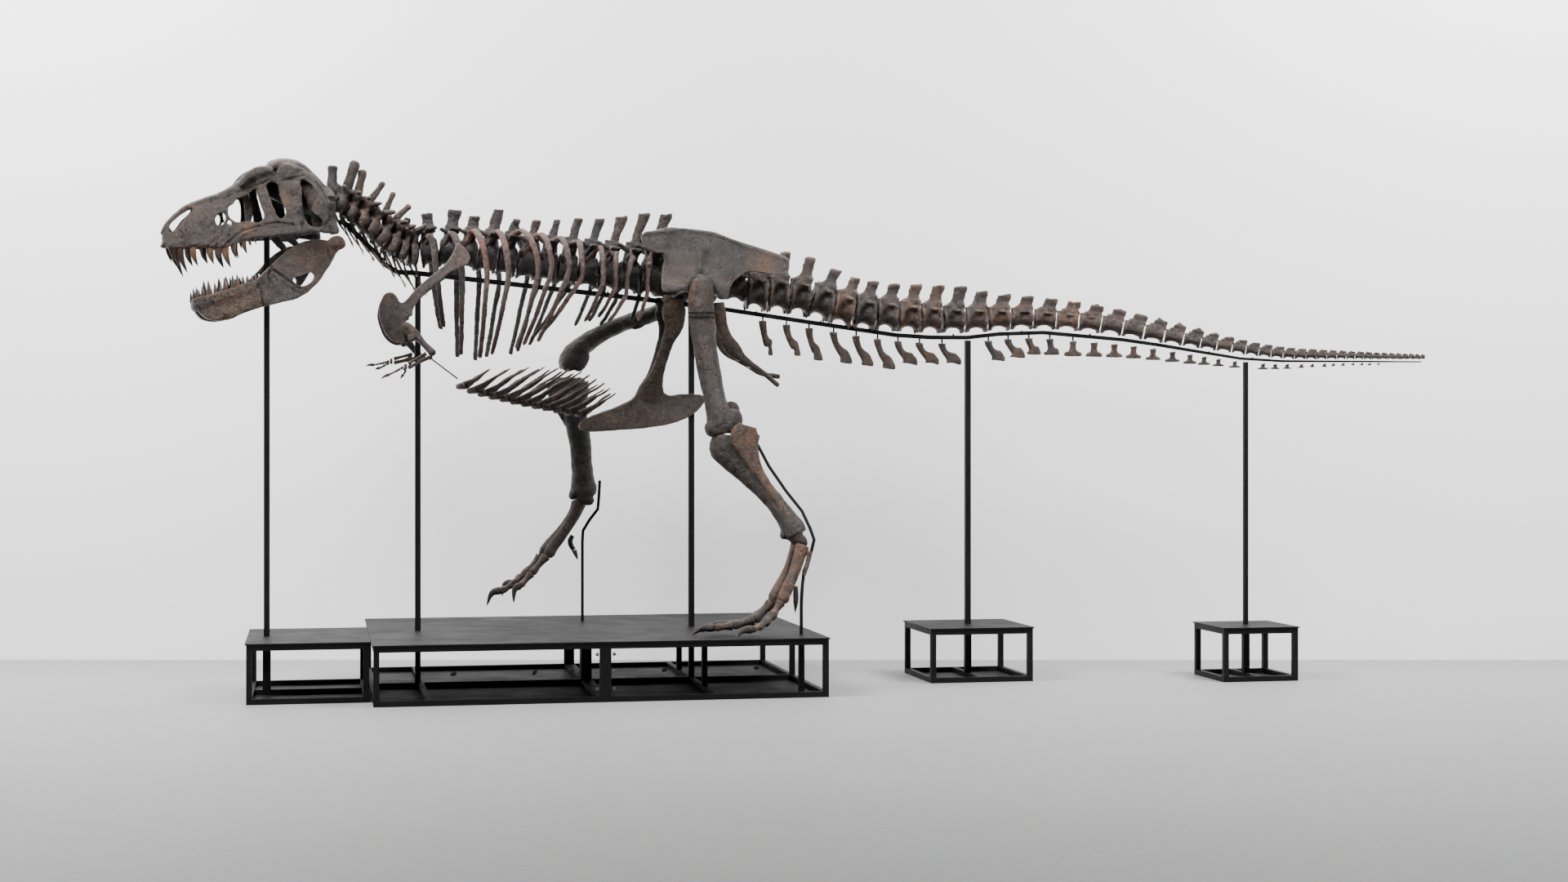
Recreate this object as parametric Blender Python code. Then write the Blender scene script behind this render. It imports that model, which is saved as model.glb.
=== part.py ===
"""A mounted tyrannosaur skeleton, striding on a black steel stand.

Metres, +Z up. The origin is on the floor, under the middle of the main platform. +X runs towards the
tail, and the animal's left side faces -Y. The vertebrae follow one line, given by its height and its
sideways sweep along X, and the steel rail under them follows it too.
"""

import math

import bmesh
import bpy
import numpy as np
from mathutils import Matrix, Vector

GAP = 0.0003

# The line through the middles of the vertebrae: height and sideways sweep at stations along X.
SPINE_HEIGHT = (
    (-2.40, 4.55), (-2.22, 4.40), (-2.01, 4.26), (-1.80, 4.09), (-1.62, 4.01), (-1.42, 4.03), (-1.10, 4.01),
    (-0.67, 3.95), (0.00, 3.87), (0.67, 3.80), (1.20, 3.75), (1.63, 3.69), (2.09, 3.65), (2.55, 3.53),
    (2.93, 3.49), (3.54, 3.46), (4.39, 3.465), (5.00, 3.41), (5.58, 3.30), (6.16, 3.19), (6.55, 3.13),
    (7.20, 3.10), (7.95, 3.08),
)
SPINE_SWEEP = (
    (-3.85, -0.56), (-2.92, -0.33), (-2.35, -0.20), (-1.90, -0.06), (-1.70, -0.02), (-1.55, 0.0),
    (-1.40, 0.0),
    (1.40, 0.0), (1.70, 0.0), (2.40, -0.01), (3.69, -0.09), (5.00, -0.32), (6.30, -0.68), (7.95, -1.15),
)
RAIL_HEIGHT = (
    (-2.36, 4.31), (-2.29, 4.305), (-2.11, 4.165), (-1.98, 4.04), (-1.87, 3.91), (-1.75, 3.84),
    (-1.58, 3.835),
    (-0.50, 3.725), (0.67, 3.605), (1.30, 3.535), (2.12, 3.42), (2.99, 3.30), (3.33, 3.28), (3.68, 3.28),
    (3.99, 3.315), (4.42, 3.33), (4.75, 3.30), (5.17, 3.26), (5.50, 3.21), (5.83, 3.15), (6.26, 3.075),
    (6.63, 3.05), (7.30, 3.045), (7.90, 3.04),
)

# Vertebrae: where each run starts and ends, how many it has, and their sizes from first to last.
NECK_FRONT, TRUNK_FRONT, SACRUM_FRONT, TAIL_FRONT, TAIL_END = -2.33, -1.54, 0.70, 1.52, 7.93
NECK_COUNT, TRUNK_COUNT, SACRUM_COUNT, TAIL_COUNT = 8, 12, 5, 44
TAIL_RUNS = (8, 16, 28, 44)

# The skull's middle plane leaves the neck at this point and turns this far towards the left.
HEAD_JOINT = Vector((-2.35, -0.20, 0.0))
HEAD_TURN = math.radians(13.5)

PLATFORM_LENGTH, PLATFORM_DEPTH, PLATFORM_TOP = 4.0, 3.0, 0.53
TUBE = 0.05
SHEET = 0.012
POLE_THICK = 0.052
RAIL = 0.045
PIN = 0.014
PIN_REACH = 0.035
BONE_COLOUR = (0.075, 0.045, 0.032, 1.0)
PALE_COLOUR = (0.11, 0.075, 0.05, 1.0)
STEEL_COLOUR = (0.012, 0.012, 0.013, 1.0)


def make_collection(name):
    collection = bpy.data.collections.new(name)
    bpy.context.scene.collection.children.link(collection)
    return collection


def make_material(name, colour, roughness, metallic):
    material = bpy.data.materials.new(name)
    material.use_nodes = True
    shader = material.node_tree.nodes["Principled BSDF"]
    shader.inputs["Base Color"].default_value = colour
    shader.inputs["Roughness"].default_value = roughness
    shader.inputs["Metallic"].default_value = metallic
    return material


for old in list(bpy.data.objects):
    bpy.data.objects.remove(old)
SKELETON = make_collection("mounted_skeleton")
HELPERS = make_collection("helpers")
BONE = make_material("fossil_bone", BONE_COLOUR, 0.5, 0.0)
PALE_BONE = make_material("pale_fossil_bone", PALE_COLOUR, 0.55, 0.0)
STEEL = make_material("black_steel", STEEL_COLOUR, 0.35, 0.6)


# ---- Lines ----


def smooth(stations, x):
    """The value at x on a smooth curve through (x, value) stations."""
    xs, values = np.array(stations).T
    slopes = np.gradient(values, xs)
    i = int(np.clip(np.searchsorted(xs, x) - 1, 0, len(xs) - 2))
    span = xs[i + 1] - xs[i]
    t = (x - xs[i]) / span
    ease = t * t * (3 - 2 * t)
    lift = span * (slopes[i] * t * (1 - t) ** 2 - slopes[i + 1] * t * t * (1 - t))
    return float(values[i] * (1 - ease) + values[i + 1] * ease + lift)


def spine_point(x, up=0.0, side=0.0):
    return Vector((x, smooth(SPINE_SWEEP, x) + side, smooth(SPINE_HEIGHT, x) + up))


def rail_point(x, up=0.0):
    return Vector((x, smooth(SPINE_SWEEP, x), smooth(RAIL_HEIGHT, x) + up))


def spine_direction(x):
    return (spine_point(x + 0.02) - spine_point(x - 0.02)).normalized()


def head_point(ahead, up, left=0.0):
    """A point of the skull: ahead of the neck joint along the skull's middle plane, and left of it."""
    forward = Vector((-math.cos(HEAD_TURN), -math.sin(HEAD_TURN), 0.0))
    leftward = Vector((math.sin(HEAD_TURN), -math.cos(HEAD_TURN), 0.0))
    return HEAD_JOINT + forward * ahead + leftward * left + Vector((0.0, 0.0, up))


def between(first, last, share):
    return first + (last - first) * share


# ---- Shells ----


def finished(shape):
    bmesh.ops.recalc_face_normals(shape, faces=shape.faces)
    mesh = bpy.data.meshes.new("shell")
    shape.to_mesh(mesh)
    shape.free()
    return mesh


def loft(rings):
    """A closed skin through rings of points that all have the same count."""
    shape = bmesh.new()
    rows = [[shape.verts.new(point) for point in ring] for ring in rings]
    for near, far in zip(rows, rows[1:]):
        for i in range(len(near)):
            j = (i + 1) % len(near)
            shape.faces.new((near[i], near[j], far[j], far[i]))
    shape.faces.new(rows[0][::-1])
    shape.faces.new(rows[-1])
    return finished(shape)


def oval(centre, along, side, wide, tall, sides):
    """A ring across a bone that runs along: wide in the side direction, and tall across that."""
    along = Vector(along).normalized()
    across = Vector(side)
    across = (across - along * across.dot(along)).normalized()
    upward = along.cross(across)
    stretch = 0.5 / math.cos(math.pi / sides)
    turns = [math.tau * (i + 0.5) / sides for i in range(sides)]
    return [
        centre + across * (wide * stretch * math.cos(turn)) + upward * (tall * stretch * math.sin(turn))
        for turn in turns
    ]


def bone(path, sizes, side=(0.0, 1.0, 0.0), sides=8):
    """A shaft through the path's points, with a (wide, tall) size at each."""
    points = [Vector(point) for point in path]
    rings = []
    for i, (wide, tall) in enumerate(sizes):
        along = points[min(i + 1, len(points) - 1)] - points[max(i - 1, 0)]
        rings.append(oval(points[i], along, side, wide, tall, sides))
    return loft(rings)


def mesh_of(curve):
    """A curve's closed surface as a mesh, its caps welded to its sides."""
    holder = bpy.data.objects.new("holder", curve)
    HELPERS.objects.link(holder)
    graph = bpy.context.evaluated_depsgraph_get()
    shape = bmesh.new()
    shape.from_mesh(bpy.data.meshes.new_from_object(holder.evaluated_get(graph)))
    bpy.data.objects.remove(holder)
    bmesh.ops.remove_doubles(shape, verts=shape.verts, dist=0.00001)
    return finished(shape)


def bar(points, radii, roundness=1):
    """A round bar through the points, as thick at each as its radius."""
    curve = bpy.data.curves.new("bar", "CURVE")
    curve.dimensions = "3D"
    curve.bevel_depth = 1.0
    curve.bevel_resolution = roundness
    curve.use_fill_caps = True
    spline = curve.splines.new("POLY")
    spline.points.add(len(points) - 1)
    for node, point, radius in zip(spline.points, points, radii):
        node.co = (*point, 1.0)
        node.radius = radius
    return mesh_of(curve)


def plate(outline, thick, middle=0.0, lean=0.0):
    """A flat bone cut to an outline of (x, z) points, as thick as given across Y, leaning about its foot."""
    curve = bpy.data.curves.new("plate", "CURVE")
    curve.dimensions = "2D"
    curve.fill_mode = "BOTH"
    curve.extrude = thick / 2
    foot = min(z for x, z in outline)
    spline = curve.splines.new("POLY")
    spline.points.add(len(outline) - 1)
    for node, (x, z) in zip(spline.points, outline):
        node.co = (x, z - foot, 0.0, 1.0)
    spline.use_cyclic_u = True
    mesh = mesh_of(curve)
    stand_up = Matrix.Rotation(math.pi / 2 + lean, 4, "X")
    mesh.transform(Matrix.Translation((0.0, middle, foot)) @ stand_up)
    return mesh


def box(low, high):
    shape = bmesh.new()
    size = Vector(high) - Vector(low)
    place = Matrix.Translation((Vector(low) + Vector(high)) / 2) @ Matrix.Diagonal((*size, 1.0))
    bmesh.ops.create_cube(shape, size=1.0, matrix=place)
    return finished(shape)


def ball(centre, size, rings=5, sides=8):
    shape = bmesh.new()
    place = Matrix.Translation(centre) @ Matrix.Diagonal((*size, 1.0))
    bmesh.ops.create_uvsphere(shape, u_segments=sides, v_segments=rings, radius=0.5, matrix=place)
    return finished(shape)


def mirrored(mesh, middle=0.0):
    """The shell's twin on the other side of the plane y = middle."""
    twin = mesh.copy()
    twin.transform(Matrix.Translation((0.0, 2 * middle, 0.0)) @ Matrix.Diagonal((1.0, -1.0, 1.0, 1.0)))
    twin.flip_normals()
    return twin


# ---- Bodies ----


def joined(shells):
    shape = bmesh.new()
    for shell in shells:
        shape.from_mesh(shell)
    mesh = bpy.data.meshes.new("joined")
    shape.to_mesh(mesh)
    shape.free()
    return mesh


def helper(mesh):
    thing = bpy.data.objects.new("helper", mesh)
    HELPERS.objects.link(thing)
    thing.hide_render = True
    thing.display_type = "WIRE"
    return thing


def add_boolean(thing, operation, mesh):
    step = thing.modifiers.new(operation.lower(), "BOOLEAN")
    step.operation = operation
    step.object = helper(mesh)
    step.use_self = True


def one_body(name, shells, material, holes=(), keep=1.0):
    """The node made of overlapping shells: united, cut by any holes, and keeping that share of its faces."""
    thing = bpy.data.objects.new(name, joined(shells[:-1]) if len(shells) > 1 else shells[0])
    SKELETON.objects.link(thing)
    if len(shells) > 1:
        add_boolean(thing, "UNION", shells[-1])
    for hole in holes:
        add_boolean(thing, "DIFFERENCE", hole)
    if keep < 1.0:
        thing.modifiers.new("thin", "DECIMATE").ratio = keep
    thing.data.materials.append(material)
    return thing


# ---- Vertebrae ----


def joints_along(front, back, lengths):
    """X of each joint in a run of vertebrae whose lengths are in these proportions."""
    ends = np.cumsum([0.0, *lengths])
    return [front + (back - front) * end / ends[-1] for end in ends]


TAIL_PITCH = ((0, 0.225), (18, 0.200), (22, 0.145), (30, 0.100), (43, 0.052))
NECK_JOINTS = joints_along(NECK_FRONT, TRUNK_FRONT - 0.02, np.linspace(1.0, 1.05, NECK_COUNT))
TRUNK_JOINTS = joints_along(TRUNK_FRONT, SACRUM_FRONT, np.linspace(1.0, 1.15, TRUNK_COUNT))
SACRUM_JOINTS = joints_along(SACRUM_FRONT + 0.002, TAIL_FRONT - 0.002, [1.0] * SACRUM_COUNT)
TAIL_JOINTS = joints_along(TAIL_FRONT, TAIL_END, [smooth(TAIL_PITCH, i) for i in range(TAIL_COUNT)])


def section(x, tall, span, top, thick, roof, lean, points):
    """A ring across the spine, as pairs out from the middle: drum, side, side process, arch and spine tip."""
    centre, along = spine_point(x), spine_direction(x)
    upward = Vector((-along.z / 2, 0.0, along.x)).normalized()
    half = tall / 2
    pairs = {
        "low": (half * 0.5, -half), "side": (half * 0.95, half * 0.3),
        "process": (span, max(roof * 0.62, half * 0.8)),
        "arch": (thick * 0.75, roof * 0.92), "tip": (thick / 2, top),
    }
    over = Vector((lean * max(top - roof, 0.0), 0.0, 0.0))
    right = [centre + Vector((0, -out, 0)) + upward * up for out, up in (pairs[name] for name in points)]
    left = [centre + Vector((0, out, 0)) + upward * up for out, up in (pairs[name] for name in points[::-1])]
    right[-1] += over
    left[0] += over
    return right + left


def column(joints, drum, roof_at, tip_at, span_at, thick, blade, lean, points):
    """A run of vertebrae in one skin: plain at each joint, and rising over each blade into spine and processes.

    A blade is given by the shares of the vertebra's length where it starts and ends.
    """
    rings = []
    for front, back in zip(joints, joints[1:]):
        for share, raised in ((0.04, 0.0), *((place, 1.0) for place in blade)):
            x = between(front, back, share)
            tall, roof = smooth(drum, x), smooth(roof_at, x)
            span = smooth(span_at, x) if raised else tall * 0.42
            top = smooth(tip_at, x) if raised else roof
            rings.append(section(x, tall * (1 - 0.18 * raised), span, top, thick, roof, lean, points))
    x = joints[-1] - 0.04 * (joints[-1] - joints[-2])
    tall, roof = smooth(drum, x), smooth(roof_at, x)
    rings.append(section(x, tall, tall * 0.42, roof, thick, roof, lean, points))
    return loft(rings)


WINGED = ("low", "side", "process", "arch", "tip")
WINGLESS = ("low", "side", "arch", "tip")
SLIGHT = ("low", "side", "tip")

NECK_DRUM = ((NECK_FRONT, 0.14), (-1.9, 0.18), (TRUNK_FRONT, 0.23))
NECK_ROOF = ((NECK_FRONT, 0.12), (TRUNK_FRONT, 0.18))
NECK_TIP = ((NECK_FRONT, 0.28), (-2.15, 0.42), (-1.90, 0.40), (-1.70, 0.35), (TRUNK_FRONT, 0.28))
NECK_SPAN = ((NECK_FRONT, 0.14), (TRUNK_FRONT, 0.20))


def make_neck():
    blades = (0.30, 0.72)
    shells = [column(NECK_JOINTS, NECK_DRUM, NECK_ROOF, NECK_TIP, NECK_SPAN, 0.10, blades, -0.05, WINGED)]
    for front, back in zip(NECK_JOINTS, NECK_JOINTS[1:]):
        middle = (front + back) / 2
        for side in (-1, 1):
            root = spine_point(middle + 0.005, 0.0, side * 0.035)
            path = [root, spine_point(middle + 0.13, -0.40, side * 0.12)]
            shells.append(bone(path, [(0.045, 0.04), (0.010, 0.012)], (1, 0, 0), sides=5))
    return one_body("neck", shells, BONE, keep=0.70)


TRUNK_DRUM = ((TRUNK_FRONT, 0.24), (-0.6, 0.25), (SACRUM_FRONT, 0.27))
TRUNK_ROOF = ((TRUNK_FRONT, 0.22), (-0.6, 0.25), (SACRUM_FRONT, 0.30))
TRUNK_TIP = (
    (TRUNK_FRONT, 0.36), (-1.25, 0.40), (-0.90, 0.44), (-0.50, 0.43), (0.10, 0.54), (SACRUM_FRONT, 0.64),
)

# Each rib of a side: where its shoulder, its widest stretch and its end lie, as (x, z).
RIBS = (
    ((-1.47, 4.16), (-1.41, 3.85), (-1.34, 3.33)), ((-1.27, 4.19), (-1.18, 3.85), (-1.18, 3.08)),
    ((-1.06, 4.21), (-0.96, 3.80), (-1.01, 3.05)), ((-0.84, 4.21), (-0.77, 3.78), (-0.90, 3.08)),
    ((-0.63, 4.22), (-0.50, 3.84), (-0.67, 3.11)), ((-0.45, 4.19), (-0.38, 3.84), (-0.61, 3.17)),
    ((-0.27, 4.16), (-0.22, 3.84), (-0.48, 3.20)), ((-0.10, 4.13), (-0.10, 3.78), (-0.46, 3.25)),
    ((0.10, 4.08), (0.10, 3.74), (-0.05, 3.38)), ((0.25, 4.03), (0.22, 3.70), (0.08, 3.42)),
    ((0.41, 3.99), (0.33, 3.64), (0.18, 3.38)), ((0.56, 3.94), (0.54, 3.66), (0.46, 3.40)),
)
RIB_REACH = ((0, 0.33), (2, 0.50), (5, 0.57), (8, 0.50), (11, 0.28))
RIB_TUCK = ((0, 0.24), (3, 0.36), (7, 0.44), (11, 0.27))


def half_column(side):
    """One side of the trunk's vertebrae in one skin, flat along the middle plane."""
    rings = []
    for front, back in zip(TRUNK_JOINTS, TRUNK_JOINTS[1:]):
        places = ((0.04, 0.0), (0.34, 1.0), (0.84, 1.0), (0.96, 0.0))
        for share, raised in places if back == TRUNK_JOINTS[-1] else places[:3]:
            x = between(front, back, share)
            half = smooth(TRUNK_DRUM, x) * (0.5 - 0.08 * raised)
            roof = smooth(TRUNK_ROOF, x)
            top, over = (smooth(TRUNK_TIP, x), 0.02) if raised else (roof, 0.0)
            ring = [(GAP / 2, -half, 0), (half * 0.55, -half, 0), (half * 0.95, half * 0.2, 0), (0.045, roof, 0)]
            ring += [(0.024, top, over), (GAP / 2, top, over)]
            rings.append([Vector((x + lean, side * out, smooth(SPINE_HEIGHT, x) + up)) for out, up, lean in ring])
    return loft(rings)


def rib(i, side):
    """A rib with the process that carries it, from the arch out to the shoulder and down round the chest."""
    (top_x, top_z), (mid_x, mid_z), (end_x, end_z) = RIBS[i]
    reach, tuck = smooth(RIB_REACH, i), smooth(RIB_TUCK, i)
    root = spine_point(between(TRUNK_JOINTS[i], TRUNK_JOINTS[i + 1], 0.55), 0.15, side * 0.05)
    path = [
        root,
        Vector((top_x, side * 0.25, top_z)),
        Vector((between(top_x, mid_x, 0.75), side * between(0.25, reach, 0.88), between(top_z, mid_z, 0.50))),
        Vector((between(mid_x, end_x, 0.22), side * reach, between(mid_z, end_z, 0.25))),
        Vector((end_x, side * tuck, end_z)),
    ]
    sizes = [(0.10, 0.09), (0.085, 0.055), (0.06, 0.045), (0.055, 0.04), (0.05, 0.03)]
    return bone(path, sizes, (1, 0, 0), sides=4)


def make_rib_cage(name, side):
    shells = [half_column(-1), *(rib(i, -1) for i in range(TRUNK_COUNT))]
    if side > 0:
        shells = [mirrored(shell) for shell in shells]
    return one_body(name, shells, BONE, keep=0.64)


SACRUM_DRUM = ((SACRUM_FRONT, 0.25), (1.1, 0.22), (TAIL_FRONT, 0.27))
SACRUM_ROOF = ((SACRUM_FRONT, 0.28), (TAIL_FRONT, 0.22))
SACRUM_TIP = ((SACRUM_FRONT, 0.46), (1.0, 0.42), (1.3, 0.40), (TAIL_FRONT, 0.36))
SACRUM_SPAN = ((SACRUM_FRONT, 0.185), (TAIL_FRONT, 0.185))


def make_sacrum():
    blades = (0.12, 0.88)
    crest = column(SACRUM_JOINTS, SACRUM_DRUM, SACRUM_ROOF, SACRUM_TIP, SACRUM_SPAN, 0.05, blades, 0.0, WINGED)
    return one_body("sacrum", [crest], BONE)


TAIL_DRUM = (
    (1.50, 0.29), (2.10, 0.30), (2.90, 0.27), (3.54, 0.235), (4.40, 0.175), (5.40, 0.14), (6.03, 0.10),
    (6.80, 0.072), (7.50, 0.046), (7.95, 0.026),
)
TAIL_ROOF = (
    (1.50, 0.20), (2.90, 0.17), (4.40, 0.10), (5.40, 0.075), (6.03, 0.05), (6.80, 0.036), (7.95, 0.013),
)
TAIL_TIP = (
    (1.50, 0.40), (1.95, 0.40), (2.15, 0.37), (2.38, 0.33), (2.83, 0.31), (3.54, 0.31), (3.98, 0.23),
    (4.43, 0.195), (4.85, 0.165), (5.40, 0.13), (6.03, 0.09), (6.80, 0.055), (7.95, 0.020),
)
TAIL_SPAN = ((1.50, 0.28), (2.40, 0.24), (3.60, 0.16), (5.00, 0.06), (7.95, 0.01))

# Each stretch of the tail: its spines' thickness, where on a vertebra they stand, their lean, and its section.
TAIL_STYLES = (
    (0.050, (0.40, 0.86), 0.10, WINGED), (0.040, (0.40, 0.84), 0.15, WINGED),
    (0.030, (0.30, 0.90), 0.30, WINGLESS),
    (0.016, (0.70,), 0.20, SLIGHT),
)


def make_tail():
    first = 0
    for number, (last, style) in enumerate(zip(TAIL_RUNS, TAIL_STYLES), 1):
        run = TAIL_JOINTS[first:last + 1]
        shells = [column(run, TAIL_DRUM, TAIL_ROOF, TAIL_TIP, TAIL_SPAN, *style)]
        one_body(f"tail_{number}", shells, BONE, keep=0.80)
        first = last


# Chevrons hang under the rail: (x of the top, x of the toe, height, toe length), then a rule for the rest.
CHEVRONS = (
    (1.69, 1.76, 0.33, 0.05), (1.92, 2.02, 0.30, 0.07), (2.14, 2.22, 0.31, 0.10), (2.38, 2.49, 0.30, 0.13),
    (2.60, 2.70, 0.29, 0.13), (2.81, 2.91, 0.29, 0.14), (3.01, 3.11, 0.22, 0.17), (3.22, 3.33, 0.20, 0.16),
    (3.44, 3.54, 0.19, 0.17), (3.89, 3.98, 0.19, 0.15), (4.08, 4.17, 0.18, 0.17), (4.28, 4.33, 0.16, 0.15),
    (4.48, 4.50, 0.16, 0.17), (4.70, 4.70, 0.15, 0.19),
)


def make_chevron(number, top_x, toe_x, tall, toe):
    top = rail_point(top_x, -0.02 - PIN_REACH)
    sole = rail_point(toe_x)
    sole.z = top.z - tall
    sole.x += toe * 0.08
    waist = top.lerp(sole, 0.45) + Vector((-0.01, 0, 0))
    ankle = top.lerp(sole, 0.78)
    path = [top, waist, ankle, sole + Vector((0, 0, 0.025)), sole]
    sizes = [(0.055, 0.07), (0.035, 0.04), (0.045, 0.055), (0.04, toe), (0.03, toe * 0.85)]
    return one_body(f"chevron_{number:02d}", [upright(path, sizes)], BONE)


def upright(path, sizes):
    """A shaft whose rings all lie level, each wide across Y and long along X."""
    rings = [oval(point, (0, 0, -1), (0, 1, 0), wide, long, 4) for point, (wide, long) in zip(path, sizes)]
    return loft(rings)


# ---- Head ----

# Stations of the skull ahead of the neck joint: its top, the foot of its side walls and its roof inside,
# then its half width at the top, at the cheek and at the foot.
SKULL = (
    (1.500, 4.150, 4.030, 4.060, 0.020, 0.05, 0.05),
    (1.455, 4.225, 3.985, 4.060, 0.035, 0.10, 0.10),
    (1.340, 4.340, 3.985, 4.080, 0.045, 0.135, 0.145),
    (1.150, 4.440, 3.985, 4.090, 0.05, 0.150, 0.175),
    (0.940, 4.515, 4.010, 4.110, 0.055, 0.165, 0.195),
    (0.800, 4.620, 4.060, 4.130, 0.09, 0.190, 0.225),
    (0.690, 4.715, 4.080, 4.150, 0.17, 0.240, 0.270),
    (0.560, 4.720, 4.095, 4.160, 0.20, 0.300, 0.330),
    (0.500, 4.760, 4.105, 4.160, 0.21, 0.330, 0.360),
    (0.400, 4.815, 4.115, 4.160, 0.21, 0.360, 0.400),
    (0.280, 4.775, 4.125, 4.160, 0.19, 0.375, 0.425),
    (0.120, 4.650, 4.130, 4.170, 0.17, 0.350, 0.410),
    (0.030, 4.560, 4.150, 4.200, 0.15, 0.300, 0.360),
)
WALL = 0.055


def skull_ring(station):
    """A section open below: over the top from one foot to the other, and back along the inside."""
    ahead, top, foot, roof, top_half, cheek_half, foot_half = station
    cheek = between(foot, top, 0.45)
    wall = min(WALL, foot_half * 0.6)
    outside = [(foot_half, foot), (cheek_half, cheek), (top_half * 1.15, top - 0.05), (top_half * 0.6, top)]
    inside = [(foot_half - wall, foot), (foot_half - wall, roof)]
    right = [head_point(ahead, z, -half) for half, z in outside]
    left = [head_point(ahead, z, half) for half, z in outside[::-1]]
    under_left = [head_point(ahead, z, half) for half, z in inside]
    under_right = [head_point(ahead, z, -half) for half, z in inside[::-1]]
    return right + left + under_left + under_right


def head_cutter(outline, low, high):
    """A prism across the skull, from an outline of (ahead, z) points, between two distances to its left."""
    return loft([[head_point(ahead, z, left) for ahead, z in outline] for left in (low, high)])


NOSTRIL = ((1.425, 4.17), (1.36, 4.235), (1.27, 4.33), (1.30, 4.25), (1.38, 4.15))
MAXILLARY = ((1.06, 4.21), (1.06, 4.28), (1.01, 4.31), (0.97, 4.27), (0.98, 4.20))
ANTORBITAL = (
    (0.955, 4.27), (0.945, 4.37), (0.88, 4.43), (0.79, 4.52), (0.72, 4.50), (0.70, 4.30), (0.80, 4.22),
    (0.92, 4.21),
)
ORBIT = ((0.60, 4.56), (0.52, 4.58), (0.47, 4.34), (0.50, 4.27), (0.55, 4.28), (0.59, 4.38))
TEMPLE = ((0.30, 4.60), (0.17, 4.54), (0.10, 4.40), (0.15, 4.24), (0.27, 4.20), (0.32, 4.32))

# Teeth of one side: how far ahead, how long, and how thick at the gum.
UPPER_TEETH = (
    (1.44, 0.15, 0.040), (1.405, 0.20, 0.046), (1.33, 0.10, 0.040), (1.255, 0.155, 0.050),
    (1.19, 0.06, 0.036),
    (1.12, 0.145, 0.048), (1.06, 0.10, 0.046), (0.985, 0.175, 0.052), (0.93, 0.115, 0.044),
    (0.835, 0.10, 0.040),
    (0.795, 0.055, 0.030), (0.755, 0.045, 0.026),
)
LOWER_TEETH = (
    (1.235, 0.075, 0.034), (1.205, 0.10, 0.040), (1.155, 0.115, 0.044), (1.105, 0.11, 0.042),
    (1.06, 0.10, 0.040),
    (1.005, 0.11, 0.044), (0.94, 0.115, 0.044), (0.90, 0.09, 0.038), (0.86, 0.075, 0.034),
    (0.81, 0.055, 0.030),
)


def skull_value(column, ahead):
    stations = sorted((station[0], station[column]) for station in SKULL)
    return float(np.interp(ahead, *zip(*stations)))


def tooth(root, tip, thick):
    """A blunt spike, set a little way into the jaw at its root."""
    along = (tip - root).normalized()
    sizes = ((root, thick), (tip, thick * 0.16))
    return loft([oval(point, along, (0, 1, 0), size * 0.8, size, 4) for point, size in sizes])


def upper_tooth(ahead, long, thick, side):
    left = side * (skull_value(6, ahead) - WALL * 0.55)
    gum = skull_value(2, ahead) + 0.03
    return tooth(head_point(ahead, gum, left), head_point(ahead - 0.025, gum - 0.03 - long, left), thick)


def make_skull():
    shells = [loft([skull_ring(station) for station in SKULL])]
    palate = [head_point(0.98, 4.15), head_point(0.6, 4.165), head_point(0.2, 4.20)]
    shells.append(bone(palate, [(0.16, 0.04), (0.22, 0.05), (0.26, 0.08)], (0.23, -0.97, 0), sides=6))
    condyle = [head_point(0.20, 4.42), head_point(0.03, 4.46), head_point(-0.01, 4.49)]
    shells.append(bone(condyle, [(0.22, 0.20), (0.15, 0.14), (0.08, 0.08)], (0.23, -0.97, 0), sides=6))
    for side in (-1, 1):
        quadrate = [head_point(0.08, 4.36, side * 0.27), head_point(0.05, 4.17, side * 0.355)]
        shells.append(bone(quadrate, [(0.05, 0.09), (0.10, 0.08)], (0.23, -0.97, 0), sides=6))
        pterygoid = [
            head_point(0.50, 4.17, side * 0.09), head_point(0.42, 4.10, side * 0.2), head_point(0.34, 4.02, side * 0.21),
        ]
        shells.append(bone(pterygoid, [(0.05, 0.09), (0.04, 0.08), (0.03, 0.06)], (0.23, -0.97, 0), sides=5))
        shells += [upper_tooth(*values, side) for values in UPPER_TEETH]
    holes = [head_cutter(outline, -0.6, 0.6) for outline in (MAXILLARY, ANTORBITAL, ORBIT, TEMPLE)]
    socket = [spine_point(NECK_FRONT - 0.012, 0.03), spine_point(NECK_FRONT + 0.10, 0.03)]
    holes.append(bone(socket, [(0.30, 0.34), (0.30, 0.34)], sides=8))
    for side in (-1, 1):
        low, high = sorted((side * 0.035, side * 0.30))
        holes.append(head_cutter(NOSTRIL, low, high))
    return one_body("skull", shells, BONE, holes, keep=0.64)


# Stations of a mandible ahead of the neck joint: top and bottom, distance out from the middle, thickness.
MANDIBLE = (
    (1.255, 3.535, 3.500, 0.045, 0.05), (1.205, 3.560, 3.420, 0.075, 0.07), (1.13, 3.580, 3.375, 0.105, 0.08),
    (0.98, 3.625, 3.355, 0.130, 0.075), (0.80, 3.690, 3.425, 0.165, 0.07), (0.66, 3.790, 3.475, 0.210, 0.06),
    (0.52, 3.930, 3.510, 0.265, 0.05), (0.38, 4.030, 3.560, 0.315, 0.045), (0.26, 4.075, 3.690, 0.345, 0.045),
    (0.13, 4.085, 3.810, 0.355, 0.06), (0.05, 4.115, 3.960, 0.355, 0.10), (-0.03, 4.105, 4.000, 0.355, 0.08),
)
JAW_WINDOW = ((0.41, 3.70), (0.37, 3.775), (0.27, 3.78), (0.25, 3.74), (0.31, 3.66))


def mandible(side):
    rings = []
    for ahead, top, bottom, out, thick in MANDIBLE:
        waist = (top + bottom) / 2
        outline = ((-0.5, waist), (-0.3, top), (0.3, top), (0.5, waist), (0.3, bottom), (-0.3, bottom))
        rings.append([head_point(ahead, z, side * out + share * thick) for share, z in outline])
    return loft(rings)


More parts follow.
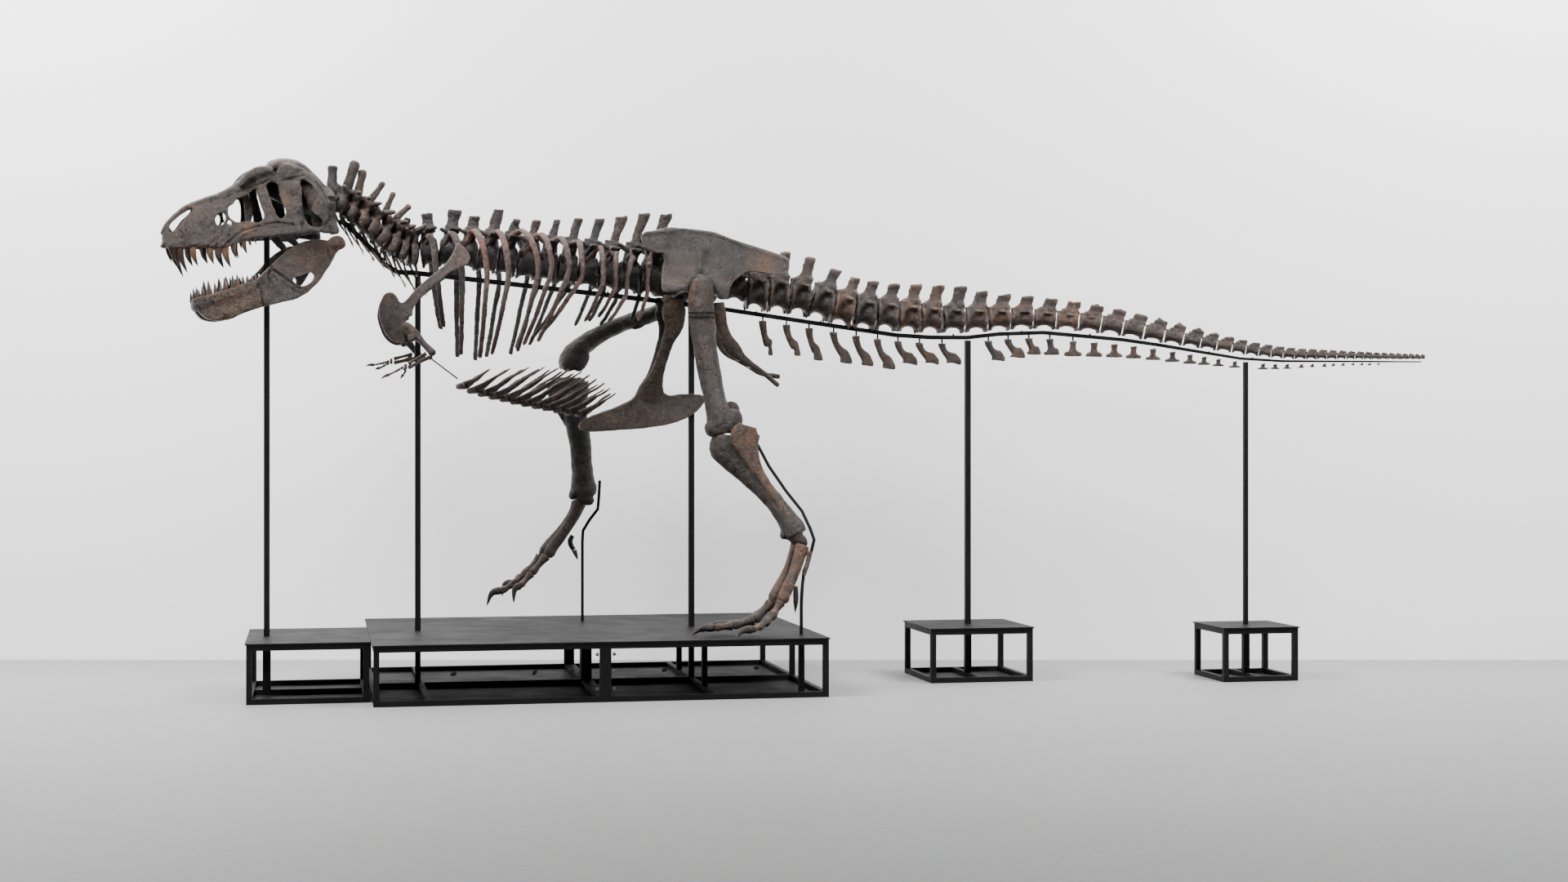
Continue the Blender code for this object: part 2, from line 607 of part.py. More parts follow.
def lower_tooth(ahead, long, thick, side):
    ahead_of, tops, outs = zip(*sorted((s[0], s[1], s[3]) for s in MANDIBLE))
    gum, out = float(np.interp(ahead, ahead_of, tops)) - 0.03, float(np.interp(ahead, ahead_of, outs))
    tip = head_point(ahead + 0.012, gum + 0.03 + long, side * out)
    return tooth(head_point(ahead, gum, side * out), tip, thick)


def make_lower_jaw():
    chin = [head_point(1.20, 3.50, -0.09), head_point(1.215, 3.50, 0.0), head_point(1.20, 3.50, 0.09)]
    shells = [bone(chin, [(0.09, 0.10), (0.09, 0.11), (0.09, 0.10)], (1, 0, 0), sides=6)]
    for side in (-1, 1):
        shells.append(mandible(side))
        shells += [lower_tooth(*values, side) for values in LOWER_TEETH]
    return one_body("lower_jaw", shells, PALE_BONE, [head_cutter(JAW_WINDOW, -0.5, 0.5)], keep=0.64)


# ---- Shoulders and arms ----

SCAPULA = (
    (-1.23, 4.07), (-1.11, 3.95), (-1.19, 3.87), (-1.44, 3.69), (-1.52, 3.62), (-1.66, 3.44), (-1.68, 3.37),
    (-1.70, 3.19), (-1.78, 3.18), (-1.86, 3.26), (-1.91, 3.40), (-1.90, 3.54), (-1.85, 3.62), (-1.77, 3.61),
    (-1.72, 3.53), (-1.56, 3.69), (-1.48, 3.76), (-1.27, 3.96),
)
SCAPULA_OUT = ((-1.95, 0.24), (-1.70, 0.34), (-1.45, 0.45), (-1.10, 0.53))


def make_scapula(name, side):
    blade = plate(SCAPULA, 0.045)
    for vertex in blade.vertices:
        vertex.co.y += side * smooth(SCAPULA_OUT, vertex.co.x)
    return one_body(name, [blade], BONE)


def make_arm(side_name, shoulder, elbow, wrist, tips, side):
    shoulder, elbow, wrist = Vector(shoulder), Vector(elbow), Vector(wrist)
    upper = [shoulder.lerp(elbow, share) for share in (0.0, 0.3, 0.65, 0.97)]
    sizes = [(0.11, 0.11), (0.09, 0.09), (0.06, 0.06), (0.085, 0.07)]
    one_body(f"humerus_{side_name}", [bone(upper, sizes, sides=6)], BONE)
    start = elbow + (wrist - elbow).normalized() * 0.062 - Vector((0, 0, 0.02))
    shells = []
    for lift in (-0.018, 0.018):
        path = [start.lerp(wrist, share) + Vector((0, lift * 0.6, lift)) for share in (0.0, 0.5, 1.0)]
        shells.append(bone(path, [(0.05, 0.05), (0.036, 0.036), (0.05, 0.05)], sides=4))
    shells.append(ball(wrist, (0.08, 0.09, 0.08), 3, 5))
    for tip in tips:
        tip = Vector(tip)
        bend = wrist.lerp(tip, 0.5) + Vector((0, side * 0.01, 0.012))
        shells.append(bone([wrist, bend, tip], [(0.035, 0.035), (0.026, 0.026), (0.008, 0.008)], sides=4))
    one_body(f"forearm_{side_name}", shells, BONE)


# ---- Hips ----

ILIUM = (
    (0.49, 4.18), (0.53, 4.24), (0.78, 4.28), (1.00, 4.27), (1.21, 4.24), (1.56, 4.12), (1.86, 4.00),
    (1.85, 3.90), (1.81, 3.84), (1.49, 3.87), (1.36, 3.77), (1.30, 3.67), (1.25, 3.62), (1.19, 3.64),
    (1.17, 3.75), (1.11, 3.815), (1.03, 3.83), (0.95, 3.77), (0.91, 3.69), (0.67, 3.68), (0.68, 3.96),
    (0.53, 4.08),
)
PUBIS_SHAFT = (
    (0.66, 3.57), (0.76, 3.645), (0.89, 3.60), (0.92, 3.42), (0.86, 3.27), (0.78, 3.05), (0.74, 2.70),
    (0.42, 2.65), (0.57, 2.92), (0.68, 3.12), (0.74, 3.32),
)
PUBIS_BOOT = (
    (0.46, 2.69), (0.30, 2.60), (0.05, 2.52), (-0.07, 2.44), (-0.04, 2.38), (0.08, 2.365), (0.36, 2.385),
    (0.75, 2.43), (0.99, 2.52), (1.13, 2.65), (1.11, 2.72), (0.75, 2.72),
)
HIP_OUT = 0.335
ILIUM_LEAN = 0.27
PUBIS_LEAN = 0.20


def make_ilium(name, side):
    return one_body(name, [plate(ILIUM, 0.06, side * HIP_OUT, side * ILIUM_LEAN)], BONE)


def make_pubis():
    shaft = plate(PUBIS_SHAFT, 0.07, -0.04, PUBIS_LEAN)
    slot = box((0.965, -0.033, 2.3), (1.2, 0.033, 2.9))
    return one_body("pubis", [plate(PUBIS_BOOT, 0.15), shaft, mirrored(shaft)], BONE, [slot])


def make_ischium():
    path = [
        (1.23, -0.21, 3.57), (1.25, -0.19, 3.42), (1.31, -0.15, 3.24), (1.46, -0.09, 3.08), (1.65, -0.055, 2.95),
    ]
    sizes = [(0.07, 0.12), (0.05, 0.10), (0.05, 0.13), (0.05, 0.075), (0.05, 0.05)]
    near = bone([*path, (1.83, -0.05, 2.80)], [*sizes, (0.03, 0.035)], sides=6)
    far = bone([*path, (1.86, -0.03, 2.89)], [*sizes, (0.03, 0.035)], sides=6)
    bridge = bone([(1.52, -0.10, 3.04), (1.52, 0.10, 3.04)], [(0.12, 0.05), (0.12, 0.05)], (1, 0, 0), sides=4)
    return one_body("ischium", [near, mirrored(far), bridge], BONE)


# ---- Legs ----

FEMUR_SIZES = (
    (0.15, 0.17), (0.20, 0.26), (0.19, 0.23), (0.18, 0.21), (0.20, 0.22), (0.27, 0.31), (0.24, 0.22),
)
TIBIA_SIZES = (
    (0.22, 0.38), (0.20, 0.36), (0.17, 0.24), (0.15, 0.17), (0.18, 0.18), (0.21, 0.16), (0.19, 0.13),
)
FIBULA_SIZES = ((0.07, 0.13), (0.06, 0.10), (0.045, 0.06), (0.045, 0.06), (0.06, 0.09))
LEGS = {
    "left": {
        "hip": (1.045, -0.25, 3.71),
        "femur": (
            (1.03, -0.44, 3.80), (1.03, -0.45, 3.68), (1.03, -0.46, 3.34), (1.07, -0.50, 3.00),
            (1.12, -0.55, 2.72),
            (1.19, -0.60, 2.50), (1.20, -0.61, 2.37),
        ),
        "knob": ((1.20, -0.62, 2.55), (1.31, -0.62, 2.57)),
        "tibia": (
            (1.27, -0.65, 2.29), (1.31, -0.67, 2.15), (1.44, -0.72, 1.97), (1.60, -0.79, 1.76),
            (1.71, -0.85, 1.60),
            (1.78, -0.90, 1.49), (1.82, -0.925, 1.42),
        ),
        "fibula": (
            (1.40, -0.80, 2.40), (1.42, -0.80, 2.20), (1.58, -0.86, 1.88), (1.74, -0.96, 1.60), (1.80, -0.99, 1.47),
        ),
        "ankle": (1.855, -0.96, 1.33),
        "ball": (1.62, -1.06, 0.84),
        "toes": (
            ((1.56, -1.00, 0.76), (1.40, -0.94, 0.66), (1.22, -0.88, 0.61), (1.08, -0.86, 0.585),
            (0.96, -0.84, 0.54)),
            (
                (1.50, -1.09, 0.74), (1.34, -1.10, 0.665), (1.18, -1.10, 0.62), (1.05, -1.10, 0.60),
                (0.94, -1.11, 0.59), (0.82, -1.12, 0.54),
            ),
            (
                (1.56, -1.18, 0.73), (1.46, -1.25, 0.66), (1.37, -1.31, 0.62), (1.30, -1.36, 0.61),
                (1.24, -1.41, 0.60), (1.16, -1.47, 0.54),
            ),
        ),
        "hallux": ((1.785, -1.07, 0.96), (1.785, -1.08, 0.86), (1.78, -1.08, 0.72)),
    },
    "right": {
        "hip": (1.045, 0.25, 3.71),
        "femur": (
            (1.03, 0.46, 3.75), (0.95, 0.46, 3.64), (0.68, 0.44, 3.50), (0.42, 0.45, 3.42),
            (0.16, 0.47, 3.30),
            (-0.05, 0.48, 3.14), (-0.10, 0.49, 3.00),
        ),
        "knob": ((-0.03, 0.50, 3.10), (0.02, 0.50, 3.00)),
        "tibia": (
            (-0.10, 0.50, 2.90), (-0.09, 0.51, 2.76), (-0.04, 0.53, 2.52), (0.02, 0.56, 2.22),
            (0.04, 0.59, 1.98),
            (0.05, 0.62, 1.84), (0.06, 0.63, 1.75),
        ),
        "fibula": (
            (0.00, 0.65, 2.86), (-0.03, 0.65, 2.66), (-0.04, 0.66, 2.30), (0.00, 0.70, 1.96), (0.02, 0.71, 1.82),
        ),
        "ankle": (0.02, 0.65, 1.70),
        "ball": (-0.30, 0.72, 1.20),
        "toes": (
            ((-0.36, 0.66, 1.12), (-0.46, 0.62, 1.00), (-0.56, 0.58, 0.90), (-0.62, 0.56, 0.83),
            (-0.63, 0.56, 0.73)),
            (
                (-0.40, 0.73, 1.10), (-0.50, 0.74, 0.99), (-0.62, 0.75, 0.90), (-0.71, 0.76, 0.84),
                (-0.80, 0.77, 0.80), (-0.87, 0.78, 0.69),
            ),
            (
                (-0.37, 0.82, 1.12), (-0.45, 0.87, 1.04), (-0.53, 0.91, 0.97), (-0.60, 0.95, 0.90),
                (-0.66, 0.98, 0.85), (-0.71, 1.00, 0.76),
            ),
        ),
        "hallux": ((-0.06, 0.74, 1.36), (-0.05, 0.75, 1.27), (0.00, 0.75, 1.13)),
    },
}


def make_femur(side_name, leg):
    shaft = bone(leg["femur"], FEMUR_SIZES, sides=8)
    hip, knob = Vector(leg["hip"]), [Vector(point) for point in leg["knob"]]
    neck = [Vector(leg["femur"][1]).lerp(hip, share) for share in (0.0, 0.7, 1.0)]
    head = bone(neck, [(0.14, 0.14), (0.16, 0.16), (0.10, 0.10)], (1, 0, 0), sides=6)
    heel = bone(knob, [(0.22, 0.20), (0.16, 0.12)], sides=6)
    return one_body(f"femur_{side_name}", [shaft, head, heel], BONE)


def make_tibia(side_name, leg):
    shaft = bone(leg["tibia"], TIBIA_SIZES, sides=8)
    fibula = bone(leg["fibula"], FIBULA_SIZES, sides=5)
    ties = []
    for inner_place, outer_place in ((1, 1), (-2, -1)):
        inner, outer = Vector(leg["tibia"][inner_place]), Vector(leg["fibula"][outer_place])
        ties.append(bone([inner, outer], [(0.06, 0.06), (0.05, 0.05)], (1, 0, 0), sides=4))
    return one_body(f"shin_{side_name}", [shaft, fibula, *ties], BONE)


def toe(start, path):
    """Toe bones end to end, knuckled at the joints, down to a claw."""
    points = [Vector(start), *(Vector(point) for point in path)]
    along, sizes = [points[0]], [(0.10, 0.10)]
    for i, (near, far) in enumerate(zip(points, points[1:])):
        last = i == len(points) - 2
        size = between(0.105, 0.062, i / (len(points) - 1))
        along += [near.lerp(far, 0.45), far]
        end = (size * 0.12, size * 0.14) if last else (size * 0.9, size)
        sizes += [(size * 0.72, size * 0.75), end]
    return bone(along, sizes, sides=4)


def make_foot(side_name, leg, side):
    ankle, ball_point = Vector(leg["ankle"]), Vector(leg["ball"])
    shells = []
    for out, path in zip((0.06, 0.0, -0.06), leg["toes"]):
        top = ankle + Vector((0.0, -side * out * 0.9, 0.0))
        low = ball_point + Vector((0.0, -side * out * 1.5, 0.0))
        shaft = [top, top.lerp(low, 0.5) + Vector((0.02, 0, 0.0)), low]
        shells.append(bone(shaft, [(0.085, 0.13), (0.07, 0.10), (0.10, 0.13)], sides=5))
        shells.append(toe(low, path))
    return one_body(f"foot_{side_name}", shells, BONE, keep=0.64)


def make_hallux(side_name, leg):
    spur = bone(leg["hallux"], [(0.05, 0.05), (0.05, 0.06), (0.01, 0.012)], sides=5)
    return one_body(f"hallux_{side_name}", [spur], BONE)


# ---- Belly ribs ----

GASTRALIA_FRONT, GASTRALIA_BACK, GASTRALIA_ROWS = (-1.13, 2.80), (-0.03, 2.545), 12
GASTRALIA_REACH = ((0, 0.16), (3, 0.32), (8, 0.34), (11, 0.27))
GASTRALIA_RUN = ((0, 0.24), (2, 0.38), (5, 0.46), (8, 0.42), (11, 0.30))


def make_gastralia():
    shells = []
    for i in range(GASTRALIA_ROWS):
        share = i / (GASTRALIA_ROWS - 1)
        x = between(GASTRALIA_FRONT[0], GASTRALIA_BACK[0], share)
        z = between(GASTRALIA_FRONT[1], GASTRALIA_BACK[1], share ** 0.75)
        run, reach = smooth(GASTRALIA_RUN, i), smooth(GASTRALIA_REACH, i)
        arms = []
        for side in (-1, 1):
            arms.append([
                Vector((x + run, side * reach, z + run * 0.62)),
                Vector((x + run * 0.40, side * reach * 0.60, z + run * 0.24)),
            ])
        path = [*arms[0], Vector((x, 0.0, z)), *arms[1][::-1]]
        sizes = [(0.018, 0.018), (0.045, 0.04), (0.125, 0.06), (0.045, 0.04), (0.018, 0.018)]
        shells.append(bone(path, sizes, (1, 0, 0), sides=4))
    return one_body("gastralia", shells, BONE, keep=0.68)


# ---- Stand ----


def base_frame(low, high, top, posts=(), long_bars=(), cross_bars=(), post_thick=TUBE):
    """The shells of a base: a top sheet, square tube round its top and bottom, posts, and bars along the floor.

    Posts are given by their middles, floor bars by the middle of their width.
    """
    (left, front), (right, back) = low, high
    sheet = top - SHEET
    inner = sheet - TUBE
    half = TUBE / 2
    shells = [box((left - 0.012, front - 0.012, sheet), (right + 0.012, back + 0.012, top))]
    for y in (front + half, back - half):
        shells.append(box((left, y - half, 0.0), (right, y + half, TUBE)))
        shells.append(box((left, y - half, inner), (right, y + half, sheet)))
    for x in (left + half, right - half, *cross_bars):
        shells.append(box((x - half, front, 0.0), (x + half, back, TUBE)))
    for x in (left + half, right - half):
        shells.append(box((x - half, front, inner), (x + half, back, sheet)))
    for y in long_bars:
        shells.append(box((left, y - half, 0.0), (right, y + half, TUBE)))
    corners = [(x, y, TUBE) for x in (left + half, right - half) for y in (front + half, back - half)]
    for x, y, thick in (*corners, *((x, y, post_thick) for x, y in posts)):
        out = thick / 2
        shells.append(box((x - out, y - out, 0.0), (x + out, y + out, sheet)))
    return shells


POLES = ((-2.916, -0.33), (-1.56, 0.0), (1.0, 0.0), (3.69, -0.09), (6.30, -0.68))
PALATE = 4.128
LEFT_ROD = (
    (1.50, -0.72, 2.25), (1.60, -0.76, 2.05), (1.75, -0.82, 1.82), (1.885, -0.88, 1.64), (1.95, -0.94, 1.48),
    (1.98, -0.97, 1.38), (1.945, -0.99, 1.26), (1.865, -1.06, 1.10), (1.84, -1.10, 0.95), (1.83, -1.11, 0.80),
)
RIGHT_ROD = (
    (0.21, 0.66, 1.90), (0.20, 0.66, 1.72), (0.19, 0.66, 1.62), (0.12, 0.72, 1.52), (0.06, 0.77, 1.41),
    (0.055, 0.78, 1.30),
)


def make_platform():
    """Two frames bolted side by side, each with its own posts and floor bars."""
    half_length, half_depth = PLATFORM_LENGTH / 2, PLATFORM_DEPTH / 2
    front_frame = base_frame(
        (-half_length, -half_depth), (0.0, half_depth), PLATFORM_TOP,
        posts=((-1.56, 0.0), (-0.025, 0.0)), long_bars=(0.0,), cross_bars=(-1.53,),
    )
    rear_frame = base_frame(
        (0.0, -half_depth), (half_length, half_depth), PLATFORM_TOP - 0.001,
        posts=(
            (0.026, 0.0), (1.975, 0.0), (1.0, 0.0), (1.0, -0.75), (1.0, 0.75), (0.055, 0.78), (1.83, -1.11),
        ),
        long_bars=(0.0,), cross_bars=(1.0,),
    )
    return one_body("stand_platform", front_frame + rear_frame, STEEL)


def make_head_base():
    low, high = (-3.075, -1.11), (-2.027, 0.46)
    shells = base_frame(low, high, PLATFORM_TOP, posts=((-2.916, -0.33),), long_bars=(-0.33,), post_thick=0.07)
    return one_body("stand_head_base", shells, STEEL)


def make_tail_base(number, middle, side):
    (x, y), half = middle, side / 2
    shells = base_frame(
        (x - half, y - half), (x + half, y + half), 0.515, posts=(middle,), cross_bars=(x,), post_thick=0.06
    )
    return one_body(f"stand_tail_base_{number}", shells, STEEL)


def make_pole(number, x, y):
    """A pole from its base up to the rail, or to the palate."""
    foot = 0.515 if number > 3 else PLATFORM_TOP
    thick = 0.04 if number == 5 else POLE_THICK
    top = PALATE if number == 1 else smooth(RAIL_HEIGHT, x) - 0.028
    return one_body(
        f"stand_pole_{number}", [bone([(x, y, foot + GAP), (x, y, top)], [(thick, thick)] * 2, sides=4)], STEEL
    )


def pins_up(joints, drum, every):
    """Short upright pins from inside the rail to just under the middles of some vertebrae of a run."""
    pins = []
    for front, back in list(zip(joints, joints[1:]))[::every]:
        foot = rail_point((front + back) / 2)
        top = spine_point(foot.x, -0.50 * smooth(drum, foot.x) - 0.026)
        pins.append(bone([foot, top], [(PIN, PIN)] * 2, sides=4))
    return pins


def pins_down(places):
    """Short pins from inside the rail to just above each chevron."""
    reach = -0.02 - PIN_REACH + 0.0005
    return [bone([rail_point(x), rail_point(x, reach)], [(PIN, PIN)] * 2, (1, 0, 0), sides=4) for x in places]


def make_spine_rail():
    stations = (-2.27, -2.21, -2.11, -1.98, -1.87, -1.75, -1.58, -0.50, 0.67, 1.298)
    shells = [bone([rail_point(x) for x in stations], [(RAIL, RAIL)] * len(stations), sides=4)]
    shells += pins_up(NECK_JOINTS[1:], NECK_DRUM, 3)
    shells += pins_up(TRUNK_JOINTS[1:], TRUNK_DRUM, 2)
    shells += pins_up(SACRUM_JOINTS[:-1], SACRUM_DRUM, 2)
    return one_body("stand_spine_rail", shells, STEEL)


TAIL_RAIL = ((1.30, 0.040), (4.00, 0.038), (5.50, 0.032), (6.60, 0.022), (7.95, 0.012))


def make_tail_rail():
    stations = (1.30, 2.12, 2.99, 3.33, 3.68, 3.99, 4.42, 4.75, 5.17, 5.50, 5.83, 6.26, 6.63, 7.30, 7.90)
    sizes = [(smooth(TAIL_RAIL, x), smooth(TAIL_RAIL, x)) for x in stations]
    shells = [bone([rail_point(x) for x in stations], sizes, sides=4)]
    shells += pins_up(TAIL_JOINTS[:28], TAIL_DRUM, 3)
    shells += pins_down([chevron[0] for chevron in CHEVRONS])
    return one_body("stand_tail_rail", shells, STEEL)


def make_leg_rod(name, path):
    """A rod bent along the back of the shin, then straight down to the platform."""
    low = path[-1]
    foot = (low[0], low[1], PLATFORM_TOP + GAP)
    return one_body(name, [bar([*path, foot], [0.016] * (len(path) + 1), 1)], STEEL)


def make_arm_rod():
    rod = bar([(-1.45, -0.47, 3.02), (-1.20, -0.06, 2.86)], [0.007] * 2, 1)
    return one_body("stand_arm_rod", [rod], STEEL)


# ---- The whole mount ----

make_skull()
make_lower_jaw()
make_neck()
make_rib_cage("ribcage_left", -1)
make_rib_cage("ribcage_right", 1)
make_sacrum()
make_tail()
for chevron_number, chevron_shape in enumerate(CHEVRONS, 1):
    make_chevron(chevron_number, *chevron_shape)
make_gastralia()
make_scapula("scapula_left", -1)
make_scapula("scapula_right", 1)
make_arm(
    "left", (-1.68, -0.44, 3.30), (-1.46, -0.50, 3.07), (-1.68, -0.46, 2.95),
    ((-1.90, -0.41, 2.84), (-1.72, -0.44, 2.84)), -1,
)
make_arm(
    "right", (-1.68, 0.44, 3.29), (-1.54, 0.42, 3.09), (-1.78, 0.38, 3.03),
    ((-2.03, 0.34, 2.98), (-1.93, 0.36, 2.95)), 1,
)
make_ilium("ilium_left", -1)
make_ilium("ilium_right", 1)
make_pubis()
make_ischium()
for side_of_body, leg_shape in LEGS.items():
    make_femur(side_of_body, leg_shape)
    make_tibia(side_of_body, leg_shape)
    make_foot(side_of_body, leg_shape, -1 if side_of_body == "left" else 1)
    make_hallux(side_of_body, leg_shape)
make_platform()
make_head_base()
make_tail_base(1, (3.69, -0.09), 1.0)
make_tail_base(2, (6.30, -0.68), 0.75)
for pole_number, pole_place in enumerate(POLES, 1):
    make_pole(pole_number, *pole_place)
make_spine_rail()
make_tail_rail()
make_leg_rod("stand_leg_rod_left", LEFT_ROD)
make_leg_rod("stand_leg_rod_right", RIGHT_ROD)
make_arm_rod()
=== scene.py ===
"""Looks of a mounted tyrannosaur skeleton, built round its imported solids.

Metres, +Z up. +X runs towards the tail, and the animal's left side faces -Y.
"""

import math

import bpy
import numpy as np
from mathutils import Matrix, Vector, noise


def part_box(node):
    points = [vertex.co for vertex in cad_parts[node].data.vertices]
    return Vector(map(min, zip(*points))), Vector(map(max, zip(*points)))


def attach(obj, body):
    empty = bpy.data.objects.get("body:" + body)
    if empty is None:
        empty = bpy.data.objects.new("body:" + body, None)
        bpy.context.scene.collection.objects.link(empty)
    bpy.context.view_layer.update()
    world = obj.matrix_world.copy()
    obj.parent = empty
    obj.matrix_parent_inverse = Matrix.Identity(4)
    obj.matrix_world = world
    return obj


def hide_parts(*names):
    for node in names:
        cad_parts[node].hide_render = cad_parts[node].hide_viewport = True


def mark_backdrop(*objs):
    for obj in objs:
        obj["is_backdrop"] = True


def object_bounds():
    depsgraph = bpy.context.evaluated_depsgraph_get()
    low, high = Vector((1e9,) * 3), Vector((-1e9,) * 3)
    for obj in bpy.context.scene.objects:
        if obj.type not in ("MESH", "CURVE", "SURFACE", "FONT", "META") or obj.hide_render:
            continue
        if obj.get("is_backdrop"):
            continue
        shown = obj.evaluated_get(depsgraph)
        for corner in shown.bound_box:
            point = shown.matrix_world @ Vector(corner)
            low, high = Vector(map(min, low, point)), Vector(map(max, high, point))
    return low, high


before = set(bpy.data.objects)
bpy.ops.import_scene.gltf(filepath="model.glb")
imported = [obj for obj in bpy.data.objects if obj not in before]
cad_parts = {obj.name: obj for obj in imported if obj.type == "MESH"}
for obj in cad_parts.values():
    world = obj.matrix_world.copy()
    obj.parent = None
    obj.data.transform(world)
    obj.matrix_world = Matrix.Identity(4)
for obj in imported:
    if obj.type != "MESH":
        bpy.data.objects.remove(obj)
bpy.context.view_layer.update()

# ---- The room ----
# A wide room with a pale wall behind the animal and a smooth grey concrete floor. The camera stands
# 21 m off, level, at chest height, and large soft lamps hang over the front.

CAMERA_AT = Vector((-2.48, -21.44, 2.32))
CAMERA_YAW = math.atan2(0.2, 0.9798)
WALL_DISTANCE = 23.85


def linear(hex_colour):
    """An sRGB hex colour as linear RGBA."""
    values = [int(hex_colour[i:i + 2], 16) / 255 for i in (1, 3, 5)]
    return (*(v / 12.92 if v <= 0.04045 else ((v + 0.055) / 1.055) ** 2.4 for v in values), 1.0)


def add(tree, kind, links=None, **settings):
    """Adds a node. Links and socket values are given by input name or number, and other settings by
    name.
    """
    node = tree.nodes.new(kind)
    for key, value in settings.items():
        setattr(node, key, value)
    for key, value in (links or {}).items():
        socket = node.inputs[key]
        if isinstance(value, bpy.types.NodeSocket):
            tree.links.new(value, socket)
        else:
            socket.default_value = value
    return node


def new_material(name):
    """An empty node material with its shader, and a node that gives a point's place on the object in
    metres.
    """
    material = bpy.data.materials.new(name)
    material.use_nodes = True
    tree = material.node_tree
    tree.nodes.clear()
    shader = add(tree, "ShaderNodeBsdfPrincipled")
    output = add(tree, "ShaderNodeOutputMaterial")
    tree.links.new(shader.outputs["BSDF"], output.inputs["Surface"])
    place = add(tree, "ShaderNodeTexCoord").outputs["Object"]
    return material, tree, shader, place


def blend(tree, share, first, second, kind="MIX"):
    """The colour between two others, as a socket."""
    node = add(tree, "ShaderNodeMix", data_type="RGBA", blend_type=kind)
    for name, value in ((0, share), (6, first), (7, second)):
        if isinstance(value, bpy.types.NodeSocket):
            tree.links.new(value, node.inputs[name])
        else:
            node.inputs[name].default_value = value
    return node.outputs[2]


def placed(name, data):
    """A new object, linked to the scene."""
    thing = bpy.data.objects.new(name, data)
    bpy.context.scene.collection.objects.link(thing)
    return thing


def quad(name, corners):
    mesh = bpy.data.meshes.new(name)
    mesh.from_pydata([tuple(c) for c in corners], [], [(0, 1, 2, 3)])
    return placed(name, mesh)


view_ahead = Vector((math.sin(CAMERA_YAW), math.cos(CAMERA_YAW), 0.0))
view_right = Vector((math.cos(CAMERA_YAW), -math.sin(CAMERA_YAW), 0.0))


def room_point(right, ahead, up):
    return Vector((CAMERA_AT.x, CAMERA_AT.y, up)) + view_right * right + view_ahead * ahead


camera = bpy.data.cameras.new("camera")
camera.lens, camera.sensor_width = 52.61, 36.0
camera.shift_y = -0.0026
camera.clip_end = 400.0
camera_object = placed("camera", camera)
camera_object.location = CAMERA_AT
camera_object.rotation_euler = (math.pi / 2, 0.0, -CAMERA_YAW)
bpy.context.scene.camera = camera_object

# Sealed concrete, power-floated: very low contrast clouds, painted shade that darkens it towards the front, and a dull
# sheen.
concrete, tree, shader, place = new_material("sealed_concrete")
clouds = add(tree, "ShaderNodeTexNoise", {"Vector": place, "Scale": 0.35, "Detail": 6.0})
tint = blend(tree, clouds.outputs["Fac"], linear("#888888"), linear("#969696"))
along = add(tree, "ShaderNodeSeparateXYZ", {"Vector": place}).outputs["Y"]
# Painted shade: the floor is blended towards dark grey nearer the camera, darkest at the front.
painted_front_shade = add(
    tree, "ShaderNodeMapRange", {"Value": along, 1: -12.0, 2: 1.5, 3: 0.85, 4: 0.0}
).outputs["Result"]
tint = blend(tree, painted_front_shade, tint, linear("#2c2c2c"))
grit = add(tree, "ShaderNodeTexNoise", {"Vector": place, "Scale": 14.0, "Detail": 4.0})
tree.links.new(blend(tree, 0.06, tint, grit.outputs["Color"]), shader.inputs["Base Color"])
shader.inputs["Roughness"].default_value = 0.55
shader.inputs["Specular IOR Level"].default_value = 0.25

# Matt wall paint: even, with no sheen.
paint, tree, shader, place = new_material("matt_wall_paint")
shade = add(tree, "ShaderNodeTexNoise", {"Vector": place, "Scale": 0.05, "Detail": 1.0})
tree.links.new(
    blend(tree, shade.outputs["Fac"], linear("#f0f0f0"), linear("#f4f4f4")), shader.inputs["Base Color"]
)
shader.inputs["Roughness"].default_value = 0.95
shader.inputs["Specular IOR Level"].default_value = 0.1

floor = quad("floor", [
    room_point(-60, -30, 0), room_point(60, -30, 0), room_point(60, WALL_DISTANCE, 0),
    room_point(-60, WALL_DISTANCE, 0),
])
floor.data.materials.append(concrete)
wall = quad("wall", [
    room_point(-60, WALL_DISTANCE, 0), room_point(60, WALL_DISTANCE, 0),
    room_point(60, WALL_DISTANCE, 26), room_point(-60, WALL_DISTANCE, 26),
])
wall.data.materials.append(paint)
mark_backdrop(floor, wall)

world = bpy.data.worlds.new("room_light")
world.use_nodes = True
world.node_tree.nodes["Background"].inputs["Color"].default_value = linear("#f2f2f2")
world.node_tree.nodes["Background"].inputs["Strength"].default_value = 0.22
bpy.context.scene.world = world


def lamp(name, right, ahead, up, aim, size, watts):
    """A large square soft lamp, aimed at a point of the room."""
    data = bpy.data.lights.new(name, "AREA")
    data.shape = "SQUARE"
    data.size = size
    data.energy = watts
    thing = placed(name, data)
    thing.location = room_point(right, ahead, up)
    thing.rotation_euler = (room_point(*aim) - thing.location).to_track_quat("-Z", "Y").to_euler()


lamp("key_lamp", -9.0, 9.0, 11.0, (1.0, 21.5, 2.6), 4.0, 1300)
lamp("fill_lamp", 10.0, 8.0, 8.0, (2.0, 21.5, 2.6), 6.0, 160)
for side in (-1, 1):
    lamp("wall_lamp", 9.0 * side, 17.5, 12.0, (6.0 * side, 24.0, 1.5), 6.0, 4500)

# ---- The stand: bases, poles, rails and rods ----
# Low frames of square steel tube under thin steel sheets, with square poles rising through them.
# A bent steel rail follows the spine, and thin rods run down behind the legs. All is welded and powder
# coated.

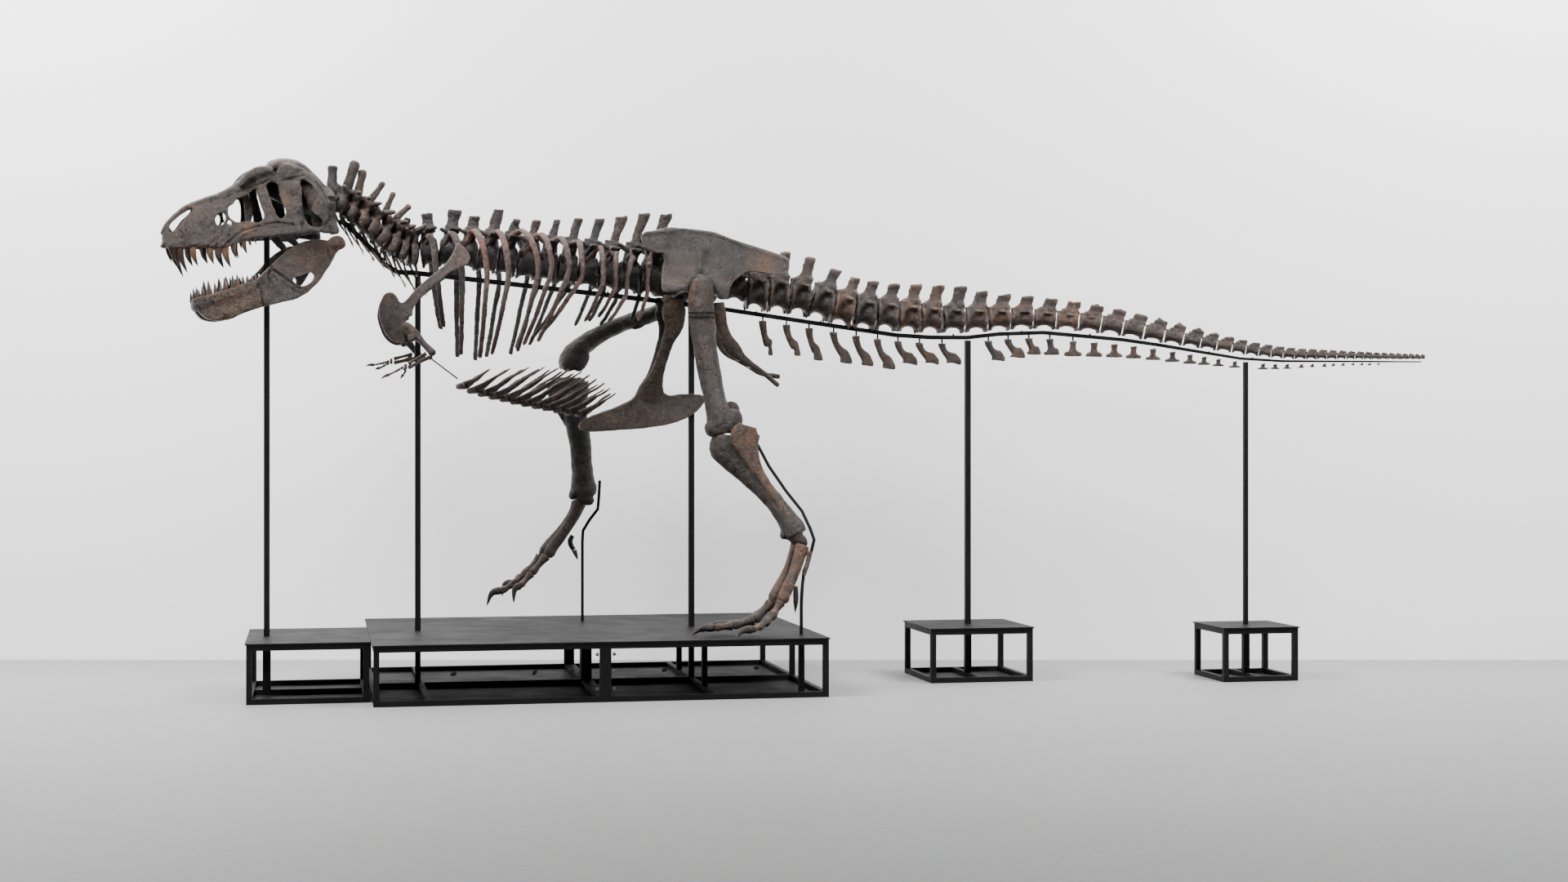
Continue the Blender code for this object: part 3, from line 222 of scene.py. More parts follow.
# Satin black powder coat: a fine orange-peel ripple, a soft sheen at a low angle, and dusty specks.
powder_coat, tree, shader, place = new_material("powder_coated_steel")
smudge = add(tree, "ShaderNodeTexNoise", {"Vector": place, "Scale": 3.0, "Detail": 5.0, "Roughness": 0.6})
dust = add(tree, "ShaderNodeTexNoise", {"Vector": place, "Scale": 40.0, "Detail": 3.0})
coat = blend(tree, smudge.outputs["Fac"], linear("#0b0b0c"), linear("#18181a"))
dust_share = add(
    tree, "ShaderNodeMapRange", {"Value": dust.outputs["Fac"], 1: 0.55, 2: 0.8, 3: 0.0, 4: 0.35}
)
tree.links.new(
    blend(tree, dust_share.outputs["Result"], coat, linear("#2b2b2c")), shader.inputs["Base Color"]
)
gloss = add(tree, "ShaderNodeMapRange", {"Value": smudge.outputs["Fac"], 1: 0.3, 2: 0.7, 3: 0.46, 4: 0.6})
tree.links.new(gloss.outputs["Result"], shader.inputs["Roughness"])
peel = add(tree, "ShaderNodeTexNoise", {"Vector": place, "Scale": 260.0, "Detail": 2.0})
ripple = add(tree, "ShaderNodeBump", {"Height": peel.outputs["Fac"], "Strength": 0.15, "Distance": 0.001})
tree.links.new(ripple.outputs["Normal"], shader.inputs["Normal"])
shader.inputs["Specular IOR Level"].default_value = 0.1

# The tubes' corners and the sheets' edges are rounded by a couple of millimetres.
for name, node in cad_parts.items():
    if name.startswith("stand_"):
        node.data.materials.clear()
        node.data.materials.append(powder_coat)
        rounding = node.modifiers.new("rounding", "BEVEL")
        rounding.width, rounding.segments, rounding.limit_method = 0.0025, 2, "ANGLE"

# ---- Bolts and lugs of the stand ----
# Zinc-dulled hex bolts join the two halves of the platform at its front seam, and small welded lugs, coated
# like the frame, sit on the front bars.


def repeated(name, unit, places, facing, material, seed):
    """One small part set at many places, its own up axis facing outwards there and turned by chance."""
    tree = bpy.data.node_groups.new(f"{name}_layout", "GeometryNodeTree")
    sockets = {
        title: tree.interface.new_socket(title, in_out="INPUT", socket_type=kind).identifier
        for title, kind in (
            ("Places", "NodeSocketGeometry"), ("Part", "NodeSocketObject"), ("Facing", "NodeSocketVector"),
            ("Seed", "NodeSocketInt"), ("Material", "NodeSocketMaterial"),
        )
    }
    tree.interface.new_socket("Parts", in_out="OUTPUT", socket_type="NodeSocketGeometry")
    given = add(tree, "NodeGroupInput").outputs
    part = add(tree, "GeometryNodeObjectInfo", {"Object": given["Part"]}).outputs["Geometry"]
    upright = add(tree, "FunctionNodeAlignRotationToVector", {"Vector": given["Facing"]}, axis="Z")
    twist = add(
        tree, "FunctionNodeRandomValue", {1: (0.0, 0.0, 1.047), "Seed": given["Seed"]},
        data_type="FLOAT_VECTOR"
    )
    turned = add(
        tree, "FunctionNodeRotateRotation", {0: upright.outputs[0], 1: twist.outputs[0]},
        rotation_space="LOCAL"
    )
    copies = add(tree, "GeometryNodeInstanceOnPoints", {
        "Points": given["Places"], "Instance": part, "Rotation": turned.outputs[0],
    })
    real = add(tree, "GeometryNodeRealizeInstances", {"Geometry": copies.outputs["Instances"]})
    coated = add(
        tree, "GeometryNodeSetMaterial",
        {"Geometry": real.outputs["Geometry"], "Material": given["Material"]}
    )
    add(tree, "NodeGroupOutput", {0: coated.outputs["Geometry"]})

    mesh = bpy.data.meshes.new(f"{name}_places")
    mesh.from_pydata(places, [], [])
    layout = placed(f"{name}_places", mesh)
    modifier = layout.modifiers.new("layout", "NODES")
    modifier.node_group = tree
    modifier[sockets["Part"]] = unit
    modifier[sockets["Facing"]] = facing
    modifier[sockets["Seed"]] = seed
    modifier[sockets["Material"]] = material
    graph = bpy.context.evaluated_depsgraph_get()
    result = bpy.data.meshes.new_from_object(layout.evaluated_get(graph), depsgraph=graph)
    layout.modifiers.remove(modifier)
    bpy.data.objects.remove(layout)
    bpy.data.objects.remove(unit)
    piece = placed(name, result)
    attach(piece, "root")


def turned_part(name, profile, sides, squash=1.0):
    """A small part of the given number of sides, standing on the floor plane, from (radius, height)
    pairs.
    """
    turns = [math.tau * k / sides for k in range(sides)]
    points = [(r * math.cos(a), r * squash * math.sin(a), h) for r, h in profile for a in turns]
    faces = [
        (
            row * sides + k, row * sides + (k + 1) % sides, (row + 1) * sides + (k + 1) % sides,
            (row + 1) * sides + k
        )
        for row in range(len(profile) - 1) for k in range(sides)
    ]
    last = (len(profile) - 1) * sides
    mesh = bpy.data.meshes.new(name)
    mesh.from_pydata(points, [], [*faces, tuple(range(sides))[::-1], tuple(range(last, last + sides))])
    return placed(name, mesh)


# Dull zinc plate: grey metal, hazy, and darker where fingers and spanners have been.
zinc, tree, shader, place = new_material("dull_zinc_plate")
haze = add(tree, "ShaderNodeTexNoise", {"Vector": place, "Scale": 90.0, "Detail": 4.0})
tree.links.new(
    blend(tree, haze.outputs["Fac"], linear("#3c3c3e"), linear("#77777a")), shader.inputs["Base Color"]
)
shader.inputs["Metallic"].default_value = 1.0
dull = add(tree, "ShaderNodeMapRange", {"Value": haze.outputs["Fac"], 1: 0.3, 2: 0.7, 3: 0.35, 4: 0.55})
tree.links.new(dull.outputs["Result"], shader.inputs["Roughness"])

BOLT_HEAD = ((0.017, 0.0), (0.017, 0.0025), (0.0125, 0.003), (0.0125, 0.0105), (0.0105, 0.0125))
seam = [(side * 0.075, -1.5, height) for side in (-1, 1) for height in (0.12, 0.27, 0.42)]
repeated("platform_bolts", turned_part("bolt", BOLT_HEAD, 6), seam, (0.0, -1.0, 0.0), zinc, 4)
LUG = ((0.03, -0.004), (0.03, 0.006), (0.026, 0.01), (0.012, 0.012))
bars = [(x, -1.5, 0.275) for x in (-1.32, -0.62, -0.3, 0.52, 1.34)]
repeated("platform_lugs", turned_part("lug", LUG, 8, 0.6), bars, (0.0, -1.0, 0.0), powder_coat, 9)

# ---- Dark floor sheets of the stand, as painted shade ----
# Thin sheets, coated black like the frame, close the bottom of each frame and darken it where its shade falls: painted
# shade.
# They lie in the bays between its floor bars, tacked along their edges, and are a little dished by the heat of the
# welding.

FLOOR_BARS = [
    ((-1.975, -1.53, -0.025), (-1.475, 0.0, 1.475)),
    ((0.025, 1.0, 1.975), (-1.475, 0.0, 1.475)),
    ((-3.05, -2.052), (-1.085, -0.33, 0.435)),
]
for number in (1, 2):
    low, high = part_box(f"stand_tail_base_{number}")
    outer_x, outer_y = ([low[k] + 0.037, high[k] - 0.037] for k in (0, 1))
    FLOOR_BARS.append(((outer_x[0], sum(outer_x) / 2, outer_x[1]), tuple(outer_y)))
SHEET_CELLS, SHEET_GAUGE, SHEET_HEIGHT = 10, 0.003, 0.006
HALF_BAR = 0.026  # from a floor bar's middle to the edge of its sheet
points, faces = [], []
for x_bars, y_bars in FLOOR_BARS:
    for west, east in zip(x_bars, x_bars[1:]):
        for near, far in zip(y_bars, y_bars[1:]):
            start = len(points)
            for x in np.linspace(west + HALF_BAR, east - HALF_BAR, SHEET_CELLS + 1):
                for y in np.linspace(near + HALF_BAR, far - HALF_BAR, SHEET_CELLS + 1):
                    points.append((x, y, SHEET_HEIGHT + 0.002 * noise.noise(Vector((3 * x, 3 * y, 0.0)))))
            for i in range(SHEET_CELLS):
                for j in range(SHEET_CELLS):
                    corner = start + i * (SHEET_CELLS + 1) + j
                    faces.append((corner, corner + SHEET_CELLS + 1, corner + SHEET_CELLS + 2, corner + 1))
# Painted shade: dark sheets laid where the frames' shade falls.
mesh = bpy.data.meshes.new("floor_sheets")
mesh.from_pydata(points, [], faces)
mesh.materials.append(powder_coat)
shade_sheets = placed("floor_sheets", mesh)
gauge = shade_sheets.modifiers.new("gauge", "SOLIDIFY")
gauge.thickness, gauge.offset = SHEET_GAUGE, -1.0
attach(shade_sheets, "root")

# ---- Trunk vertebrae ----
# Twelve heavy drums with tall spines and side wings, one behind the other over the rail. They are
# mineralised bone: dark, dense, cracked and glued, and sealed with a thin clear consolidant.

SPINE_HEIGHT = (
    (-2.4, 4.55), (-2.22, 4.4), (-2.01, 4.26), (-1.8, 4.09), (-1.62, 4.01), (-1.42, 4.03), (-1.1, 4.01),
    (-0.67, 3.95), (0.0, 3.87), (0.67, 3.8), (1.2, 3.75), (1.63, 3.69), (2.09, 3.65), (2.55, 3.53),
    (2.93, 3.49), (3.54, 3.46), (4.39, 3.465), (5.0, 3.41), (5.58, 3.3), (6.16, 3.19), (6.55, 3.13),
    (7.2, 3.1), (7.95, 3.08),
)
SPINE_SWEEP = (
    (-3.85, -0.56), (-2.92, -0.33), (-2.35, -0.2), (-1.9, -0.06), (-1.7, -0.02), (-1.55, 0.0), (-1.4, 0.0),
    (1.4, 0.0), (1.7, 0.0), (2.4, -0.01), (3.69, -0.09), (5.0, -0.32), (6.3, -0.68), (7.95, -1.15),
)


def smooth(stations, x):
    """The value at x on a smooth curve through (x, value) stations."""
    xs, values = np.array(stations).T
    slopes = np.gradient(values, xs)
    i = int(np.clip(np.searchsorted(xs, x) - 1, 0, len(xs) - 2))
    span = xs[i + 1] - xs[i]
    t = (x - xs[i]) / span
    ease = t * t * (3 - 2 * t)
    lift = span * (slopes[i] * t * (1 - t) ** 2 - slopes[i + 1] * t * t * (1 - t))
    return float(values[i] * (1 - ease) + values[i + 1] * ease + lift)


def spine_at(x):
    """The middle of the vertebrae at x, with the spine's own directions there: towards the tail, left and
    up.
    """
    here, ahead, behind = (
        np.array([p, smooth(SPINE_SWEEP, p), smooth(SPINE_HEIGHT, p)]) for p in (x, x - 0.03, x + 0.03)
    )
    along = (behind - ahead) / np.linalg.norm(behind - ahead)
    left = np.cross(along, (0, 0, 1))
    left /= np.linalg.norm(left)
    return here, along, left, np.cross(left, along)


def through(points, count):
    """Evenly shared points, of any number of values each, on a smooth line through the given ones."""
    p = np.array(points, float)
    ends = np.vstack([2 * p[0] - p[1], p, 2 * p[-1] - p[-2]])
    t = np.linspace(0, len(p) - 1, count)
    i = np.minimum(t.astype(int), len(p) - 2)
    f = (t - i)[:, None]
    a, b, c, d = (ends[i + k] for k in range(4))
    return 0.5 * (
        2 * b + (c - a) * f + (2 * a - 5 * b + 4 * c - d) * f ** 2 + (3 * b - a - 3 * c + d) * f ** 3
    )


def skin(rings):
    """A closed skin through rings of points, as (points, faces)."""
    rings = np.asarray(rings, float)
    rows, sides = rings.shape[:2]
    faces = [
        (r * sides + i, r * sides + (i + 1) % sides, (r + 1) * sides + (i + 1) % sides, (r + 1) * sides + i)
        for r in range(rows - 1) for i in range(sides)
    ]
    return rings.reshape(-1, 3), [
        *faces, tuple(range(sides))[::-1], tuple(range((rows - 1) * sides, rows * sides))
    ]


def shaft(stations, side=(0, 1, 0), sides=12, finer=3):
    """A rounded shaft through stations of (x, y, z, width along side, height across it)."""
    line = through(stations, (len(stations) - 1) * finer + 1)
    centres, sizes = line[:, :3], np.maximum(line[:, 3:5], 0.003) / 2
    along = np.gradient(centres, axis=0)
    along /= np.linalg.norm(along, axis=1)[:, None]
    across = np.array(side, float) - along * (along @ np.array(side, float))[:, None]
    across /= np.linalg.norm(across, axis=1)[:, None]
    upward = np.cross(along, across)
    turn = math.tau * (np.arange(sides) + 0.5) / sides
    return skin(
        centres[:, None] + across[:, None] * (sizes[:, :1] * np.cos(turn))[..., None]
        + upward[:, None] * (sizes[:, 1:] * np.sin(turn))[..., None]
    )


def knob(centre, size, turn=0.0):
    """An egg shape of the given three sizes, turned about the side-to-side line."""
    levels = np.linspace(-1, 1, 9)[1:-1] * math.pi / 2
    turns = math.tau * np.arange(12) / 12
    rings = np.array(
        [
            [
                (math.cos(a) * math.cos(b), math.cos(a) * math.sin(b), math.sin(a)) for b in turns
            ] for a in levels
        ]
    )
    c, s = math.cos(turn), math.sin(turn)
    rings = rings * np.array(size) / 2 @ np.array([[c, 0, -s], [0, 1, 0], [s, 0, c]])
    return skin(rings + np.array(centre, float))


def mesh_of(shells, name="shells"):
    mesh = bpy.data.meshes.new(name)
    points, faces, first = [], [], 0
    for shell_points, shell_faces in shells:
        points.append(shell_points)
        faces += [tuple(i + first for i in face) for face in shell_faces]
        first += len(shell_points)
    mesh.from_pydata(np.concatenate(points).tolist(), [], faces)
    return mesh


def cloud_texture(name, size, depth):
    texture = bpy.data.textures.new(name, "CLOUDS")
    texture.noise_scale, texture.noise_depth = size, depth
    return texture


WORN_LUMPS = cloud_texture("worn_lumps", 0.1, 2)
WEATHERED_PITS = cloud_texture("weathered_pits", 0.028, 3)


def evaluated(thing):
    graph = bpy.context.evaluated_depsgraph_get()
    return bpy.data.meshes.new_from_object(thing.evaluated_get(graph), depsgraph=graph)


def carved(shells, fine, soften=3, lumps=0.01, pits=0.006, cuts=(), tone=0.5, mould=None, warm=0.3):
    """One bone: overlapping shells run into one skin, cut, softened and weathered.

    It is returned as its points, faces of four, and for each point its tone, how hollow it lies and how warm
    its colour is. Tone and warm are numbers, or functions of the points.
    """
    thing = placed("rough_bone", mesh_of(shells))

    def step(kind, **settings):
        modifier = thing.modifiers.new(kind, kind)
        for key, value in settings.items():
            setattr(modifier, key, value)

    step("REMESH", mode="VOXEL", voxel_size=fine)
    if cuts:
        knife = placed("knife", mesh_of(cuts))
        step("BOOLEAN", operation="DIFFERENCE", object=knife, solver="MANIFOLD")
        step("REMESH", mode="VOXEL", voxel_size=fine)
    step("SMOOTH", factor=0.5, iterations=soften)
    if lumps:
        step("DISPLACE", texture=WORN_LUMPS, texture_coords="LOCAL", mid_level=0.5, strength=lumps)
    if pits:
        step("DISPLACE", texture=WEATHERED_PITS, texture_coords="LOCAL", mid_level=0.5, strength=pits)
    mesh = evaluated(thing)
    if cuts:
        bpy.data.objects.remove(knife)
    bpy.data.objects.remove(thing)
    points = np.empty(len(mesh.vertices) * 3)
    mesh.vertices.foreach_get("co", points)
    points = points.reshape(-1, 3)
    normals = np.empty(len(mesh.vertices) * 3)
    mesh.vertices.foreach_get("normal", normals)
    edges = np.empty(len(mesh.edges) * 2, int)
    mesh.edges.foreach_get("vertices", edges)
    faces = np.empty(len(mesh.loops), int)
    mesh.loops.foreach_get("vertex_index", faces)
    bpy.data.meshes.remove(mesh)
    edges, first, second = edges.reshape(-1, 2), edges[0::2], edges[1::2]
    count = np.maximum(np.bincount(edges.ravel(), minlength=len(points)), 1)[:, None]
    mean = points.copy()
    for _ in range(6):
        mean = np.stack([
            np.bincount(first, mean[second, k], len(points))
            + np.bincount(second, mean[first, k], len(points))
            for k in range(3)
        ], axis=1) / count
    hollow = ((mean - points) * normals.reshape(-1, 3)).sum(axis=1) / fine
    if mould:
        points = mould(points)
    tones, warmths = (
        value(points) if callable(value) else np.full(len(points), value) for value in (tone, warm)
    )
    return points, faces.reshape(-1, 4), tones, hollow, warmths


def patches(base, *spots):
    """A value that is base all over, and more or less than it near spots of (place, reach, change)."""
    def value(points):
        total = np.full(len(points), float(base))
        for place, reach, change in spots:
            apart = ((points - np.array(place)) ** 2).sum(axis=1)
            total += change * np.exp(-apart / reach ** 2)
        return total
    return value


def assembled(name, bones, material, slot, *nodes):
    """One piece made of finished bones, riding on the mount in place of its solids."""
    points, faces, first = [], [], 0
    for bone_points, bone_faces, *_ in bones:
        points.append(bone_points)
        faces.append(bone_faces + first)
        first += len(bone_points)
    points, faces = np.concatenate(points), np.concatenate(faces)
    mesh = bpy.data.meshes.new(name)
    mesh.vertices.add(len(points))
    mesh.vertices.foreach_set("co", points.astype(np.float32).ravel())
    mesh.loops.add(faces.size)
    mesh.loops.foreach_set("vertex_index", faces.astype(np.int32).ravel())
    mesh.polygons.add(len(faces))
    mesh.polygons.foreach_set("loop_start", np.arange(0, faces.size, 4, dtype=np.int32))
    mesh.polygons.foreach_set("use_smooth", np.ones(len(faces), bool))
    mesh.update(calc_edges=True)
    mesh.validate()
    for title, column in (("tone", 2), ("hollow", 3), ("warmth", 4)):
        attribute = mesh.attributes.new(title, "FLOAT", "POINT")
        attribute.data.foreach_set(
            "value", np.concatenate([bone[column] for bone in bones]).astype(np.float32)
        )
    mesh.materials.append(material)
    piece = placed(name, mesh)
    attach(piece, "root")
    if nodes:
        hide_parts(*nodes)
    return piece


def fossil_bone(name, dark, mid, pale, stain, stain_share=0.35, pits=1.0, warm="#8a5a35"):
    """Sealed fossil bone: mottled mineral colours, dark filled cracks, painted shade in the hollows, rubbed pale
    edges, dust with painted top light on upward faces, a patchy sheen.
    """
    material, tree, shader, place = new_material(name)

    def cloud(scale, detail=4.0, rough=0.6, bend=0.0):
        return add(tree, "ShaderNodeTexNoise", {
            "Vector": place, "Scale": scale, "Detail": detail, "Roughness": rough, "Distortion": bend,
        }).outputs["Fac"]

    def share(value, low, high, start=0.0, end=1.0):
        return add(
            tree, "ShaderNodeMapRange", {"Value": value, 1: low, 2: high, 3: start, 4: end}
        ).outputs["Result"]

    tone, hollow, warmth = (
        add(tree, "ShaderNodeAttribute", attribute_name=title).outputs["Fac"]
        for title in ("tone", "hollow", "warmth")
    )
    colour = blend(tree, share(cloud(8.0, 6.0, 0.7), 0.4, 0.6), linear(dark), linear(mid))
    patch = share(cloud(3.2, 6.0, 0.65, 0.8), 0.6 - stain_share * 0.25, 0.72 - stain_share * 0.1)
    colour = blend(tree, patch, colour, linear(stain))
    warm_share = add(
        tree, "ShaderNodeMath", {0: warmth, 1: share(cloud(5.0, 5.0), 0.25, 0.65, 0.25, 1.2)},
        operation="MULTIPLY"
    )
    colour = blend(
        tree, add(tree, "ShaderNodeClamp", {0: warm_share.outputs[0]}).outputs[0], colour, linear(warm)
    )
    colour = blend(
        tree, share(cloud(15.0, 7.0, 0.75, 0.6), 0.47, 0.6, 0.0, 0.85), colour, linear("#17100f")
    )
    bright = add(
        tree, "ShaderNodeHueSaturation", {"Value": share(tone, 0.0, 1.0, 0.03, 0.48), "Color": colour}
    )
    colour = blend(
        tree, share(cloud(26.0, 6.0, 0.8), 0.6, 0.76, 0.0, 0.35), bright.outputs["Color"], linear(pale)
    )
    # Dust and painted top light: faces that point upward are blended towards the pale colour, so undersides read
    # darker.
    upward = add(
        tree, "ShaderNodeSeparateXYZ", {0: add(tree, "ShaderNodeNewGeometry").outputs["Normal"]}
    ).outputs["Z"]
    dust = add(
        tree, "ShaderNodeMath",
        {0: share(upward, 0.3, 1.0, 0.0, 0.22), 1: share(cloud(9.0, 6.0, 0.7), 0.35, 0.65)},
        operation="MULTIPLY"
    )
    dust = add(
        tree, "ShaderNodeMath", {0: dust.outputs[0], 1: share(tone, 0.0, 0.6)}, operation="MULTIPLY"
    ).outputs[0]
    colour = blend(tree, dust, colour, linear(pale))
    wobble = add(tree, "ShaderNodeVectorMath", {
        0: add(tree, "ShaderNodeTexNoise", {"Vector": place, "Scale": 14.0}).outputs["Color"],
        1: (0.05, 0.05, 0.05), 2: place,
    }, operation="MULTIPLY_ADD").outputs["Vector"]
    cell_edge = add(
        tree, "ShaderNodeTexVoronoi", {"Vector": wobble, "Scale": 9.0}, feature="DISTANCE_TO_EDGE"
    ).outputs["Distance"]
    broken = share(cloud(2.6, 2.0), 0.5, 0.58)
    crack = add(
        tree, "ShaderNodeMath", {0: share(cell_edge, 0.0, 0.022, 0.75, 0.0), 1: broken},
        operation="MULTIPLY"
    ).outputs[0]
    colour = blend(tree, crack, colour, linear("#120c0b"))
    # Painted shade: the hollows of the surface are darkened nearly to black.
    colour = blend(tree, share(hollow, 0.0, 0.5, 0.0, 0.95), colour, linear("#0d0908"))
    edges = add(
        tree, "ShaderNodeMath", {0: share(hollow, -0.3, -1.0, 0.0, 0.32), 1: share(tone, 0.0, 0.5)},
        operation="MULTIPLY"
    )
    tree.links.new(blend(tree, edges.outputs[0], colour, linear(pale)), shader.inputs["Base Color"])
    sheen = share(cloud(12.0, 5.0), 0.35, 0.68, 0.22, 0.58)
    tree.links.new(sheen, shader.inputs["Roughness"])
    grain = add(
        tree, "ShaderNodeMath", {0: cloud(24.0, 8.0, 0.75), 1: 1.6, 2: cloud(120.0, 3.0)},
        operation="MULTIPLY_ADD"
    ).outputs[0]
    grain = add(tree, "ShaderNodeMath", {0: crack, 1: -0.7, 2: grain}, operation="MULTIPLY_ADD").outputs[0]
    relief = add(tree, "ShaderNodeBump", {"Height": grain, "Strength": 0.9, "Distance": 0.01 * pits})
    tree.links.new(relief.outputs["Normal"], shader.inputs["Normal"])
    shader.inputs["IOR"].default_value = 1.55
    shader.inputs["Specular IOR Level"].default_value = 0.35
    return material


DARK_BONE = fossil_bone("sealed_dark_fossil_bone", "#2a1f1d", "#4a3733", "#8d7468", "#5d4038")

NECK_FRONT, TRUNK_FRONT, SACRUM_FRONT, TAIL_FRONT, TAIL_END = -2.33, -1.54, 0.7, 1.52, 7.93
chance = np.random.default_rng(7)


def joints_along(front, back, lengths):
    ends = np.cumsum([0.0, *lengths])
    return [front + (back - front) * end / ends[-1] for end in ends]


def vertebra(front, back, drum, roof, tip, span, thick=0.05, lean=0.0, spine_long=(0.55, 0.6), rise=0.1, wing=0.35,
             peg=0.0, fine=0.0095, droop=0.0, waist=0.76, lip=0.0, foot=0.2, warm=0.2, dark=0.0):
    """One vertebra between two joints: a waisted drum, an arch, a spine, wings and the pegs that hook the next.

    Heights are from the drum's middle, lengths along the spine are shares of the vertebra's, and lean is how far
    back the spine's tip stands in shares of its height.
    """
    middle, along, left, up = spine_at((front + back) / 2)
    long = (back - front) / along[0]
    jitter = chance.uniform(-1, 1, 8)
    half = drum / 2

    def at(back_share, side, height):
        return middle + along * back_share * long + left * side + up * height

    def ring(back_share, size):
        return (*at(back_share, 0, 0), size * drum, size * drum)

    shells = [shaft(
        [ring(-0.46, 0.9), ring(-0.43, 1.0), ring(-0.34, 0.97), ring(-0.12, waist), ring(0.12, waist), ring(0.34, 0.97),
         ring(0.43, 1.0), ring(0.46, 0.9)], left, 16, 2,
    )]
    arch = roof - half * 0.6
    shells.append(shaft([
        (*at(0.0, 0, half * 0.45), drum * 0.7, long * 0.78),
        (*at(0.0, 0, half * 0.6 + arch * 0.5), drum * 0.5, long * 0.66),
        (*at(lean * 0.1, 0, roof * 1.04), thick * 1.8, long * 0.68),
    ], left, 12, 3))
    low_long, top_long = spine_long
    tall = tip - roof
    leaning = lean * tall / long
    crest = tip * (1 + 0.015 * jitter[1])
    top_long *= 1 + 0.08 * jitter[0]
    shells.append(shaft([
        (*at(foot * 0.5, 0, roof * 0.75), thick * 1.6, long * low_long * 1.3),
        (*at(foot * 0.5 + leaning * 0.3, 0, roof + tall * 0.25), thick * 1.0, long * low_long * 1.04),
        (
            *at(foot * 0.5 + leaning * 0.6, 0, roof + tall * 0.6), thick * 0.95,
            long * (low_long * 0.52 + top_long * 0.5)
        ),
        (*at(foot * 0.5 + leaning * 0.9, 0, crest - 0.03), thick * 1.3, long * top_long),
        (*at(foot * 0.5 + leaning, 0, crest), thick * 1.5, long * top_long * 1.03),
        (*at(foot * 0.5 + leaning, 0, crest + 0.005), thick * 1.1, long * top_long * 0.9),
    ], left, 12, 3))
    if span > 0:
        for side in (-1, 1):
            root = half * 0.3 + (roof - half * 0.3) * 0.45
            shells.append(shaft([
                (*at(0.02, side * thick * 0.4, root), long * wing * 1.3, drum * 0.34),
                (
                    *at(0.06, side * span * 0.5, root + rise * span * 0.4 - droop * 0.3), long * wing,
                    drum * 0.17
                ),
                (
                    *at(0.12, side * span * 0.9, root + rise * span - droop * 0.8), long * wing * 1.05,
                    drum * 0.13
                ),
                (*at(0.13, side * span, root + rise * span * 1.05 - droop), long * wing * 0.8, drum * 0.1),
            ], along, 10, 3))
    if peg:
        for side in (-1, 1):
            out = side * drum * 0.15
            shells.append(shaft([
                (*at(-0.1, out, roof * 0.8), drum * 0.18, drum * 0.22),
                (*at(-0.4, out * 1.2, roof * 0.86), drum * 0.15, drum * 0.15),
                (*at(-0.4 - peg, out * 1.35, roof * 0.92), drum * 0.1, drum * 0.1),
            ], left, 8, 2))
            shells.append(shaft([
                (*at(0.12, out * 0.7, roof * 0.92), drum * 0.18, drum * 0.22),
                (*at(0.4, out * 0.9, roof * 0.95), drum * 0.16, drum * 0.17),
                (*at(0.42 + peg, out * 1.1, roof * 0.9), drum * 0.11, drum * 0.11),
            ], left, 8, 2))
    if lip:
        for end in (-0.4, 0.4):
            for side in (-1, 1):
                shells.append(
                    knob(
                        at(end, side * half * 0.45, -half * 0.92 - lip * 0.4),
                        (long * 0.18, drum * 0.3, lip * 2.2)
                    )
                )
    # dark lowers the tone of the whole vertebra, and the spine above the arch is lifted back up: painted shade on the
    # drum and arch.
    body = 0.47 - dark + 0.14 * jitter[3]
    spread = np.clip(dark * 1.2, 0.0, 0.3)

    def tone(points):
        """Painted shade: the drum and arch are darker, as in the ribs' shade, and the spine above them is lighter."""
        height = (points - middle) @ up
        return body + (spread + 0.1 * jitter[4]) * np.clip((height - roof) / 0.06, 0.0, 1.0)

    return carved(
        shells, fine, 2, drum * 0.05 + 0.003, drum * 0.035 + 0.002, tone=tone, warm=warm + 0.2 * jitter[5]
    )


TRUNK_JOINTS = joints_along(TRUNK_FRONT, SACRUM_FRONT, np.linspace(1.0, 1.15, 12))
TRUNK_DRUM = ((TRUNK_FRONT, 0.25), (-0.6, 0.27), (SACRUM_FRONT, 0.29))
TRUNK_ROOF = ((TRUNK_FRONT, 0.23), (-0.6, 0.27), (SACRUM_FRONT, 0.33))
TRUNK_TIPS = (0.355, 0.4, 0.36, 0.46, 0.4, 0.41, 0.44, 0.49, 0.51, 0.55, 0.6, 0.63)
TRUNK_SPINES = (0.62, 0.72, 0.55, 0.6, 0.42, 0.5, 0.36, 0.44, 0.5, 0.56, 0.6, 0.6)
# The trunk's drums and arches are toned darker (dark=0.34): painted shade under the ribs.
trunk = []
for i, (front, back) in enumerate(zip(TRUNK_JOINTS, TRUNK_JOINTS[1:])):
    x = (front + back) / 2
    trunk.append(vertebra(
        front, back, smooth(TRUNK_DRUM, x), smooth(TRUNK_ROOF, x), TRUNK_TIPS[i], 0.28, thick=0.05,
        lean=0.05 + 0.02 * i,
        spine_long=(0.62 if i < 5 else 0.42, TRUNK_SPINES[i]), rise=0.25, wing=0.5, peg=0.14, lip=0.014,
        waist=0.82,
        warm=0.1, dark=0.34,
    ))
assembled("trunk_vertebrae", trunk, DARK_BONE, "fossil_bone")

# ---- Ribs ----
# Twelve curved ribs a side, flat like a strap and two-headed at the top, where one head meets the drum and
# the
# other the wing of its vertebra. Wire pins hold them, so each hangs a little off its neighbour's line.

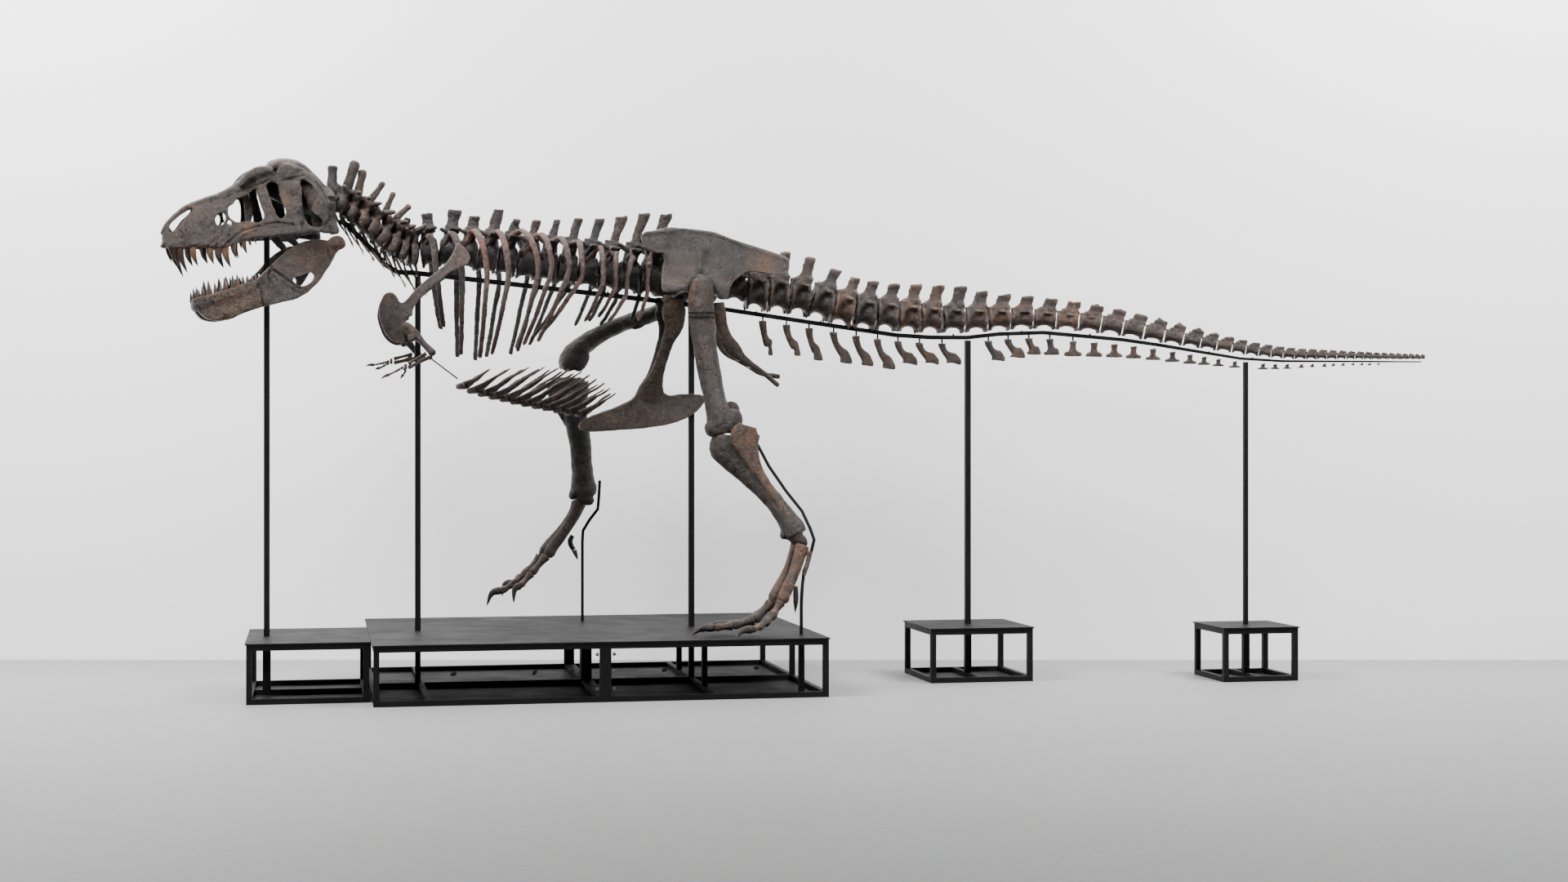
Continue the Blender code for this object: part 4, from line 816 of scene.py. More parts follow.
RIBS = (
    ((-1.47, 4.16), (-1.41, 3.85), (-1.34, 3.33)), ((-1.27, 4.19), (-1.18, 3.85), (-1.18, 3.08)),
    ((-1.06, 4.21), (-0.96, 3.8), (-1.01, 3.05)), ((-0.84, 4.21), (-0.77, 3.78), (-0.9, 3.08)),
    ((-0.63, 4.22), (-0.5, 3.84), (-0.67, 3.11)), ((-0.45, 4.19), (-0.38, 3.84), (-0.61, 3.17)),
    ((-0.27, 4.16), (-0.22, 3.84), (-0.48, 3.2)), ((-0.1, 4.13), (-0.1, 3.78), (-0.46, 3.25)),
    ((0.1, 4.08), (0.1, 3.74), (-0.05, 3.38)), ((0.25, 4.03), (0.22, 3.7), (0.08, 3.42)),
    ((0.41, 3.99), (0.33, 3.64), (0.18, 3.38)), ((0.56, 3.94), (0.54, 3.66), (0.46, 3.4)),
)
RIB_REACH = ((0, 0.33), (2, 0.5), (5, 0.57), (8, 0.5), (11, 0.28))
RIB_TUCK = ((0, 0.24), (3, 0.36), (7, 0.44), (11, 0.27))


def between(first, last, share):
    return first + (last - first) * share


def rib(i, side):
    (top_x, top_z), (mid_x, mid_z), (end_x, end_z) = RIBS[i]
    reach, tuck = smooth(RIB_REACH, i), smooth(RIB_TUCK, i)
    root_x = between(TRUNK_JOINTS[i], TRUNK_JOINTS[i + 1], 0.4)
    middle, _, _, _ = spine_at(root_x)
    roof = smooth(TRUNK_ROOF, root_x)
    slim = 1.0 - 0.025 * i
    path = [
        (root_x - 0.02, side * 0.12, middle[2] + 0.07, 0.04, 0.045),
        (
            between(root_x, top_x, 0.6), side * 0.2, between(middle[2] + 0.07, top_z, 0.8) - 0.01, 0.045,
            0.045
        ),
        (top_x, side * 0.285, top_z - 0.005, 0.07 * slim, 0.05),
        (
            between(top_x, mid_x, 0.4), side * between(0.27, reach, 0.52), between(top_z, mid_z, 0.16),
            0.074 * slim, 0.044
        ),
        (
            between(top_x, mid_x, 0.78), side * between(0.27, reach, 0.88), between(top_z, mid_z, 0.5),
            0.064 * slim, 0.04
        ),
        (between(top_x, mid_x, 1.0), side * reach, mid_z, 0.06 * slim, 0.036),
        (between(mid_x, end_x, 0.32), side * reach, between(mid_z, end_z, 0.33), 0.058 * slim, 0.032),
        (
            between(mid_x, end_x, 0.66), side * between(reach, tuck, 0.45), between(mid_z, end_z, 0.68),
            0.054 * slim, 0.029
        ),
        (end_x, side * tuck, end_z + 0.02, 0.05 * slim, 0.026),
        (end_x, side * tuck * 0.99, end_z, 0.034 * slim, 0.02),
    ]
    shells = [shaft(path, (1, 0, 0), 10, 4)]
    shells.append(shaft([
        (root_x + 0.03, side * 0.17, middle[2] + roof * 0.78, 0.05, 0.045),
        (between(root_x, top_x, 0.75), side * 0.235, top_z - 0.005, 0.052, 0.048),
        (top_x, side * 0.28, top_z - 0.02, 0.05, 0.04),
    ], (1, 0, 0), 8, 3))
    # Painted shade: the far ribs are toned dark and cool, the near ones lighter.
    tone, warm = (0.1, 0.1) if side > 0 else (chance.uniform(0.4, 0.62), chance.uniform(0.0, 0.4))
    rusty = 0.55 if 1 < i < 6 and side < 0 else 0.0
    head = (top_x + 0.02, side * 0.3, top_z - 0.1)
    return carved(
        shells, 0.0088, 2, 0.012, 0.007, tone=patches(tone, (head, 0.22, rusty * 0.3)),
        warm=patches(warm, (head, 0.25, rusty))
    )


RED_BONE = fossil_bone(
    "sealed_umber_fossil_bone", "#2e211e", "#5a4540", "#a08474", "#6e4434", 0.5, 1.0, "#94482a"
)
for title, side in (("left", -1), ("right", 1)):
    assembled(
        f"ribs_{title}", [rib(i, side) for i in range(12)], RED_BONE, "fossil_bone", f"ribcage_{title}"
    )

# ---- Sacrum ----
# Five vertebrae grown together between the hip blades, with broad ribs of their own that reach out to the
# blades.

SACRUM_JOINTS = joints_along(SACRUM_FRONT + 0.002, TAIL_FRONT - 0.002, [1.0] * 5)
sacrum = []
for i, (front, back) in enumerate(zip(SACRUM_JOINTS, SACRUM_JOINTS[1:])):
    sacrum.append(vertebra(
        front - 0.012, back + 0.012, 0.25 - 0.01 * i, 0.28 - 0.012 * i, 0.45 - 0.02 * i, 0.22, thick=0.05,
        lean=0.0,
        spine_long=(0.95, 1.0), rise=0.0, wing=0.55, foot=0.0,
    ))
assembled("sacrum_vertebrae", sacrum, DARK_BONE, "fossil_bone", "sacrum")

# ---- Tail vertebrae ----
# Forty-four, from drums as tall as a bucket to ones no bigger than a thumb. Spines stand up like boards on
# the
# first half, lean back further on, and die out near the tip. Each rests on two thin pins from the rail.

TAIL_PITCH = ((0, 0.225), (18, 0.2), (22, 0.145), (30, 0.1), (43, 0.052))
TAIL_JOINTS = joints_along(TAIL_FRONT, TAIL_END, [smooth(TAIL_PITCH, i) for i in range(44)])
TAIL_DRUM = (
    (1.5, 0.29), (2.1, 0.3), (2.9, 0.27), (3.54, 0.235), (4.4, 0.175), (5.4, 0.14), (6.03, 0.1),
    (6.8, 0.072), (7.5, 0.046), (7.95, 0.026),
)
TAIL_ROOF = ((1.5, 0.2), (2.9, 0.17), (4.4, 0.1), (5.4, 0.075), (6.03, 0.05), (6.8, 0.036), (7.95, 0.013))
TAIL_TIP = (
    (1.5, 0.4), (1.95, 0.4), (2.15, 0.37), (2.38, 0.33), (2.83, 0.31), (3.54, 0.31), (3.98, 0.23),
    (4.43, 0.195), (4.85, 0.165), (5.4, 0.13), (6.03, 0.09), (6.8, 0.055), (7.95, 0.02),
)
TAIL_SPAN = ((1.5, 0.28), (2.4, 0.24), (3.6, 0.16), (5.0, 0.06), (7.95, 0.01))
TAIL_RUNS = (0, 8, 16, 28, 44)
TAIL_ORANGE = (4, 7, 11, 14, 22)


def tail_vertebra(i):
    front, back = TAIL_JOINTS[i], TAIL_JOINTS[i + 1]
    x = (front + back) / 2
    drum = smooth(TAIL_DRUM, x)
    share = i / 43
    return vertebra(
        front, back, drum, smooth(TAIL_ROOF, x), smooth(TAIL_TIP, x),
        max(smooth(TAIL_SPAN, x) - 0.01, 0.0) if i < 24 else 0,
        thick=max(0.048 - 0.045 * share, 0.013), lean=0.1 + 0.5 * share, peg=0.09 if i < 34 else 0.0,
        spine_long=(0.56 + 0.22 * share, 0.56 + 0.2 * share), rise=-0.05, wing=0.34,
        fine=max(0.01 - 0.0062 * share, drum / 14),
        waist=0.74 + 0.08 * share, lip=drum * 0.1, foot=0.3, warm=0.85 if i in TAIL_ORANGE else 0.15,
    )


TAIL_BONE = fossil_bone("sealed_rusty_fossil_bone", "#2c211d", "#4f3c34", "#93796a", "#74492f", 0.45)
for number, (first, last) in enumerate(zip(TAIL_RUNS, TAIL_RUNS[1:]), 1):
    assembled(
        f"tail_vertebrae_{number}", [tail_vertebra(i) for i in range(first, last)], TAIL_BONE,
        "fossil_bone", f"tail_{number}",
    )

# ---- Chevrons ----
# Small forked bones that hang under the tail, boot shaped in front and like a T or an anvil further back.
# Each is
# wired to a short pin under the rail. The last ones are chips no longer than a finger.

RAIL_HEIGHT = (
    (-2.36, 4.31), (-2.29, 4.305), (-2.11, 4.165), (-1.98, 4.04), (-1.87, 3.91), (-1.75, 3.84),
    (-1.58, 3.835),
    (-0.5, 3.725), (0.67, 3.605), (1.3, 3.535), (2.12, 3.42), (2.99, 3.3), (3.33, 3.28), (3.68, 3.28),
    (3.99, 3.315), (4.42, 3.33), (4.75, 3.3), (5.17, 3.26), (5.5, 3.21), (5.83, 3.15), (6.26, 3.075),
    (6.63, 3.05), (7.3, 3.045), (7.9, 3.04),
)
CHEVRONS = (
    (1.69, 1.76, 0.33, 0.05), (1.92, 2.02, 0.3, 0.07), (2.14, 2.22, 0.31, 0.1), (2.38, 2.49, 0.3, 0.13),
    (2.6, 2.7, 0.29, 0.13), (2.81, 2.91, 0.29, 0.14), (3.01, 3.11, 0.22, 0.17), (3.22, 3.33, 0.2, 0.16),
    (3.44, 3.54, 0.19, 0.17), (3.89, 3.98, 0.19, 0.15), (4.08, 4.17, 0.18, 0.17), (4.28, 4.33, 0.16, 0.15),
    (4.48, 4.5, 0.16, 0.17), (4.7, 4.7, 0.15, 0.19), (4.9, 4.9, 0.14, 0.18), (5.09, 5.09, 0.13, 0.18),
    (5.27, 5.27, 0.12, 0.17), (5.45, 5.45, 0.11, 0.16), (5.63, 5.63, 0.1, 0.16), (5.79, 5.79, 0.09, 0.15),
    (5.92, 5.92, 0.08, 0.14), (6.05, 6.05, 0.07, 0.13), (6.2, 6.2, 0.06, 0.13), (6.46, 6.46, 0.055, 0.12),
    (6.57, 6.57, 0.05, 0.1), (6.68, 6.68, 0.045, 0.1), (6.81, 6.81, 0.035, 0.08), (6.91, 6.91, 0.03, 0.07),
    (7.02, 7.02, 0.03, 0.06), (7.1, 7.1, 0.025, 0.055), (7.19, 7.19, 0.025, 0.05),
    (7.28, 7.28, 0.02, 0.045),
    (7.36, 7.36, 0.02, 0.04), (7.43, 7.43, 0.02, 0.035), (7.51, 7.51, 0.015, 0.03),
)


def chevron(number, top_x, toe_x, tall, toe):
    hang = 0.055 if number < 14 else max(0.055 - 0.0022 * (number - 13), 0.018)
    side = smooth(SPINE_SWEEP, top_x)
    top_z = smooth(RAIL_HEIGHT, top_x) - hang
    boot = np.clip((4.3 - top_x) / 0.6, 0.0, 1.0)
    size = min(1.0, 0.3 + tall / 0.2)
    low_z = top_z - tall
    neck_x = between(top_x, toe_x, 0.45) - 0.012 * boot
    stem = [
        (top_x, side, top_z, 0.07 * size, 0.085 * size),
        (top_x + 0.002, side, top_z - 0.15 * tall, 0.06 * size, 0.074 * size),
        (neck_x, side, top_z - 0.46 * tall, 0.042 * size, 0.068 * size),
        (between(top_x, toe_x, 0.8), side, top_z - 0.66 * tall, 0.044 * size, 0.1 * size),
        (toe_x, side, low_z + 0.26 * tall, 0.044 * size, toe * (0.9 - 0.1 * boot)),
        (toe_x + toe * 0.1 * boot, side, low_z + 0.05 * tall, 0.046 * size, toe),
        (toe_x + toe * 0.1 * boot, side, low_z, 0.03 * size, toe * 0.8),
    ]
    return carved([shaft(stem, (0, 1, 0), 10, 4)], max(0.0088 * size, 0.0026), 2, 0.006 * size, 0.004 * size,
                  tone=chance.uniform(0.35, 0.85), warm=chance.uniform(0.0, 0.6))


chevron_nodes = [f"chevron_{number:02d}" for number in range(1, 15)]
assembled(
    "chevrons", [chevron(number, *shape) for number, shape in enumerate(CHEVRONS)], TAIL_BONE,
    "fossil_bone", *chevron_nodes,
)

# ---- Neck vertebrae ----
# Eight short blocks in an S. Each has a blunt leaning spine, broad knuckles over the next one behind, and
# a wing
# on each side that droops into a long thin neck rib.

NECK_JOINTS = joints_along(NECK_FRONT, TRUNK_FRONT - 0.02, np.linspace(1.0, 1.05, 8))
# Each spine's foot and tip as (x, height), and how wide it is there.
NECK_SPINES = (
    (-2.335, 4.6, -2.335, 4.79, 0.1), (-2.215, 4.55, -2.125, 4.84, 0.105),
    (-2.11, 4.51, -2.06, 4.765, 0.085),
    (-2.0, 4.47, -1.87, 4.665, 0.064), (-1.85, 4.4, -1.78, 4.575, 0.056),
    (-1.755, 4.335, -1.63, 4.46, 0.06),
    (-1.69, 4.21, -1.65, 4.345, 0.068), (-1.625, 4.12, -1.6, 4.225, 0.056),
)


def neck_vertebra(i):
    front, back = NECK_JOINTS[i], NECK_JOINTS[i + 1]
    x = (front + back) / 2
    drum = between(0.15, 0.235, i / 7)
    middle, along, left, up = spine_at(x)
    upright = np.array([0.3, 0.0, 0.954])
    long = (back - front) / along[0]
    roof = between(0.13, 0.19, i / 7)

    def at(back_share, side, height, lean=0.0):
        return middle + along * back_share * long + left * side + up * height + upright * lean

    shells = [shaft([
        (*at(s, 0, 0), w * drum, w * drum * 1.02)
        for s,
        w in (
            (-0.47, 0.85), (-0.44, 1.0), (-0.3, 0.92), (0.0, 0.78), (0.3, 0.94), (0.44, 1.02), (0.47, 0.9)
        )
    ], left, 14, 2)]
    shells.append(shaft([
        (*at(0, 0, drum * 0.25), drum * 1.0, long * 0.75),
        (*at(0.02, 0, roof * 0.9), drum * 0.85, long * 0.7),
        (*at(0.05, 0, roof * 1.15), drum * 0.45, long * 0.55),
    ], left, 10, 3))
    root_x, root_z, tip_x, tip_z, wide = NECK_SPINES[i]
    low = at(0.0, 0, roof * 0.6)
    root = np.array([root_x, smooth(SPINE_SWEEP, root_x), root_z])
    top = np.array([tip_x, smooth(SPINE_SWEEP, tip_x), tip_z])
    shells.append(shaft([
        (*low, 0.075, long * 0.85), (*(low * 0.4 + root * 0.6), 0.065, 0.05 + wide * 0.8),
        (*root, 0.06, 0.03 + wide * 0.8),
        (*between(root, top, 0.6), 0.052, wide * 0.92), (*between(root, top, 0.9), 0.07, wide),
        (*top, 0.05, wide * 0.62),
    ], left, 12, 4))
    for side in (-1, 1):
        shells.append(shaft([
            (*at(0.05, side * 0.03, roof * 0.95), 0.08, 0.07),
            (*at(0.32, side * drum * 0.42, roof * 1.2), 0.075, 0.055),
            (*at(0.62, side * drum * 0.52, roof * 1.42), 0.055, 0.038),
            (*at(0.7, side * drum * 0.52, roof * 1.5), 0.03, 0.02),
        ], left, 9, 3))
        shells.append(shaft([
            (*at(-0.05, side * 0.03, roof * 0.75), 0.08, 0.07),
            (*at(-0.38, side * drum * 0.4, roof * 0.98), 0.07, 0.05),
            (*at(-0.6, side * drum * 0.5, roof * 1.1), 0.05, 0.03),
        ], left, 9, 3))
        out = drum * 0.5
        shells.append(shaft([
            (*at(-0.05, side * out * 0.5, drum * 0.35), 0.09, 0.06),
            (*at(0.02, side * out * 1.25, drum * 0.15), 0.08, 0.045),
            (*at(0.02, side * out * 1.45, -drum * 0.2), 0.075, 0.035),
            (*at(0.0, side * out * 1.38, -drum * 0.42), 0.055, 0.03),
        ], along, 9, 3))
        start = at(0.02, side * out * 1.3, -drum * 0.3)
        end = spine_at(x)[0] + np.array([0.135, side * 0.125, -0.385])
        rod = through([start, start * 0.55 + end * 0.45 + np.array([-0.018, 0, 0.0]), end], 7)
        thick = np.linspace(0.028, 0.012, 7)
        shells.append(shaft([(*p, t * 1.4, t) for p, t in zip(rod, thick)], left, 8, 2))
    return carved(
        shells, 0.0076, 1, 0.01, 0.007, tone=chance.uniform(0.3, 0.65), warm=chance.uniform(0.0, 0.4)
    )


assembled("neck_vertebrae", [neck_vertebra(i) for i in range(8)], DARK_BONE, "fossil_bone", "neck")

# ---- Skull ----
# Two tall cheek walls of plate-like bones with wide windows between their struts, joined by the snout's
# roof, the
# brow, the domed crest and the braincase. The snout's sides are coarse and wrinkled, the cheeks smoother.

HEAD_JOINT = np.array([-2.35, -0.2, 0.0])
HEAD_TURN = math.radians(13.5)
FORWARD = np.array([-math.cos(HEAD_TURN), -math.sin(HEAD_TURN), 0.0])
LEFTWARD = np.array([math.sin(HEAD_TURN), -math.cos(HEAD_TURN), 0.0])


def head_at(ahead, up, left=0.0):
    """A point of the head: ahead of the neck joint along the head's middle plane, and left of it."""
    return HEAD_JOINT + FORWARD * ahead + LEFTWARD * left + np.array([0.0, 0.0, up])


# Half widths of the head at stations ahead of the neck joint: at the gums or cheek bones, halfway up, and
# at the roof.
HEAD_WIDTHS = (
    (1.5, 0.045, 0.04, 0.02), (1.46, 0.095, 0.08, 0.035), (1.34, 0.14, 0.12, 0.05),
    (1.15, 0.17, 0.14, 0.06),
    (0.94, 0.19, 0.155, 0.075), (0.8, 0.22, 0.18, 0.12), (0.69, 0.262, 0.225, 0.175),
    (0.56, 0.322, 0.285, 0.215),
    (0.4, 0.392, 0.345, 0.235), (0.28, 0.417, 0.362, 0.225), (0.12, 0.4, 0.34, 0.2), (0.0, 0.35, 0.3, 0.18),
)
ROOF_LINE = ((0.0, 4.5), (0.12, 4.62), (0.28, 4.72), (0.4, 4.74), (0.56, 4.68), (0.69, 4.67), (0.8, 4.58), (0.94, 4.48),
             (1.15, 4.4), (1.34, 4.3), (1.46, 4.19), (1.5, 4.13))
GUM_LINE = (
    (0.0, 4.15), (0.12, 4.13), (0.4, 4.115), (0.8, 4.06), (0.94, 4.01), (1.15, 3.985), (1.34, 3.985),
    (1.5, 4.03)
)


def head_half_width(ahead, up):
    """How far the cheek's outer face lies from the middle, for arrays of places."""
    stations = np.array(HEAD_WIDTHS)[::-1]
    low, middle, high = (np.interp(ahead, stations[:, 0], stations[:, k]) for k in (1, 2, 3))
    gum = np.interp(ahead, *np.array(GUM_LINE).T)
    roof = np.interp(ahead, *np.array(ROOF_LINE).T)
    share = np.clip((up - gum) / (roof - gum), 0.0, 1.15)
    lower = low + (middle - low) * np.minimum(share / 0.5, 1.0) ** 1.3
    return np.where(share < 0.5, lower, middle + (high - middle) * ((share - 0.5) / 0.5) ** 1.5)


def flat_plate(outline, thick, finer=4):
    """A flat board of a smooth outline of (u, v) points, standing in the u-v plane and centred on its
    thickness.
    """
    closed = np.array([*outline, outline[0]], float)
    p = np.vstack([closed[-2], closed, closed[1]])
    t = np.arange(len(outline) * finer) / finer
    i = t.astype(int)
    f = (t - i)[:, None]
    a, b, c, d = (p[i + k] for k in range(4))
    line = 0.5 * (
        2 * b + (c - a) * f + (2 * a - 5 * b + 4 * c - d) * f ** 2 + (3 * b - a - 3 * c + d) * f ** 3
    )
    return skin([np.column_stack([line, np.full(len(line), level)]) for level in (-thick / 2, thick / 2)])


# The left cheek wall seen from its side, as (ahead, height), and the windows through it.
CHEEK = (
    (1.495, 4.06), (1.5, 4.12), (1.48, 4.17), (1.43, 4.225), (1.34, 4.33), (1.22, 4.395), (1.04, 4.465),
    (0.92, 4.505),
    (0.83, 4.58), (0.72, 4.665), (0.63, 4.7), (0.555, 4.675), (0.52, 4.62), (0.49, 4.7), (0.42, 4.755),
    (0.32, 4.735),
    (0.2, 4.665), (0.1, 4.58), (0.03, 4.48), (0.035, 4.36), (0.085, 4.28), (0.06, 4.2), (0.04, 4.14),
    (0.13, 4.135),
    (0.24, 4.145), (0.32, 4.11), (0.45, 4.118), (0.6, 4.098), (0.76, 4.078), (0.86, 4.045), (0.95, 4.005),
    (1.08, 3.985),
    (1.22, 3.998), (1.34, 3.985), (1.44, 3.975), (1.485, 4.0),
)
NOSTRIL = (
    (1.452, 4.125), (1.435, 4.195), (1.35, 4.28), (1.265, 4.338), (1.245, 4.325), (1.31, 4.255),
    (1.375, 4.165), (1.425, 4.115)
)
SNOUT_WINDOW = (
    (1.055, 4.205), (1.065, 4.255), (1.03, 4.295), (0.985, 4.305), (0.975, 4.255), (0.995, 4.205),
    (1.03, 4.19)
)
SLIT = ((0.95, 4.185), (0.962, 4.225), (0.945, 4.245), (0.925, 4.235), (0.925, 4.195))
CHEEK_WINDOW = (
    (0.948, 4.285), (0.945, 4.355), (0.9, 4.395), (0.875, 4.435), (0.81, 4.455), (0.76, 4.5),
    (0.715, 4.535),
    (0.705, 4.47), (0.68, 4.38), (0.655, 4.28), (0.7, 4.225), (0.79, 4.235), (0.87, 4.225), (0.92, 4.245),
)
EYE_SOCKET = ((0.628, 4.565), (0.585, 4.59), (0.535, 4.565), (0.525, 4.475), (0.5, 4.39), (0.475, 4.325), (0.495, 4.27),
              (0.535, 4.262), (0.565, 4.315), (0.6, 4.42), (0.625, 4.51))
TEMPLE = ((0.345, 4.595), (0.3, 4.605), (0.235, 4.56), (0.2, 4.48), (0.24, 4.4), (0.262, 4.34), (0.225, 4.29),
          (0.175, 4.25), (0.175, 4.205), (0.235, 4.185), (0.3, 4.205), (0.33, 4.31), (0.35, 4.45))


def prism(outline, low=-0.2, high=0.2):
    points, faces = flat_plate(outline, 1.0)
    points[:, 2] = np.where(points[:, 2] > 0, high, low)
    return points, faces


def from_middle(side, ahead, out, up):
    """Points of the head, given how far each lies ahead, out from the middle plane on one side, and up."""
    left = side * out
    return HEAD_JOINT + ahead[:, None] * FORWARD + left[:, None] * LEFTWARD + up[:, None] * np.array(
        [0, 0, 1.0]
    )


def cheek_wall(side):
    """A cheek wall cut flat, then curved round to the head's width and swollen where its bones are
    thick.
    """
    points, faces, *_ = carved(
        [flat_plate(CHEEK, 0.05)], 0.008, 2, 0, 0,
        [prism(o) for o in (NOSTRIL, SNOUT_WINDOW, SLIT, CHEEK_WINDOW, EYE_SOCKET, TEMPLE)],
    )
    ahead, up, out = points.T
    half = head_half_width(ahead, up)
    swell = 0.03 * np.exp(-((ahead - 0.42) / 0.09) ** 2 - ((up - 4.42) / 0.12) ** 2)
    swell += 0.025 * np.exp(-((ahead - 0.3) / 0.1) ** 2 - ((up - 4.165) / 0.05) ** 2)
    swell += 0.018 * np.exp(-((ahead - 0.6) / 0.05) ** 2 - ((up - 4.66) / 0.05) ** 2)
    swell += 0.012 * np.exp(-((ahead - 1.15) / 0.22) ** 2 - ((up - 4.03) / 0.05) ** 2)
    thick = np.where(out > 0, out + swell, out)
    return from_middle(side, ahead, half - 0.025 + thick, up), [tuple(face) for face in faces]


def head_shaft(stations, side=(0.2334, -0.9724, 0.0), sides=12, finer=3):
    """A shaft given by head places: (ahead, height, left, width across the head, height)."""
    return shaft([(*head_at(a, u, l), w, h) for a, u, l, w, h in stations], side, sides, finer)


skull_shells = [cheek_wall(-1), cheek_wall(1)]
skull_shells.append(head_shaft([
    (1.49, 4.1, 0, 0.06, 0.07), (1.465, 4.185, 0, 0.075, 0.05), (1.4, 4.262, 0, 0.075, 0.045),
    (1.3, 4.345, 0, 0.1, 0.055),
    (1.15, 4.405, 0, 0.13, 0.075), (0.98, 4.465, 0, 0.15, 0.085), (0.85, 4.545, 0, 0.19, 0.09),
    (0.74, 4.63, 0, 0.3, 0.085),
    (0.64, 4.665, 0, 0.4, 0.08), (0.55, 4.645, 0, 0.42, 0.07), (0.44, 4.69, 0, 0.44, 0.1),
    (0.34, 4.7, 0, 0.4, 0.12),
    (0.24, 4.65, 0, 0.3, 0.14), (0.16, 4.58, 0, 0.3, 0.16),
], sides=16))
# The domed crest behind the brow rises as a blunt step, then falls away to the neck.
skull_shells.append(head_shaft([
    (0.535, 4.705, 0, 0.3, 0.08), (0.52, 4.735, 0, 0.42, 0.15), (0.46, 4.755, 0, 0.46, 0.145),
    (0.36, 4.755, 0, 0.4, 0.14),
    (0.27, 4.725, 0, 0.26, 0.12), (0.18, 4.66, 0, 0.14, 0.1), (0.1, 4.6, 0, 0.1, 0.08),
], sides=16))
# Premaxillae and the floor of the snout.
skull_shells.append(head_shaft([
    (1.495, 4.06, 0, 0.1, 0.15), (1.45, 4.045, 0, 0.18, 0.14), (1.38, 4.03, 0, 0.22, 0.1),
    (1.2, 4.04, 0, 0.28, 0.05),
    (0.95, 4.06, 0, 0.32, 0.035), (0.75, 4.1, 0, 0.34, 0.03),
]))
skull_shells.append(knob(head_at(1.455, 4.075, 0), (0.1, 0.15, 0.2)))
# Braincase, back wall and the ball that meets the neck.
skull_shells.append(head_shaft([
    (0.62, 4.56, 0, 0.16, 0.14), (0.45, 4.53, 0, 0.2, 0.2), (0.26, 4.47, 0, 0.24, 0.26),
    (0.12, 4.45, 0, 0.26, 0.24),
    (0.06, 4.46, 0, 0.2, 0.18),
]))
skull_shells.append(knob(head_at(0.02, 4.475, 0), (0.1, 0.11, 0.1)))
for side in (-1, 1):
    skull_shells.append(head_shaft([
        (0.1, 4.56, side * 0.03, 0.12, 0.16), (0.085, 4.5, side * 0.16, 0.14, 0.15),
        (0.07, 4.44, side * 0.28, 0.1, 0.13),
    ], (0, 0, 1)))
    skull_shells.append(head_shaft([
        (0.09, 4.42, side * 0.3, 0.1, 0.12), (0.075, 4.28, side * 0.31, 0.06, 0.1),
        (0.055, 4.165, side * 0.345, 0.12, 0.09),
        (0.05, 4.135, side * 0.35, 0.13, 0.075),
    ]))
    # Palate struts seen through the windows, and the hooked wing behind the teeth.
    skull_shells.append(head_shaft([
        (1.0, 4.1, side * 0.1, 0.05, 0.05), (0.75, 4.135, side * 0.12, 0.06, 0.06),
        (0.52, 4.17, side * 0.12, 0.07, 0.1),
        (0.3, 4.22, side * 0.17, 0.05, 0.16), (0.12, 4.26, side * 0.26, 0.04, 0.14),
    ]))
    skull_shells.append(head_shaft([
        (0.52, 4.17, side * 0.13, 0.05, 0.1), (0.46, 4.12, side * 0.21, 0.045, 0.085),
        (0.4, 4.065, side * 0.235, 0.04, 0.07),
        (0.345, 4.015, side * 0.235, 0.03, 0.045),
    ]))
    skull_shells.append(head_shaft([
        (0.8, 4.5, side * 0.1, 0.05, 0.05), (0.765, 4.36, side * 0.09, 0.04, 0.075),
        (0.77, 4.22, side * 0.1, 0.04, 0.06),
        (0.76, 4.15, side * 0.11, 0.05, 0.05),
    ]))
    # The quadrate and the braincase's wing behind the temple window.
    skull_shells.append(head_shaft([
        (0.3, 4.58, side * 0.22, 0.05, 0.12), (0.235, 4.47, side * 0.285, 0.05, 0.14),
        (0.215, 4.36, side * 0.3, 0.06, 0.12),
        (0.2, 4.26, side * 0.3, 0.05, 0.1), (0.19, 4.17, side * 0.31, 0.06, 0.1),
    ]))
    # Brow ridge, the boss over the eye and the knob at the cheek's lower corner.
    skull_shells.append(head_shaft([
        (0.85, 4.555, side * 0.12, 0.08, 0.06), (0.78, 4.625, side * 0.135, 0.09, 0.09),
        (0.71, 4.668, side * 0.155, 0.1, 0.105),
        (0.63, 4.685, side * 0.18, 0.11, 0.105), (0.575, 4.675, side * 0.19, 0.1, 0.085),
    ]))
    skull_shells.append(knob(head_at(0.445, 4.675, side * 0.225), (0.19, 0.13, 0.19)))
    skull_shells.append(knob(head_at(0.4, 4.5, side * 0.335), (0.12, 0.07, 0.2)))
    skull_shells.append(knob(head_at(0.27, 4.155, side * 0.395), (0.16, 0.06, 0.07)))


def weathered(points, amount, size, seed=0.0):
    """Points pushed about by soft noise of that size, mostly inwards, as on wrinkled bone."""
    shift = np.array([noise.noise(Vector(p) / size + Vector((seed, 0, 0))) for p in points])
    return shift * amount


def distance_to(line, ahead, up):
    """How far each place of the head's side view lies from a smooth line."""
    track = through(line, 40)
    return np.sqrt(((np.stack([ahead, up], 1)[:, None] - track) ** 2).sum(2)).min(1)


